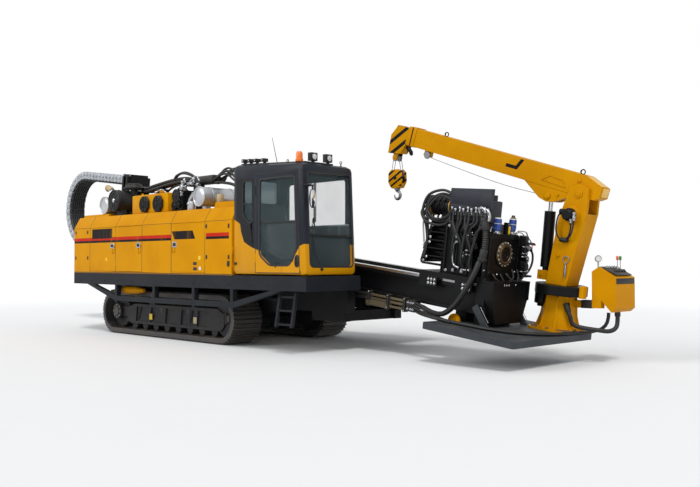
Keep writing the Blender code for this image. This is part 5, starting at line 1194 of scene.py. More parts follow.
# Near ends of the drums on the roof, the fan covers' middles, and the radii of the hoses in the bundle.
CLEANER = np.array((-2.42, -1.4, 2.55))
FRONT_MUFFLER = np.array((0.4, -1.4, 2.473))
REAR_MUFFLER = np.array((-2.81, -1.4, 2.475))
COVERS = ((-1.29, 2.42), (-0.84, 2.41))
BUNDLE_RADII = (0.03, 0.03, 0.026, 0.026, 0.022)


def banded(form, start, length, radius, places, wide=0.03, proud=0.006):
    """Clamp bands round a drum that lies along Y from start."""
    for share in places:
        form.turned([(-wide / 2, radius - 0.004), (-wide / 2, radius + proud),
            (-wide / 2 + 0.004, radius + proud + 0.002), (wide / 2 - 0.004, radius + proud + 0.002),
            (wide / 2, radius + proud), (wide / 2, radius - 0.004)], start + Y * length * share, Y, 40)
    return form


def spokes(form, centre, reach, count, low, high):
    """Radial bars on a disc that faces the near side, at equal angles round its centre."""
    for a in turns(count):
        out, across = np.array((math.cos(a), 0.0, math.sin(a))), np.array((-math.sin(a), 0.0, math.cos(a)))
        form.slab([(-0.055, -0.004), (0.055, -0.004), (0.055, 0.004), (-0.055, 0.004)], low, high,
            (centre + reach * out, np.array([out, across, -Y])), 0.002)


def engine_trim():
    """Drum faces and bands, fan covers, pulleys, valves, silencer sleeve and the hose bundle."""
    cleaner = Form()
    cleaner.boss([(-0.012, 0.207), (0.018, 0.207), (0.026, 0.2), (0.026, 0.188), (0.012, 0.182),
        (0.012, 0.158), (0.024, 0.15), (0.024, 0.14), (0.012, 0.132), (0.012, 0.104), (0.022, 0.097),
        (0.022, 0.088), (0.014, 0.08)], CLEANER, -Y, 44)
    spokes(cleaner, CLEANER - Y * 0.02, 0.12, 9, -0.008, 0.006)
    banded(cleaner, CLEANER, 0.68, 0.2, (0.12, 0.42, 0.72, 0.97), 0.022, 0.01)
    lid = np.array((-2.3, -1.05, 2.8))
    cleaner.turned([(0.066, 0.156), (0.072, 0.15), (0.084, 0.12), (0.09, 0.06), (0.091, 0.0)], lid, Z, 36)
    cleaner.boss([(-0.02, 0.19), (-0.004, 0.198), (0.01, 0.196), (0.016, 0.184)], lid, Z, 36)
    cleaner.made("cleaner_covers", "chassis", "plastic_black")
    hub = Form().boss([(0.0, 0.042), (0.018, 0.04), (0.026, 0.024), (0.028, 0.0)], CLEANER - Y * 0.01, -Y,
        24)
    hub.made("cleaner_hub", "chassis", "bright_steel")
    drums = Form()
    for place, length in ((FRONT_MUFFLER, 0.82), (REAR_MUFFLER, 0.65)):
        drums.boss([(-0.008, 0.171), (0.01, 0.171), (0.014, 0.166), (0.01, 0.158), (-0.001, 0.152),
            (0.004, 0.125), (0.008, 0.12), (0.01, 0.06)], place, -Y, 44)
        banded(drums, place, length, 0.165, (0.24, 0.76), 0.04, 0.003)
    drums.tube([(-0.12, -1.22, 2.26), (-0.12, -1.22, 2.42)], 0.058, 20, 0.05, ends=False)
    for place, axis, r in (((-0.12, -1.22, 2.38), Z, 0.06), ((0.225, -1.22, 2.505), X, 0.06),
            ((-2.865, -1.2, 2.66), Z, 0.058)):
        drums.turned([(-0.018, r - 0.012), (-0.018, r + 0.004), (-0.014, r + 0.007), (0.014, r + 0.007),
            (0.018, r + 0.004), (0.018, r - 0.012)], np.array(place), axis, 24)
    drums.made("muffler_covers", "chassis", "silver")
    cap = Form().tube([(-2.885, -1.2, 2.78), (-2.93, -1.2, 2.812), (-3.03, -1.2, 2.838)], 0.056, 18,
        ends=False)
    cap.boss([(0.0, 0.066), (0.012, 0.07), (0.02, 0.06)], (-3.02, -1.2, 2.833), -X, 20)
    cap.made("exhaust_cap", "chassis", "beige")

    fans, slats = Form(), Form()
    corners = (np.arange(8) + 0.5) * math.pi / 4
    for x, z in COVERS:
        place = np.array((x, -1.446, z))
        fans.slab(np.stack([0.156 * np.cos(corners), 0.156 * np.sin(corners)], -1), -0.04, 0.004,
            (place, SIDE_ON), 0.004)
        for r in (0.035, 0.068, 0.101, 0.134):
            slats.turned([(0.003, r - 0.006), (0.01, r - 0.004), (0.01, r + 0.004), (0.003, r + 0.006)],
                place, -Y, 32)
        spokes(slats, place, 0.084, 8, 0.002, 0.013)
        slats.boss([(0.002, 0.03), (0.014, 0.026), (0.018, 0.0)], place, -Y, 20)
        fans.bolts(place + np.stack([0.142 * np.cos(corners), np.full(8, -0.004), 0.142 * np.sin(corners)],
            -1), -Y, 0.007, 0.005)
    fans.made("fan_covers", "chassis", "plastic_black")
    slats.made("fan_grilles", "chassis", "black_steel")
    lugs = Form()
    for x in (-1.7, -0.63):
        lugs.slab([(-0.04, 0.0), (0.04, 0.0), (0.03, 0.05), (-0.03, 0.05)], -0.006, 0.006,
            (np.array((x, -1.22, 2.598)), SIDE_ON), 0.002)
    lugs.boss([(0.0, 0.05), (0.05, 0.05), (0.06, 0.042), (0.075, 0.042), (0.08, 0.0)], (-1.06, -1.2, 2.597),
        Z, 20)
    lugs.made("box_lugs", "chassis", "yellow")
    bright = Form()
    bright.boss([(0.0, 0.028), (0.03, 0.028), (0.035, 0.018), (0.06, 0.018), (0.062, 0.0)],
        (-1.12, -1.3, 2.597), Z, 14)
    bright.tube([(-1.1, -1.3, 2.64), (-0.98, -1.26, 2.68), (-0.92, -1.2, 2.62)], 0.012, 8)
    for place, axis, r, length in (((-0.16, -1.3, 2.66), -Y, 0.052, 0.1),
            ((-0.16, -1.36, 2.66), Z, 0.034, 0.12), ((-0.1, -1.3, 2.72), X, 0.03, 0.16),
            ((-0.22, -1.34, 2.6), -Z, 0.03, 0.08), ((0.0, -1.24, 2.74), Z, 0.026, 0.09),
            ((0.06, -1.22, 2.7), X, 0.036, 0.07), ((-0.2, -1.28, 2.74), (-0.4, 0.0, 1.0), 0.02, 0.09)):
        bright.boss([(0.0, r * 0.9), (0.008, r), (length * 0.3, r), (length * 0.32, r * 0.72),
            (length * 0.7, r * 0.72), (length * 0.72, r), (length - 0.006, r), (length, r * 0.85)],
            np.array(place), axis, 18)
    bright.tube([(0.1, -1.2, 2.78), (0.04, -1.22, 2.86), (-0.06, -1.24, 2.8), (-0.12, -1.28, 2.7)], 0.01, 8)
    for x, z in ((-0.34, 2.62), (-0.44, 2.52), (-0.3, 2.46), (-0.46, 2.4), (-0.33, 2.36)):
        bright.bolts([(x, -1.335, z)], -Y, 0.014, 0.012)
    bright.made("engine_fittings", "chassis", "bright_steel")
    pulley = Form()
    for x, z, r in ((-0.38, 2.53, 0.118), (-0.44, 2.36, 0.075), (-0.31, 2.37, 0.055)):
        pulley.boss([(-0.05, r), (-0.03, r), (-0.022, r - 0.016), (-0.014, r), (0.004, r), (0.006, r - 0.02),
            (-0.006, r * 0.7), (0.008, r * 0.4), (0.016, 0.0)], (x, -1.355, z), -Y, 32)
    pulley.made("engine_pulleys", "chassis", "black_steel")
    sleeve = Form().slab(rounded_outline(-1.1, 2.722, -0.885, 2.875, 0.06, 6), -0.205, 0.335, END_ON, 0.03)
    sleeve.made("hose_sleeve", "chassis", "rubber")
    round_filter = Form().boss([(0.0, 0.055), (0.01, 0.062), (0.13, 0.062), (0.14, 0.055), (0.145, 0.0)],
        (0.72, -1.2, 2.36), Z, 20)
    round_filter.made("round_filter", "chassis", "beige")
    ribbed = Form()
    ribbed.boss([(0.0, 0.055), (0.02, 0.062), (0.12, 0.062), (0.13, 0.05), (0.16, 0.045)],
        (0.02, -1.28, 2.252), Z, 20)
    ribbed.made("oil_filler", "chassis", "silver")

    hoses = Form()
    for k, r in enumerate(BUNDLE_RADII):
        dy, dz = 0.062 * (k % 3) - 0.06, 0.06 * (k // 3) - 0.02
        hoses.tube([(-3.6, -0.48 + dy * 0.6, 2.62 + dz), (-3.15, -0.56 + dy, 2.76 + dz),
            (-2.55, -0.7 + dy, 2.8 + dz), (-1.95, -0.92 + dy, 2.74 + dz), (-1.55, -1.0 + dy, 2.76 + dz),
            (-1.0, -1.0 + dy, 2.82 + dz * 0.9), (-0.55, -0.99 + dy, 2.84 + dz * 0.8),
            (-0.24, -0.99 + dy * 0.7, 2.8 + dz * 0.6)], r, 12, 0.05)
    for k in range(2):
        d = k * 0.06
        hoses.tube([(-0.92 + d, -1.0 - d, 2.84), (-0.86 + d, -1.02 - d, 2.92),
            (-0.66 + d, -1.05, 2.965 + d * 0.2), (-0.42 + d, -1.06, 2.93), (-0.2, -1.04, 2.84)], 0.02, 10,
            0.04)
    for x0, x1, z in ((-1.3, -0.45, 2.66), (-1.1, -0.4, 2.6)):
        hoses.tube([(x0, -0.95, z), (x0 + 0.25, -1.0, z + 0.07), (x1 - 0.25, -1.05, z + 0.1),
            (x1, -1.08, z - 0.02)], 0.02, 10, 0.04)
    hoses.tube([(-0.62, -0.98, 2.82), (-0.7, -1.05, 2.7), (-0.66, -1.1, 2.56), (-0.56, -1.12, 2.44)], 0.03,
        12, 0.04)
    hoses.tube([(-0.5, -1.05, 2.84), (-0.58, -1.12, 2.74), (-0.5, -1.18, 2.62), (-0.44, -1.2, 2.56)], 0.02,
        10, 0.04)
    for k in range(6):
        y, lift = -1.06 + 0.045 * k, 0.05 * (k % 3)
        hoses.tube([(0.33, y, 2.78 + 0.012 * (k % 2)), (0.48, y + 0.01, 2.84 + lift),
            (0.66, y + 0.03, 2.86 + lift), (0.86, y + 0.05, 2.74 + lift * 0.6), (1.1, y + 0.08, 2.6),
            (1.38, y + 0.09, 2.56 + 0.02 * k), (1.565, y + 0.09, 2.56 + 0.02 * k)], 0.018 + 0.004 * (k % 2),
            10, 0.04)
    hoses.tube([(0.36, -1.02, 2.74), (0.56, -0.98, 2.72), (0.8, -0.95, 2.66), (1.05, -0.92, 2.48),
        (1.3, -0.9, 2.372)], 0.026, 10, 0.04)
    hoses.made("engine_hoses", "chassis", "rubber")
    clamps = Form()
    clamps.block((-1.38, -1.12, 2.6), (-1.32, -0.9, 2.73), soft=0.006)
    clamps.block((-3.18, -0.7, 2.25), (-3.12, -0.44, 2.72), soft=0.006)
    clamps.block((0.98, -1.05, 2.36), (1.04, -0.8, 2.6), soft=0.006)
    clamps.block((-0.52, -1.1, 2.72), (-0.46, -0.88, 2.8), soft=0.006)
    clamps.made("hose_clamps", "chassis", "black_steel")


# Centre and radius of the chain's bend in the mast's upright plane, and where its two runs end.
CHAIN_CENTRE = np.array((-8.9973, 0.6584))
CHAIN_MEAN = 0.785
CHAIN_ENDS = (-6.3, -7.28)


def chain_path(length):
    """Middle line of the chain at given lengths: a run, a half circle and a run. Gives the places and
    the outward directions in the mast's upright plane."""
    low = CHAIN_ENDS[0] - CHAIN_CENTRE[0]
    bend = math.pi * CHAIN_MEAN
    angle = -math.pi / 2 - np.clip((length - low) / CHAIN_MEAN, 0, math.pi)
    out = np.stack([np.cos(angle), np.sin(angle)], -1)
    place = CHAIN_CENTRE + CHAIN_MEAN * out
    place[:, 0] += np.clip(low - length, 0, None) + np.clip(length - low - bend, 0, None)
    return place, out


def chain_trim():
    """Side plates and bolts of every link, the black bars across, and the hoses seen between them."""
    total = CHAIN_ENDS[0] - CHAIN_CENTRE[0] + math.pi * CHAIN_MEAN + CHAIN_ENDS[1] - CHAIN_CENTRE[0]
    links = round(total / 0.15)
    at = (np.arange(links) + 0.5) * total / links
    place, out = chain_path(at)
    joints, joint_out = chain_path(np.arange(1, links) * total / links)
    plates, bars, pins = Form(), Form(), Form()
    for (s, n), (ds, dn) in zip(place, out):
        along = np.array((-dn, ds))
        origin = on_mast(s, 0.0, n)
        w = unit(ALONG * along[0] + PROUD * along[1])
        up = unit(ALONG * ds + PROUD * dn)
        for side in (-1, 1):
            axes = (origin, np.array([w, up, ACROSS * side]))
            plates.slab(rounded_outline(-0.071, -0.076, 0.071, 0.078, 0.03, 3), 0.19, 0.199, axes, 0.002)
            plates.slab(rounded_outline(-0.03, -0.04, 0.03, 0.04, 0.012, 2), 0.199, 0.203, axes, 0.002)
        bars.slab(rounded_outline(-0.045, -0.185, 0.045, 0.185, 0.01, 1), -0.097, -0.083,
            (origin, np.array([w, ACROSS, up])), 0.003)
    for s, n in joints:
        origin = on_mast(s, 0.0, n)
        for side in (-1, 1):
            pins.boss([(-0.002, 0.02), (0.01, 0.018), (0.012, 0.0)], origin + Y * side * 0.198, Y * side, 10)
    plates.made("chain_plates", "mast", "chain_grey")
    bars.made("chain_bars", "mast", "plastic_black")
    pins.made("chain_pins", "mast", "steel")
    hoses = Form()
    run = np.linspace(0.05, total - 0.02, 64)
    middle, away = chain_path(run)
    for y in (-0.15, -0.1, -0.05, 0.0, 0.05, 0.1, 0.15):
        line = middle - away * 0.105
        hoses.tube(mast_points(np.insert(line, 1, y, axis=1)), 0.019, 8, 0.1, ends=False)
    hoses.made("chain_hoses", "mast", "rubber")
    box = Form()
    top = CHAIN_CENTRE[1] + 0.87
    for s in (-7.25, -6.99):
        for n in (top - 0.17, top):
            box.bolts([on_mast(s, -0.21, n)], -Y, 0.012, 0.01)
    box.slab(rounded_outline(-7.2, top - 0.13, -7.04, top - 0.04, 0.01), 0.21, 0.216, MAST_SIDE, 0.002)
    box.made("bracket_bolts", "mast", "steel")


class DRILL_OT_engine(bpy.types.Operator):
    """Covers, fittings, sleeves and hoses on the housing's roof"""
    bl_idname = "drill.engine"
    bl_label = "Engine trim"

    def execute(self, context):
        engine_trim()
        return {"FINISHED"}


class DRILL_OT_chain(bpy.types.Operator):
    """Links, bars, pins and hoses of the energy chain"""
    bl_idname = "drill.chain"
    bl_label = "Energy chain"

    def execute(self, context):
        chain_trim()
        return {"FINISHED"}


# Power head on its carriage, and the feed lines.

PIPE_CLAMP_PLACES = (0.56, 0.95, 1.28)
SPINDLE_HEIGHT = 0.947
MOTOR_HEIGHT = 1.53


def strip(form, along, proud, wide, high, level, thick, corner):
    """A small plate on a side of the head, given by its middle, size and the levels of its faces."""
    form.slab(rounded_outline(-wide / 2, -high / 2, wide / 2, high / 2, corner), level, level + thick,
        (on_mast(along, 0.0, proud), MAST_SIDE[1]), 0.003)


def head_trim():
    """Gearbox plates, bolts, slots, hose ends, pipes, motor bands and every hose of the head."""
    plates = Form()
    plates.both([(1.9, 0.62), (2.3, 0.6), (2.34, 0.8), (2.34, 1.22), (2.26, 1.31), (1.94, 1.31),
        (1.9, 1.24)], 0.36, 0.376, MAST_SIDE, 0.005)
    for s0 in (1.9, 2.1, 2.31):
        strip(plates, s0, 0.97, 0.03, 0.62, 0.372, 0.022, 0.004)
        strip(plates, s0, 0.97, 0.03, 0.62, -0.394, 0.022, 0.004)
    front = (on_mast(2.36, 0, 0), MAST_FACE)
    plates.slab(rounded_outline(-0.31, 0.6, 0.31, 1.3, 0.04), -0.002, 0.014, front, 0.005)
    plates.boss([(0.0, 0.225), (0.018, 0.225), (0.03, 0.19), (0.034, 0.13)],
        on_mast(2.368, 0, SPINDLE_HEIGHT), ALONG, 40)
    plates.slab([(1.88, 0.58), (2.36, 0.58), (2.44, 0.545), (1.66, 0.545)], -0.38, 0.38, MAST_SIDE, 0.004)
    plates.made("head_plates", "carriage", "black_steel")
    fins = Form()
    for k in range(5):
        n = 0.68 + 0.115 * k
        lean = 0.25 * (n - 0.7)
        fins.both([(1.43 + lean, n), (1.87, n), (1.87, n + 0.02), (1.435 + lean, n + 0.02)], 0.16, 0.3,
            MAST_SIDE, 0.004)
    fins.both([(1.395, 0.7), (1.43, 0.69), (1.59, 1.33), (1.545, 1.345)], 0.238, 0.3, MAST_SIDE, 0.005)
    fins.made("head_fins", "carriage", "black_steel")

    bolts = Form()
    for s, n in ((2.046, 1.153), (2.197, 0.938), (2.197, 0.875), (2.056, 0.662), (2.206, 0.662),
            (1.93, 1.27), (2.32, 1.2), (2.32, 0.7), (1.93, 0.65), (2.2, 1.28)):
        bolts.bolts(mast_points([(s, -0.376, n)]), -Y, 0.016, 0.014)
        bolts.bolts(mast_points([(s, 0.376, n)]), Y, 0.016, 0.014)
    for s, n in ((1.545, 1.075), (1.535, 1.005), (1.5, 0.79), (1.57, 1.25), (1.45, 0.73)):
        bolts.bolts(mast_points([(s, -0.3, n)]), -Y, 0.015, 0.016)
    for s0 in (1.73, 2.34):
        rows = [(s0 + ds, -0.4205, n) for ds in (-0.055, 0.0, 0.055) for n in (0.49, 0.435)]
        bolts.bolts(mast_points(rows), -Y, 0.015, 0.012)
        bolts.bolts(mast_points([(s, -y, n) for s, y, n in rows]), Y, 0.015, 0.012)
    a = turns(12)
    bolts.bolts(mast_points(np.stack([np.full(12, 2.398), 0.16 * np.cos(a),
        SPINDLE_HEIGHT + 0.16 * np.sin(a)], -1)), ALONG, 0.014, 0.012)
    bolts.made("head_bolts", "carriage", "bright_steel")
    slots = Form()
    for s, n, wide in ((2.268, 1.165, 0.05), (2.37, 1.173, 0.07), (2.4, 0.96, 0.11), (2.41, 0.902, 0.1),
            (2.36, 0.692, 0.16), (2.15, 1.172, 0.03)):
        strip(slots, min(s, 2.36 - wide / 2), n, wide, 0.018, 0.374, 0.02, 0.006)
    slots.made("head_slots", "carriage", "bright_steel")
    feet = Form()
    for s0 in (1.73, 2.34):
        strip(feet, s0, 0.455, 0.2, 0.15, 0.408, 0.013, 0.02)
        strip(feet, s0, 0.455, 0.2, 0.15, -0.421, 0.013, 0.02)
    feet.made("carriage_feet", "carriage", "black_steel")

    pipes = Form()
    pipes.tube(mast_points([(2.1, -0.4, 1.06), (2.06, -0.405, 1.03), (2.053, -0.405, 0.955),
        (2.061, -0.405, 0.823), (2.09, -0.405, 0.74), (2.16, -0.4, 0.712)]), 0.014, 10, 0.015)
    pipes.tube(mast_points([(2.1, -0.41, 1.3), (2.085, -0.415, 1.22), (2.1, -0.41, 1.13)]), 0.013, 10, 0.015)
    pipes.tube(mast_points([(1.44, -0.26, 1.42), (1.4, -0.31, 1.3), (1.42, -0.31, 1.12),
        (1.45, -0.31, 0.95)]), 0.012, 10, 0.02)
    pipes.made("head_pipes", "carriage", "bright_steel")
    ends = Form()
    for k in range(10):
        s = 1.96 + 0.068 * k
        n = 1.535 + 0.004 * k - 0.02 * (k % 2)
        place, axis = on_mast(s, -0.385 - 0.012 * (k % 2), n), -PROUD
        ends.boss([(0.0, 0.019), (0.01, 0.022), (0.03, 0.022), (0.034, 0.016), (0.062, 0.016), (0.066, 0.02),
            (0.095, 0.02), (0.1, 0.014)], place, axis, 12)
        ends.boss([(0.0, 0.024), (0.018, 0.024), (0.02, 0.0)], place - PROUD * 0.012, axis, 6)
    for s, n in ((2.5, 1.52), (2.57, 1.5)):
        ends.tube(mast_points([(s - 0.06, -0.4, n + 0.02), (s, -0.415, n + 0.035),
            (s + 0.045, -0.415, n - 0.02), (s + 0.045, -0.415, n - 0.09)]), 0.018, 10, 0.015)
    ends.made("hose_ends", "carriage", "bright_steel")
    rail = Form()
    rail.slab([(1.92, 1.525), (2.6, 1.5), (2.6, 1.545), (1.92, 1.57)], 0.34, 0.375, MAST_SIDE, 0.004)
    rail.slab([(1.97, 1.36), (2.3, 1.36), (2.3, 1.54), (1.97, 1.56)], 0.262, 0.345, MAST_SIDE, 0.01)
    rail.slab([(1.925, 1.585), (2.6, 1.545), (2.6, 1.805), (1.925, 1.78)], 0.372, 0.3745, MAST_SIDE, 0.001)
    rail.made("hose_rail", "carriage", "shield_grey")
    hoses = Form()
    for s0, y0, s1, n1, r in ((1.96, 0.41, 2.02, 1.2, 0.017), (2.03, 0.43, 2.2, 0.96, 0.017),
            (2.1, 0.41, 2.05, 0.8, 0.015), (2.17, 0.44, 2.14, 1.06, 0.018), (2.23, 0.42, 2.36, 0.9, 0.017),
            (2.3, 0.44, 2.24, 0.72, 0.018), (2.37, 0.42, 2.18, 1.12, 0.015), (2.44, 0.44, 2.34, 1.1, 0.017),
            (2.5, 0.42, 2.37, 0.7, 0.018), (2.57, 0.44, 2.42, 1.02, 0.018)):
        top = 1.45 + 0.02 * (s0 - 2.0)
        bend = (s1 - s0) * 0.5
        hoses.tube(mast_points([(s0, -y0, top), (s0 + 0.01, -y0 - 0.02, top - 0.12),
            (s0 + bend, -y0 - 0.035, (top + n1) / 2), (s1, -y0 - 0.01, n1 + 0.1), (s1, -0.385, n1)]), r, 9,
            0.035)
    for k, (reach, lift, r) in enumerate(((0.0, 0.0, 0.02), (0.05, 0.05, 0.02), (-0.06, -0.03, 0.018))):
        hoses.tube(mast_points([(1.9, -0.28 - 0.03 * k, 1.66 + lift), (1.72, -0.32 - 0.02 * k, 1.7 + lift),
            (1.55 - reach, -0.34 - 0.02 * k, 1.62 + lift), (1.47 - reach, -0.35 - 0.02 * k, 1.47),
            (1.54 - reach, -0.36 - 0.02 * k, 1.35 - lift), (1.74, -0.37 - 0.02 * k, 1.31 - lift),
            (1.9, -0.38 - 0.02 * k, 1.36 - lift), (1.98, -0.39 - 0.02 * k, 1.46)]), r, 10, 0.03)
    for k in range(3):
        hoses.tube(mast_points([(1.44, -0.1 - 0.05 * k, 1.47), (1.37 - 0.01 * k, -0.12 - 0.06 * k, 1.5),
            (1.34 - 0.01 * k, -0.16 - 0.06 * k, 1.41), (1.38, -0.2 - 0.05 * k, 1.33),
            (1.45, -0.27 - 0.02 * k, 1.27 - 0.02 * k), (1.5, -0.31, 1.08 - 0.05 * k),
            (1.47, -0.315, 0.92 - 0.06 * k)]), 0.017, 10, 0.03)
    for y in (-0.05, 0.06, 0.16):
        hoses.tube(mast_points([(1.43, y, 1.44), (1.36, y, 1.38), (1.35, y, 1.2), (1.34, y, 1.0),
            (1.345, y, 0.84)]), 0.016, 8, 0.04)
    hoses.made("head_hoses", "carriage", "rubber")
    bands, gold = Form(), Form()
    for y in (-0.17, 0.17):
        r = 0.127
        for s in (1.53, 1.62, 1.71):
            bands.turned([(0.0, r - 0.006), (0.0, r + 0.006), (0.012, r + 0.008), (0.024, r + 0.006),
                (0.024, r - 0.006)], on_mast(s, y, MOTOR_HEIGHT), ALONG, 36)
        for s, r in ((1.475, 0.135), (1.825, 0.14)):
            gold.turned([(0.0, r - 0.02), (0.0, r + 0.006), (0.004, r + 0.01), (0.018, r + 0.01),
                (0.022, r + 0.006), (0.022, r - 0.02)], on_mast(s, y, MOTOR_HEIGHT), ALONG, 40)
        gold.boss([(0.0, 0.05), (0.02, 0.046), (0.024, 0.03)], on_mast(1.422, y, MOTOR_HEIGHT), -ALONG, 28)
        bands.turned([(0.0, 0.13), (0.0, 0.146), (-0.012, 0.14), (-0.016, 0.1), (-0.01, 0.09),
            (-0.01, 0.05)], on_mast(1.42, y, MOTOR_HEIGHT), ALONG, 40)
    bands.made("motor_bands", "carriage", "black_steel")
    gold.made("motor_rings", "carriage", "gold")
    bridge = Form()
    bridge.slab([(1.66, 1.38), (1.92, 1.36), (1.96, 1.44), (1.96, 1.72), (1.9, 1.74), (1.86, 1.46),
        (1.66, 1.44)], -0.1, 0.1, MAST_SIDE, 0.006)
    bridge.slab([(2.0, 1.6), (2.28, 1.6), (2.28, 1.74), (2.0, 1.74)], -0.22, 0.22, MAST_SIDE, 0.02)
    bridge.made("head_bridge", "carriage", "black_steel")


def feed_trim():
    """Ends and couplings of the feed pipes, their hoses, and the mast's rack and rail bolts."""
    y = -0.39
    brass = Form()
    for n in (0.105, 0.048):
        for s, axis in ((0.5, -ALONG), (1.37, ALONG)):
            brass.boss([(-0.03, 0.03), (-0.02, 0.034), (0.01, 0.034), (0.014, 0.024), (0.05, 0.024),
                (0.052, 0.0)], on_mast(s, y, n) - axis * 0.02, axis, 18)
    brass.boss([(-0.02, 0.05), (-0.01, 0.054), (0.03, 0.054), (0.035, 0.045)],
        on_mast(0.54, y - 0.01, -0.015), ALONG, 22)
    brass.boss([(-0.03, 0.05), (-0.02, 0.054), (0.02, 0.054), (0.03, 0.04)], on_mast(0.92, y - 0.01, -0.015),
        ALONG, 22)
    brass.made("pipe_ends", "mast", "brown_steel")
    hoses = Form()
    for n, drop in ((0.105, 0.02), (0.048, -0.03)):
        hoses.tube(mast_points([(0.49, y, n), (0.3, y - 0.01, n - 0.01), (0.05, y, n - drop),
            (-0.25, -0.375, n - 0.02)]), 0.019, 10, 0.05)
    for k in range(3):
        hoses.tube(mast_points([(1.4, y - 0.02 - 0.02 * k, 0.11 - 0.03 * k),
            (1.5, -0.47 - 0.01 * k, 0.125 - 0.03 * k), (1.64, -0.48 - 0.02 * k, 0.1 - 0.03 * k),
            (1.86, -0.49 - 0.02 * k, 0.03 - 0.01 * k), (2.12, -0.57 - 0.03 * k, 0.0),
            (2.3, -0.6 - 0.03 * k, -0.008)]), 0.014, 8, 0.04)
    hoses.made("feed_hoses", "mast", "rubber")
    blocks = Form()
    for s in (1.4, 1.455, 1.5):
        for n in (0.11, 0.02):
            blocks.boss([(0.0, 0.017), (0.022, 0.017), (0.025, 0.011), (0.04, 0.011), (0.041, 0.0)],
                on_mast(s, -0.468, n), -Y, 10)
    for s in PIPE_CLAMP_PLACES:
        for n in (0.142, -0.032):
            blocks.bolts(on_mast(s, -0.441, n), -Y, 0.009, 0.008)
    blocks.made("feed_fittings", "mast", "bright_steel")
    jaws = Form()
    for s in PIPE_CLAMP_PLACES:
        jaws.slab([(s - 0.0225, -0.048), (s + 0.0225, -0.048), (s + 0.0225, 0.146), (s + 0.012, 0.163),
            (s - 0.012, 0.163), (s - 0.0225, 0.146)], 0.352, 0.443, MAST_SIDE, 0.004)
    jaws.made("pipe_clamps", "mast", "plastic_black")
    spots = np.arange(-4.7, 2.3, 0.24)
    rails = Form()
    for side in (-1, 1):
        rows = np.stack([spots, np.full(len(spots), side * 0.322), np.full(len(spots), 0.487)], -1)
        rails.bolts(mast_points(rows), PROUD, 0.009, 0.008)
    rails.made("rail_bolts", "mast", "steel")
    rack = Form()
    teeth = np.arange(0, 340)
    step = 7.0 / len(teeth)
    base = -4.75 + teeth * step
    profile = np.stack([np.stack([base, np.full(len(base), 0.318)], -1),
        np.stack([base + step * 0.2, np.full(len(base), 0.338)], -1),
        np.stack([base + step * 0.5, np.full(len(base), 0.338)], -1),
        np.stack([base + step * 0.7, np.full(len(base), 0.318)], -1)], 1).reshape(-1, 2)
    outline = np.concatenate([profile, [(2.25, 0.318), (2.25, 0.3003), (-4.75, 0.3003)]])
    rack.slab(outline, -0.03, 0.03, MAST_SIDE, 0.0)
    rack.made("feed_rack", "mast", "steel")


class DRILL_OT_head(bpy.types.Operator):
    """Plates, bolts, pipes, motors and hoses of the power head"""
    bl_idname = "drill.head"
    bl_label = "Power head"

    def execute(self, context):
        head_trim()
        return {"FINISHED"}


class DRILL_OT_feed(bpy.types.Operator):
    """Pipe ends, hoses, rail bolts and the rack of the mast"""
    bl_idname = "drill.feed"
    bl_label = "Feed lines"

    def execute(self, context):
        feed_trim()
        return {"FINISHED"}


# Vise, anchor plate, crane, hook and console.

# Foot of the crane in the mast's frame, the boom's pivot and axes, and the pin that the hook hangs from.
CRANE_PLACE = (3.168, 0.64, -0.03)
BOOM = (np.array((6.4383, 0.64, 2.2745)), np.array((-0.951057, 0.0, 0.309017)),
    np.array((0.309017, 0.0, 0.951057)))
BOOM_SIDE = (BOOM[0], np.array([BOOM[1], BOOM[2], Y]))
HOOK_PIN = np.array((3.0485, 0.64, 3.071))
CONSOLE_FRONT = 6.86
CONSOLE_MIDDLE = 0.93


def crane_points(rows):
    """Places in the crane's own frame, made places in the world."""
    return mast_points(np.array(rows, float) + np.array(CRANE_PLACE))


def boom_points(rows):
    """Places along, across and above the boom's pivot, made places in the world."""
    rows = np.array(rows, float)
    return BOOM[0] + rows[:, :1] * BOOM[1] + rows[:, 1:2] * Y + rows[:, 2:] * BOOM[2]


def on_crane(x, y, z):
    """Place in the crane's own frame."""
    return crane_points([(x, y, z)])[0]


def on_boom(s, y, n):
    """Place at s along the boom, y across it and n above it."""
    return boom_points([(s, y, n)])[0]


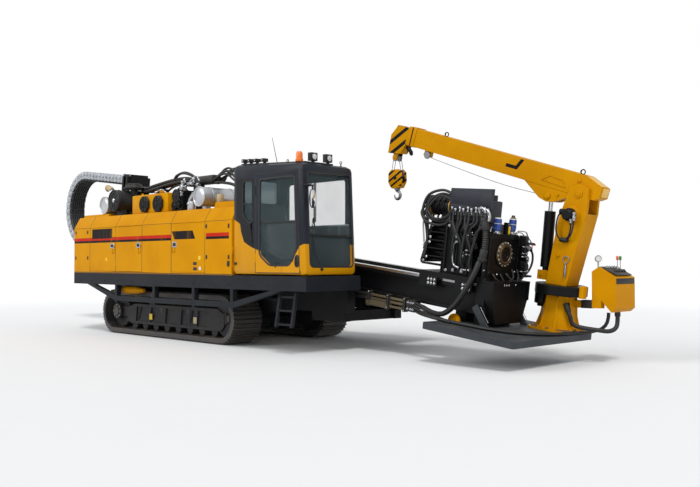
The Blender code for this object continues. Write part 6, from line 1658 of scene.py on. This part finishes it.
def vise_trim():
    """Ring with its bolts, motors with bands, bars at the side, seam, braces' slots, eye and spiral hose."""
    middle = on_mast(2.6045, 0, SPINDLE_HEIGHT)
    rim = Form()
    rim.turned([(0.0, 0.08), (0.0, 0.172), (0.008, 0.176), (0.022, 0.176), (0.03, 0.17), (0.032, 0.142),
        (0.046, 0.138), (0.05, 0.132), (0.05, 0.108), (0.044, 0.102), (0.03, 0.098), (0.02, 0.08)], middle,
        ALONG, 56)
    rim.made("ring_rim", "mast", "bronze")
    well = Form()
    well.boss([(0.034, 0.1015), (0.0425, 0.1015), (0.0425, 0.064), (0.036, 0.06)], middle, ALONG, 40)
    well.made("ring_well", "mast", "panel_black")
    a = turns(16) + 0.1
    studs = Form()
    studs.bolts(mast_points(np.stack([np.full(16, 2.6365), 0.156 * np.cos(a),
        SPINDLE_HEIGHT + 0.156 * np.sin(a)], -1)), ALONG, 0.011, 0.012)
    for y, n in ((-0.32, 1.17), (-0.32, 0.7), (0.31, 1.17), (0.31, 0.7), (-0.1, 0.665), (0.12, 0.665)):
        studs.bolts(on_mast(2.6045, y, n), ALONG, 0.013, 0.01)
    for s, n in ((2.57, 1.17), (2.57, 0.72)):
        studs.bolts(on_mast(s, -0.3605, n), -Y, 0.01, 0.01)
    for y in (-0.16, -0.11, -0.06, 0.1):
        studs.bolts(on_mast(2.7905, y, 0.545), ALONG, 0.011, 0.008)
    studs.made("ring_studs", "mast", "bright_steel")
    body, band, foot, cap = Form(), Form(), Form(), Form()
    for y in (-0.13, 0.22):
        low = on_mast(2.56, y, 1.221)
        foot.boss([(0.0, 0.06), (0.018, 0.062), (0.02, 0.04), (0.04, 0.036), (0.042, 0.0)], low, PROUD, 24)
        body.boss([(0.036, 0.036), (0.05, 0.05), (0.12, 0.054), (0.122, 0.05), (0.132, 0.05), (0.134, 0.054),
            (0.196, 0.052), (0.21, 0.044), (0.214, 0.0)], low, PROUD, 32)
        band.turned([(0.134, 0.05), (0.134, 0.0552), (0.142, 0.0552), (0.142, 0.05)], low, PROUD, 32)
        band.boss([(0.2, 0.049), (0.212, 0.045), (0.22, 0.036), (0.222, 0.0)], low, PROUD, 28)
    body.made("vise_motors", "mast", "blue", replaces=("vise_motor_near", "vise_motor_far"))
    foot.tube(mast_points([(2.52, -0.13, 1.3), (2.5, -0.18, 1.3), (2.5, -0.2, 1.25)]), 0.01, 8, 0.02)
    foot.made("motor_feet", "mast", "bright_steel")
    band.made("motor_caps", "mast", "white_plate")
    low = on_mast(2.56, 0.22, 1.221)
    cap.boss([(0.205, 0.04), (0.225, 0.04), (0.235, 0.026), (0.262, 0.024), (0.264, 0.0)], low, PROUD, 14)
    cap.made("motor_fitting", "mast", "brown_steel")
    stand = Form()
    stand.slab(rounded_outline(2.575, 1.221, 2.6, 1.33, 0.006), -0.125, -0.085, MAST_SIDE, 0.002)
    stand.made("motor_stand", "mast", "warning_yellow")
    stand = Form()
    stand.slab(rounded_outline(2.545, 1.221, 2.6, 1.38, 0.006), -0.075, -0.03, MAST_SIDE, 0.004)
    stand.slab([(2.6, 1.215), (2.604, 1.155), (2.618, 1.155), (2.618, 1.215)], -0.3, 0.32, MAST_SIDE, 0.003)
    for y0, y1 in ((-0.352, -0.325), (0.325, 0.352)):
        stand.slab([(2.604, 0.6), (2.62, 0.6), (2.62, 1.18), (2.604, 1.2)], -y1, -y0, MAST_SIDE, 0.003)
    side = (on_mast(2.66, 0.5, 0.88), MAST_FACE)
    stand.slab(rounded_outline(-0.13, -0.25, 0.135, -0.22, 0.01), -0.055, 0.02, side, 0.003)
    stand.slab(rounded_outline(-0.13, 0.21, 0.135, 0.24, 0.01), -0.055, 0.02, side, 0.003)
    stand.slab([(2.604, 1.06), (2.665, 1.06), (2.665, 1.2), (2.645, 1.215), (2.604, 1.215)], -0.5, -0.34,
        MAST_SIDE, 0.006)
    stand.slab([(2.604, 0.93), (2.668, 0.93), (2.668, 1.06), (2.604, 1.06)], -0.46, -0.36, MAST_SIDE, 0.005)
    stand.slab([(2.604, 0.68), (2.69, 0.74), (2.69, 0.8), (2.655, 0.86), (2.604, 0.86)], -0.52, -0.36,
        MAST_SIDE, 0.006)
    stand.made("vise_edges", "mast", "black_steel")
    bars = Form()
    for n in (0.715, 0.8, 0.92, 0.965, 1.06):
        bars.tube(mast_points([(2.665, 0.375, n), (2.676, 0.395, n), (2.676, 0.47, n), (2.665, 0.49, n)]),
            0.008, 8, 0.03)
    for n in (0.72, 0.88, 1.04):
        bars.boss([(0.0, 0.03), (0.012, 0.03), (0.014, 0.02), (0.026, 0.02), (0.028, 0.0)],
            on_mast(2.664, 0.5, n), ALONG, 6)
    bars.tube(mast_points([(2.59, 0.3, 1.24), (2.59, 0.34, 1.27), (2.59, 0.52, 1.26), (2.6, 0.56, 1.2),
        (2.66, 0.58, 1.12)]), 0.009, 8, 0.02)
    bars.tube(mast_points([(2.56, 0.3, 1.235), (2.56, 0.36, 1.25), (2.56, 0.48, 1.235), (2.6, 0.52, 1.16)]),
        0.008, 8, 0.02)
    for y in (-0.456, 0.454):
        bars.tube(mast_points([(2.648, y, 0.234), (2.788, y, 0.054)]), 0.0045, 6, 0.2)
    bars.made("vise_bars", "mast", "bright_steel")
    tag = Form()
    tag.slab(rounded_outline(2.6, 1.08, 2.69, 1.11, 0.008), -0.645, -0.64, MAST_SIDE, 0.001)
    tag.slab(rounded_outline(0.075, 0.14, 0.1, 0.2, 0.006), 0.008, 0.012,
        (on_mast(2.66, 0.5, 0.88), MAST_FACE), 0.001)
    tag.made("vise_tag", "mast", "orange")
    seam = Form()
    seam.slab([(2.545, 0.575), (2.8, 0.575), (2.8, 0.592), (2.545, 0.592)], -0.43, 0.43, MAST_SIDE, 0.004)
    seam.both([(2.785, 0.33), (2.8, 0.33), (2.8, 0.58), (2.785, 0.58)], 0.405, 0.43, MAST_SIDE, 0.004)
    seam.made("cradle_seam", "mast", "black_steel")
    hose = Form()
    hose.tube(mast_points([(2.56, -0.43, 1.36), (2.585, -0.435, 1.28), (2.6, -0.44, 1.12),
        (2.6, -0.445, 0.98), (2.59, -0.45, 0.9)]), 0.04, 14, 0.007, ribs=0.008, pitch=0.028)
    for k in range(3):
        hose.tube(mast_points([(2.55, -0.37 - 0.02 * k, 1.25 + 0.03 * k), (2.53, -0.4, 1.34 + 0.03 * k),
            (2.555, -0.42, 1.43), (2.575, -0.43, 1.36)]), 0.015, 8, 0.03)
    for y0, y1, drop in ((-0.22, 0.18, 0.1), (-0.05, 0.3, 0.16), (0.1, 0.42, 0.08)):
        hose.tube(mast_points([(2.63, y0, 0.66), (2.68, y0 + 0.03, 0.64 - drop * 0.4),
            (2.7, (y0 + y1) / 2, 0.66 - drop), (2.68, y1, 0.66 - drop * 0.3), (2.64, y1 + 0.02, 0.72)]),
            0.013, 8, 0.03)
    hose.tube(mast_points([(2.67, 0.54, 1.04), (2.7, 0.57, 0.96), (2.7, 0.58, 0.84), (2.68, 0.54, 0.72),
        (2.66, 0.46, 0.66)]), 0.016, 8, 0.03)
    hose.made("vise_hoses", "mast", "rubber")
    eye = Form()
    a = np.linspace(math.pi, 0, 25)
    eye.slab(np.stack([2.2 + 0.094 * np.cos(a), -0.0295 + 0.11 * np.sin(a)], -1), 0.394, 0.446, MAST_SIDE,
        0.005)
    eye.boss([(0.0, 0.045), (0.008, 0.043), (0.01, 0.0)], on_mast(2.2, -0.446, 0.022), -Y, 24)
    eye.made("anchor_eye", "mast", "yellow")


def crane_trim():
    """Bolted foot, ribs, gear case and bracket of the base, winch motor, hoses and tool of the column."""
    a = turns(24)
    nuts = Form()
    across = np.stack([np.cos(a), np.sin(a)], -1)
    flat = 0.275 * np.sign(across) * np.abs(across) ** 0.35
    ring = np.concatenate([flat, np.full((24, 1), 0.0335)], -1)
    nuts.bolts(crane_points(ring), PROUD, 0.016, 0.018)
    nuts.made("crane_nuts", "mast", "brown_steel")
    ribs = Form()
    for turn in range(8):
        c, s = math.cos(turn * math.pi / 4 + math.pi / 8), math.sin(turn * math.pi / 4 + math.pi / 8)
        axes = (on_crane(0, 0, 0), np.array([ALONG * c + ACROSS * s, PROUD, ACROSS * c - ALONG * s]))
        ribs.slab([(0.2, 0.033), (0.315, 0.033), (0.3, 0.06), (0.252, 0.22), (0.225, 0.48), (0.19, 0.48)],
            -0.01, 0.01, axes, 0.002)
    ribs.slab([(0.34, 0.49), (0.405, 0.49), (0.405, 0.655), (0.34, 0.655)], 0.02, 0.12,
        (on_crane(0, 0, 0), MAST_SIDE[1]), 0.006)
    ribs.made("crane_ribs", "mast", "yellow")
    guard = Form()
    foot = on_crane(0, 0, 0.498)
    guard.turned([(0.0, 0.25), (0.0, 0.35), (0.006, 0.356), (0.125, 0.356), (0.131, 0.35), (0.131, 0.344),
        (0.012, 0.344), (0.012, 0.25)], foot, PROUD, 56)
    guard.boss([(-0.16, 0.085), (-0.15, 0.095), (-0.02, 0.095), (0.0, 0.105)], on_crane(-0.235, -0.1, 0.5),
        PROUD, 28)
    guard.boss([(-0.2, 0.05), (-0.16, 0.055)], on_crane(-0.235, -0.1, 0.5), PROUD, 20)
    guard.made("gear_case", "mast", "black_steel")
    face = -0.16
    disc = Form()
    disc.boss([(0.0, 0.118), (0.01, 0.12), (0.016, 0.112), (0.016, 0.095), (0.034, 0.09), (0.036, 0.0)],
        on_crane(0.136, face, 1.594), -Y, 40)
    disc.slab(rounded_outline(-0.02, 1.02, 0.02, 1.045, 0.004), 0.16, 0.185,
        (on_crane(0, 0, 0), MAST_SIDE[1]), 0.002)
    disc.made("winch_flange", "crane_column", "yellow")
    motor = Form()
    place = on_crane(0.136, -0.165, 1.594)
    motor.boss([(0.0, 0.09), (0.075, 0.09), (0.08, 0.078), (0.09, 0.076), (0.135, 0.074), (0.148, 0.062),
        (0.149, 0.0)], place, -Y, 30)
    motor.boss([(0.0, 0.04), (0.12, 0.04), (0.13, 0.03)], on_crane(0.015, -0.25, 1.625), ALONG, 20)
    motor.made("winch_motor", "crane_column", "black_steel")
    silver = Form()
    for dx, dz in ((0.225, 1.615), (0.23, 1.565), (0.19, 1.53)):
        silver.boss([(0.0, 0.022), (0.03, 0.022), (0.034, 0.016), (0.052, 0.016)], on_crane(dx, -0.225, dz),
            -Y, 12)
        silver.boss([(0.0, 0.018), (0.045, 0.018), (0.05, 0.012)], on_crane(dx, -0.255, dz), -PROUD, 12)
    silver.tube(crane_points([(0.12, -0.17, 1.03), (0.09, -0.175, 1.015), (0.095, -0.175, 0.97),
        (0.13, -0.175, 0.935), (0.165, -0.175, 0.97), (0.17, -0.175, 1.015), (0.13, -0.175, 1.03)]), 0.006,
        8, 0.012)
    silver.boss([(0.0, 0.008), (0.03, 0.008), (0.035, 0.017), (0.16, 0.017), (0.17, 0.011), (0.2, 0.008),
        (0.202, 0.0)], on_crane(0.132, -0.178, 0.94), -PROUD, 14)
    silver.made("winch_fittings", "crane_column", "bright_steel")
    hoses = Form()
    hoses.tube(crane_points([(0.05, -0.22, 1.63), (-0.01, -0.24, 1.58), (-0.035, -0.24, 1.45),
        (-0.025, -0.23, 1.33), (0.03, -0.21, 1.255), (0.1, -0.195, 1.245)]), 0.011, 10, 0.02)
    hoses.tube(crane_points([(0.23, -0.255, 1.53), (0.225, -0.25, 1.42), (0.195, -0.24, 1.32),
        (0.14, -0.215, 1.26), (0.08, -0.195, 1.25)]), 0.011, 10, 0.02)
    hoses.tube(crane_points([(0.19, -0.255, 1.49), (0.185, -0.24, 1.4), (0.16, -0.225, 1.31),
        (0.11, -0.2, 1.26)]), 0.011, 10, 0.02)
    hoses.boss([(0.0, 0.025), (0.02, 0.032), (0.1, 0.032), (0.12, 0.025)], on_crane(0.015, -0.193, 1.248),
        ALONG, 18)
    hoses.made("winch_hoses", "crane_column", "rubber")
    pins = Form()
    for y, axis in ((-0.161, -Y), (0.161, Y)):
        pins.boss([(0.0, 0.058), (0.01, 0.056), (0.012, 0.035), (0.02, 0.033), (0.021, 0.0)],
            on_crane(0.21, y, 1.88), axis, 28)
    pins.made("column_pins", "crane_column", "yellow")


def boom_trim():
    """Gusset frame, end collars, tail block, eyes, pins, rope and small sheave of the outer boom."""
    plate = Form()
    loop = rounded_polygon([(0.245, 0.02), (0.3, 0.115), (0.53, 0.135), (0.66, 0.04)], 0.015)
    inner = rounded_polygon([(0.262, 0.027), (0.31, 0.105), (0.523, 0.122), (0.638, 0.043)], 0.012)
    for y, proud in ((-0.1125, -0.004), (0.1105, 0.004)):
        plate.grid([boom_points(np.insert(edge, 1, y + level, axis=1))
            for edge, level in ((loop, 0.0), (loop, proud), (inner, proud), (inner, 0.0))], caps=False)
    for x, n, r in ((0.4908, -0.1504, 0.052), (0.07, 0.17, 0.03), (0.33, -0.1, 0.014)):
        for y, axis in ((-0.111, -Y), (0.111, Y)):
            plate.boss([(0.0, r), (0.012, r * 0.96), (0.014, r * 0.6), (0.02, r * 0.55), (0.021, 0.0)],
                on_boom(x, y, n), axis, 26)
    for low, high in ((3.1, 3.16), (3.19, 3.252)):
        outline = rounded_outline(-0.119, -0.045, 0.119, 0.265, 0.02)
        ring = np.concatenate([outline, outline[:1]])
        hole = rounded_outline(-0.1085, -0.034, 0.1085, 0.2535, 0.012)
        hole = np.concatenate([hole, hole[:1]])
        axes = np.array([-Y, BOOM[2], BOOM[1]])
        plate.grid([on_boom(low, 0, 0) + np.insert(edge, 2, level, axis=1) @ axes
            for edge, level in ((hole, 0.0), (ring, 0.0), (ring, high - low), (hole, high - low),
                (hole, 0.0))], caps=False)
    plate.made("boom_plates", "boom", "yellow")
    pale = Form()
    slope = unit(np.array((0.28, 0.0, 0.1)))
    down = slope[0] * BOOM[1] + slope[2] * BOOM[2]
    out = slope[0] * BOOM[2] - slope[2] * BOOM[1]
    foot = on_boom(-0.28, 0, 0.155)
    pale.slab(rounded_outline(0.02, -0.085, 0.275, 0.085, 0.012), -0.001, 0.008,
        (foot, np.array([down, Y, out])), 0.002)
    pale.slab(rounded_outline(0.028, -0.08, 0.15, 0.08, 0.012), 0.2805, 0.288,
        (BOOM[0], np.array([BOOM[2], Y, -BOOM[1]])), 0.002)
    pale.made("boom_tail", "boom", "boom_pale")
    eyes = Form()
    for x in (0.1, 2.55):
        foot = on_boom(x, -0.03, 0.255)
        a = np.linspace(0, 2 * math.pi, 17)
        eyes.tube(foot + 0.032 * (np.cos(a)[:, None] * BOOM[1] + (1 + np.sin(a))[:, None] * BOOM[2]), 0.008,
            8, 0.012)
        eyes.boss([(-0.002, 0.018), (0.006, 0.018), (0.007, 0.0)], foot, BOOM[2], 14)
    eyes.made("boom_eyes", "boom", "black_steel")
    rope = Form()
    line = boom_points([(0.62, -0.09, -0.165), (1.4, -0.09, -0.185), (2.75, -0.09, -0.12)])
    rope.tube(line, 0.0045, 6, 0.2)
    rope.boss([(-0.012, 0.058), (-0.004, 0.046), (0.004, 0.046), (0.012, 0.058)], on_boom(2.8, -0.075, -0.1),
        -Y, 28)
    rope.made("boom_rope", "boom", "steel")
    hanger = Form()
    hanger.slab([(2.72, -0.12), (2.9, -0.12), (2.88, -0.034), (2.72, -0.034)], -0.055, -0.03, BOOM_SIDE,
        0.003)
    hanger.made("sheave_hanger", "boom", "yellow")
    arm = Form()
    arm.slab([(3.3, -0.05), (3.24, -0.07), (3.17, -0.12), (3.15, -0.165), (3.17, -0.19), (3.2, -0.18),
        (3.235, -0.135), (3.33, -0.09)], -0.035, 0.0, BOOM_SIDE, 0.006)
    arm.slab([(3.44, -0.205), (3.62, -0.205), (3.62, -0.05), (3.5, -0.02)], -0.075, 0.075, BOOM_SIDE, 0.006)
    arm.made("limit_arm", "telescope", "black_steel")


def hook_trim(settings):
    """Hook block of two cheeks over a sheave, its ropes, and the hook on its swivel."""
    sideways = (HOOK_PIN, SIDE_ON)
    cheek = [(-0.09, -0.195), (0.09, -0.195), (0.145, -0.25), (0.15, -0.4), (0.085, -0.5), (-0.085, -0.5),
        (-0.15, -0.4), (-0.145, -0.25)]
    cheeks = Form()
    shape = rounded_polygon(cheek, 0.025)
    cheeks.both(shape, 0.046, 0.062, sideways, 0.004)
    cheeks.slab([(-0.085, -0.5), (0.085, -0.5), (0.125, -0.42), (0.1, -0.42), (0.07, -0.475),
        (-0.07, -0.475), (-0.1, -0.42), (-0.125, -0.42)], -0.048, 0.048, sideways, 0.003)
    cheeks.made("block_cheeks", "hook", "block_yellow", replaces=("hook_block",))
    sheave = Form()
    middle = HOOK_PIN + np.array((0, 0, -0.33))
    for y in (-0.022, 0.022):
        sheave.boss([(-0.018, 0.128), (-0.006, 0.112), (0.006, 0.112), (0.018, 0.128)], middle + y * Y, Y,
            36)
    sheave.boss([(-0.07, 0.028), (-0.064, 0.034), (0.064, 0.034), (0.07, 0.028)], middle, Y, 20)
    sheave.made("block_sheave", "hook", "black_steel")
    ropes = Form()
    for x in (-1, 1):
        for y in (-0.028, 0.028):
            top = HOOK_PIN + np.array((x * 0.055, y, 0.0))
            ropes.tube([top, HOOK_PIN + np.array((x * 0.118, y, -0.31))], settings.hook_rope, 6, 0.2)
    ropes.boss([(-0.052, 0.062), (-0.038, 0.052), (0.038, 0.052), (0.052, 0.062)], HOOK_PIN, Y, 28)
    ropes.made("block_ropes", "hook", "steel")
    hook = Form()
    low = HOOK_PIN + np.array((0, 0, -0.495))
    hook.boss([(0.0, 0.046), (0.012, 0.05), (0.03, 0.05), (0.036, 0.036), (0.06, 0.028), (0.062, 0.0)], low,
        -Z, 24)
    # The bow's middle line is 285 degrees of a circle. Its section is an ellipse that swells as a sine of
    # the way along, and thins to the tip as the fourth power.
    t = np.linspace(0.0, 1.0, 34)
    a = math.radians(95) - t * math.radians(285)
    ring = np.stack([0.062 * np.cos(a), np.zeros(34), -0.118 + 0.062 * np.sin(a)], -1)
    path = np.concatenate([[(0.0, 0.0, -0.035)], ring])
    swell = np.sin(math.pi * np.clip(t * 1.15, 0, 1))
    thick = np.concatenate([[0.021], 0.019 + 0.009 * swell - 0.01 * t ** 4])
    spots = low + path
    way = np.gradient(spots, axis=0)
    way /= np.linalg.norm(way, axis=1)[:, None]
    over = np.cross(Y, way)
    b = turns(14)[None, :, None]
    hook.grid(spots[:, None] + thick[:, None, None] * (np.cos(b) * Y * 0.85 + np.sin(b) * over[:, None]))
    hook.made("hook_bow", "hook", "steel")


def console_trim():
    """Black panel, gauge and levers of the console, its arm's black end and the hose beneath."""
    panel = Form()
    front = (np.array((CONSOLE_FRONT, CONSOLE_MIDDLE, 0.0)), END_ON[1])
    panel.slab(rounded_outline(-0.245, 1.075, 0.245, 1.15, 0.012), -0.006, 0.004, front, 0.002)
    deck = [(6.6, 1.3065), (6.66, 1.2895), (6.845, 1.1985), (6.845, 1.1905), (6.66, 1.28), (6.6, 1.297)]
    panel.slab(deck, -0.215, 0.215, (CONSOLE_MIDDLE * Y, SIDE_ON), 0.001)
    for y in (0.87, 0.95, 1.03, 1.11):
        panel.boss([(0.0, 0.04), (0.008, 0.038), (0.016, 0.026), (0.024, 0.024), (0.03, 0.014)],
            (6.74, y, 1.24), Z, 20)
    panel.made("console_panel", "mast", "plastic_black")
    gauge = Form()
    place = np.array((6.575, 0.735, 1.296))
    gauge.boss([(0.0, 0.014), (0.01, 0.014), (0.012, 0.009), (0.075, 0.009)], place, Z, 12)
    face = unit(np.array((0.7, -0.7, 0.12)))
    head = place + np.array((0.0, 0.0, 0.115))
    gauge.turned([(-0.02, 0.0), (-0.02, 0.043), (0.014, 0.046), (0.018, 0.044), (0.018, 0.04),
        (0.01, 0.038)], head, face, 32)
    gauge.boss([(-0.01, 0.012), (0.05, 0.012)], head - Z * 0.075, Z, 10)
    for k in range(5):
        gauge.boss([(0.0, 0.011), (0.006, 0.011), (0.007, 0.005), (0.022, 0.005), (0.022, 0.009),
            (0.03, 0.009), (0.031, 0.0)], np.array((6.668, 0.8 + 0.065 * k, 1.288)), Z, 12)
    gauge.made("console_gauge", "mast", "bright_steel")
    dial = Form()
    dial.boss([(0.0, 0.0385), (0.0015, 0.038), (0.002, 0.0)], head + face * 0.0095, face, 28)
    dial.made("gauge_face", "mast", "white_plate")
    for name, y, finish in (("lever_orange", 0.95, "orange"), ("lever_green", 1.03, "green")):
        foot = np.array((6.74, y, 1.2703))
        stem = Form()
        stem.boss([(-0.008, 0.006), (0.0, 0.0085), (0.01, 0.007), (0.14, 0.0055), (0.141, 0.0)], foot, Z, 12)
        stem.made(name + "_stem", name, "bright_steel", replaces=(name,))
        knob = Form()
        knob.boss([(0.12, 0.012), (0.128, 0.016), (0.15, 0.018), (0.17, 0.016), (0.178, 0.009),
            (0.179, 0.0)], foot, Z, 18)
        knob.made(name + "_knob", name, finish)
    arm = Form()
    arm.slab(rounded_outline(0.655, 0.745, 0.765, 0.856, 0.01), 6.36, 6.519, END_ON, 0.004)
    arm.made("console_arm_end", "mast", "plastic_black")
    hose = Form()
    hose.tube(np.concatenate([crane_points([(0.2, -0.15, 0.36), (0.26, -0.15, 0.24), (0.32, -0.1, 0.12)]),
        [(6.6, 0.7, 0.455), (6.7, 0.82, 0.445), (6.745, 0.9, 0.5), (6.745, 0.935, 0.62),
        (6.74, 0.94, 0.715)]]), 0.03, 12, 0.02)
    hose.made("console_hose", "mast", "rubber")


class DRILL_OT_vise(bpy.types.Operator):
    """Ring, motors, bars, hoses and the anchor's eye"""
    bl_idname = "drill.vise"
    bl_label = "Vise and anchor"

    def execute(self, context):
        vise_trim()
        return {"FINISHED"}


class DRILL_OT_crane(bpy.types.Operator):
    """Fittings of the crane's base, column and boom, and the hook block"""
    bl_idname = "drill.crane"
    bl_label = "Loader crane"

    def execute(self, context):
        crane_trim()
        boom_trim()
        hook_trim(context.scene.drill_trim)
        return {"FINISHED"}


class DRILL_OT_console(bpy.types.Operator):
    """Panel, gauge and levers of the console"""
    bl_idname = "drill.console"
    bl_label = "Console"

    def execute(self, context):
        console_trim()
        return {"FINISHED"}


# Far side and deck, which the photograph hides: straps, caps, gauges, grab rails, grilles and tread plates.

def far_trim():
    """Straps, caps, sight gauges, covers and rails of the tanks, treads and the housing's grilles."""
    straps, caps, rails, grilles, treads = Form(), Form(), Form(), Form(), Form()
    tanks = ((-3.5, -1.3, -1.6), (-1.2, 0.9, 0.6))
    low, high, inner, outer = 1.162, 1.7805, 0.56, 1.56
    for x0, x1, cap in tanks:
        for x in (x0 + 0.36, (x0 + x1) / 2, x1 - 0.36):
            path = [(x, outer + 0.006, low), (x, outer + 0.006, high - 0.05),
                (x, outer - 0.05, high + 0.006), (x, inner + 0.05, high + 0.006),
                (x, inner - 0.006, high - 0.05), (x, inner - 0.006, low)]
            straps.slab([(y, z) for _, y, z in path] + [(inner + 0.006, low), (inner + 0.006, high - 0.055),
                (inner + 0.055, high - 0.004), (outer - 0.055, high - 0.004), (outer - 0.006, high - 0.055),
                (outer - 0.006, low)], x - 0.03, x + 0.03, END_ON, 0.002)
            straps.bolts([(x, outer + 0.006, low + 0.05), (x, outer + 0.006, low + 0.55)], Y, 0.012, 0.01)
        caps.boss([(0.0, 0.09), (0.035, 0.09), (0.045, 0.08), (0.05, 0.03), (0.062, 0.026), (0.064, 0.0)],
            (cap, 1.2, high + 0.056), Z, 32)
        caps.boss([(0.0, 0.13), (0.012, 0.125), (0.014, 0.0)], (cap - 0.55, 1.0, high), Z, 36)
        a = turns(10)
        caps.bolts(np.stack([cap - 0.55 + 0.108 * np.cos(a), 1.0 + 0.108 * np.sin(a),
            np.full(10, high + 0.013)], -1), Z, 0.009, 0.008)
        side = (np.zeros(3), FAR_ON)
        mid = (x0 + x1) / 2
        caps.slab(rounded_outline(-mid - 0.52, low + 0.14, -mid - 0.46, low + 0.48, 0.02), outer - 0.002,
            outer + 0.016, side, 0.004)
        for x in (x0 + 0.18, x1 - 0.18):
            rails.tube([(x, outer - 0.16, high - 0.004), (x, outer - 0.16, high + 0.05),
                (x, outer - 0.52, high + 0.05), (x, outer - 0.52, high - 0.004)], 0.012, 10, 0.02)
        for k in range(4):
            grilles.slab(rounded_outline(-x1 + 0.5 + 0.3 * k, low + 0.1, -x1 + 0.52 + 0.3 * k, low + 0.52,
                0.004), outer - 0.002, outer + 0.008, side, 0.002)
    straps.made("tank_straps", "chassis", "steel")
    caps.made("tank_caps", "chassis", "steel")
    for x in np.arange(-3.45, 0.9, 0.62):
        rails.bolts([(x, 1.6, 1.02)], Y, 0.012, 0.008)
    for x in np.arange(1.1, 3.3, 0.1):
        for y in np.arange(0.8, 1.55, 0.1):
            k = int(round(x * 10) + round(y * 10)) % 2
            dx, dy = (0.03, 0.007) if k else (0.007, 0.03)
            treads.slab([(x - dx, y), (x, y - dy), (x + dx, y), (x, y + dy)], 1.1595, 1.164, LEVEL, 0.0)
    treads.made("deck_treads", "chassis", "frame_grey")
    for x0, x1 in ((-3.3, -2.75), (-1.75, -1.15), (-0.35, 0.25)):
        for k in range(9):
            z = 1.42 + 0.075 * k
            grilles.slab([(z, 0.0), (z + 0.045, 0.018), (z + 0.05, 0.018), (z + 0.012, 0.0)], x0, x1,
                (np.array((0, -0.5605, 0)), np.array([Z, Y, X])), 0.0)
    grilles.made("inner_grilles", "chassis", "black_steel")
    rails.made("tank_rails", "chassis", "black_steel")


class DRILL_OT_far_side(bpy.types.Operator):
    """Straps, caps, rails, grilles and treads of the far side"""
    bl_idname = "drill.far_side"
    bl_label = "Far side"

    def execute(self, context):
        far_trim()
        return {"FINISHED"}


class StageSettings(bpy.types.PropertyGroup):
    """Floor and lamps."""
    floor_colour: bpy.props.FloatVectorProperty(
        name="Floor colour", description="Colour of the pale floor", subtype="COLOR", size=3,
        default=(0.86, 0.86, 0.86), min=0.0, max=1.0)
    key: bpy.props.FloatProperty(
        name="Key lamp", description="Strength of the main lamp", default=1.6, min=0.0)
    side: bpy.props.FloatProperty(
        name="Side lamp", description="Strength of the lamp on the cab's side", default=1.0, min=0.0)
    fill: bpy.props.FloatProperty(
        name="Fill", description="Strength of the light from all round", default=0.5, min=0.0)


class DRILL_OT_stage(bpy.types.Operator):
    """Floor, surroundings, lamps and the camera at the photograph's angle"""
    bl_idname = "drill.stage"
    bl_label = "Stage"

    def execute(self, context):
        stage(context.scene.drill_stage)
        return {"FINISHED"}


class DRILL_OT_paints(bpy.types.Operator):
    """Every finish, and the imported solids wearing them"""
    bl_idname = "drill.paints"
    bl_label = "Paints"

    def execute(self, context):
        paints()
        carried_over(context.scene.drill_trim)
        return {"FINISHED"}


class DRILL_PT_panel(bpy.types.Panel):
    """The pieces of the drill, in the order in which they are made"""
    bl_label = "Drill"
    bl_idname = "DRILL_PT_panel"
    bl_space_type = "VIEW_3D"
    bl_region_type = "UI"
    bl_category = "Drill"

    def draw(self, context):
        for operator in OPERATORS:
            self.layout.operator(operator.bl_idname)
        for key, group in GROUPS:
            for name in group.__annotations__:
                self.layout.prop(getattr(context.scene, key), name)


OPERATORS = (DRILL_OT_stage, DRILL_OT_paints, DRILL_OT_housing, DRILL_OT_cab, DRILL_OT_undercarriage,
    DRILL_OT_engine, DRILL_OT_chain, DRILL_OT_head, DRILL_OT_feed, DRILL_OT_vise, DRILL_OT_crane,
    DRILL_OT_console, DRILL_OT_far_side)
GROUPS = (("drill_stage", StageSettings), ("drill_paint", PaintSettings), ("drill_trim", TrimSettings))
CLASSES = (*(group for _, group in GROUPS), *OPERATORS, DRILL_PT_panel)


def register():
    for item in CLASSES:
        bpy.utils.register_class(item)
    for key, group in GROUPS:
        setattr(bpy.types.Scene, key, bpy.props.PointerProperty(type=group))


def unregister():
    for key, _ in GROUPS:
        delattr(bpy.types.Scene, key)
    for item in reversed(CLASSES):
        bpy.utils.unregister_class(item)


def main():
    """Make every piece in order."""
    register()
    for operator in OPERATORS:
        group, name = operator.bl_idname.split(".")
        getattr(getattr(bpy.ops, group), name)()


if __name__ == "__main__":
    main()
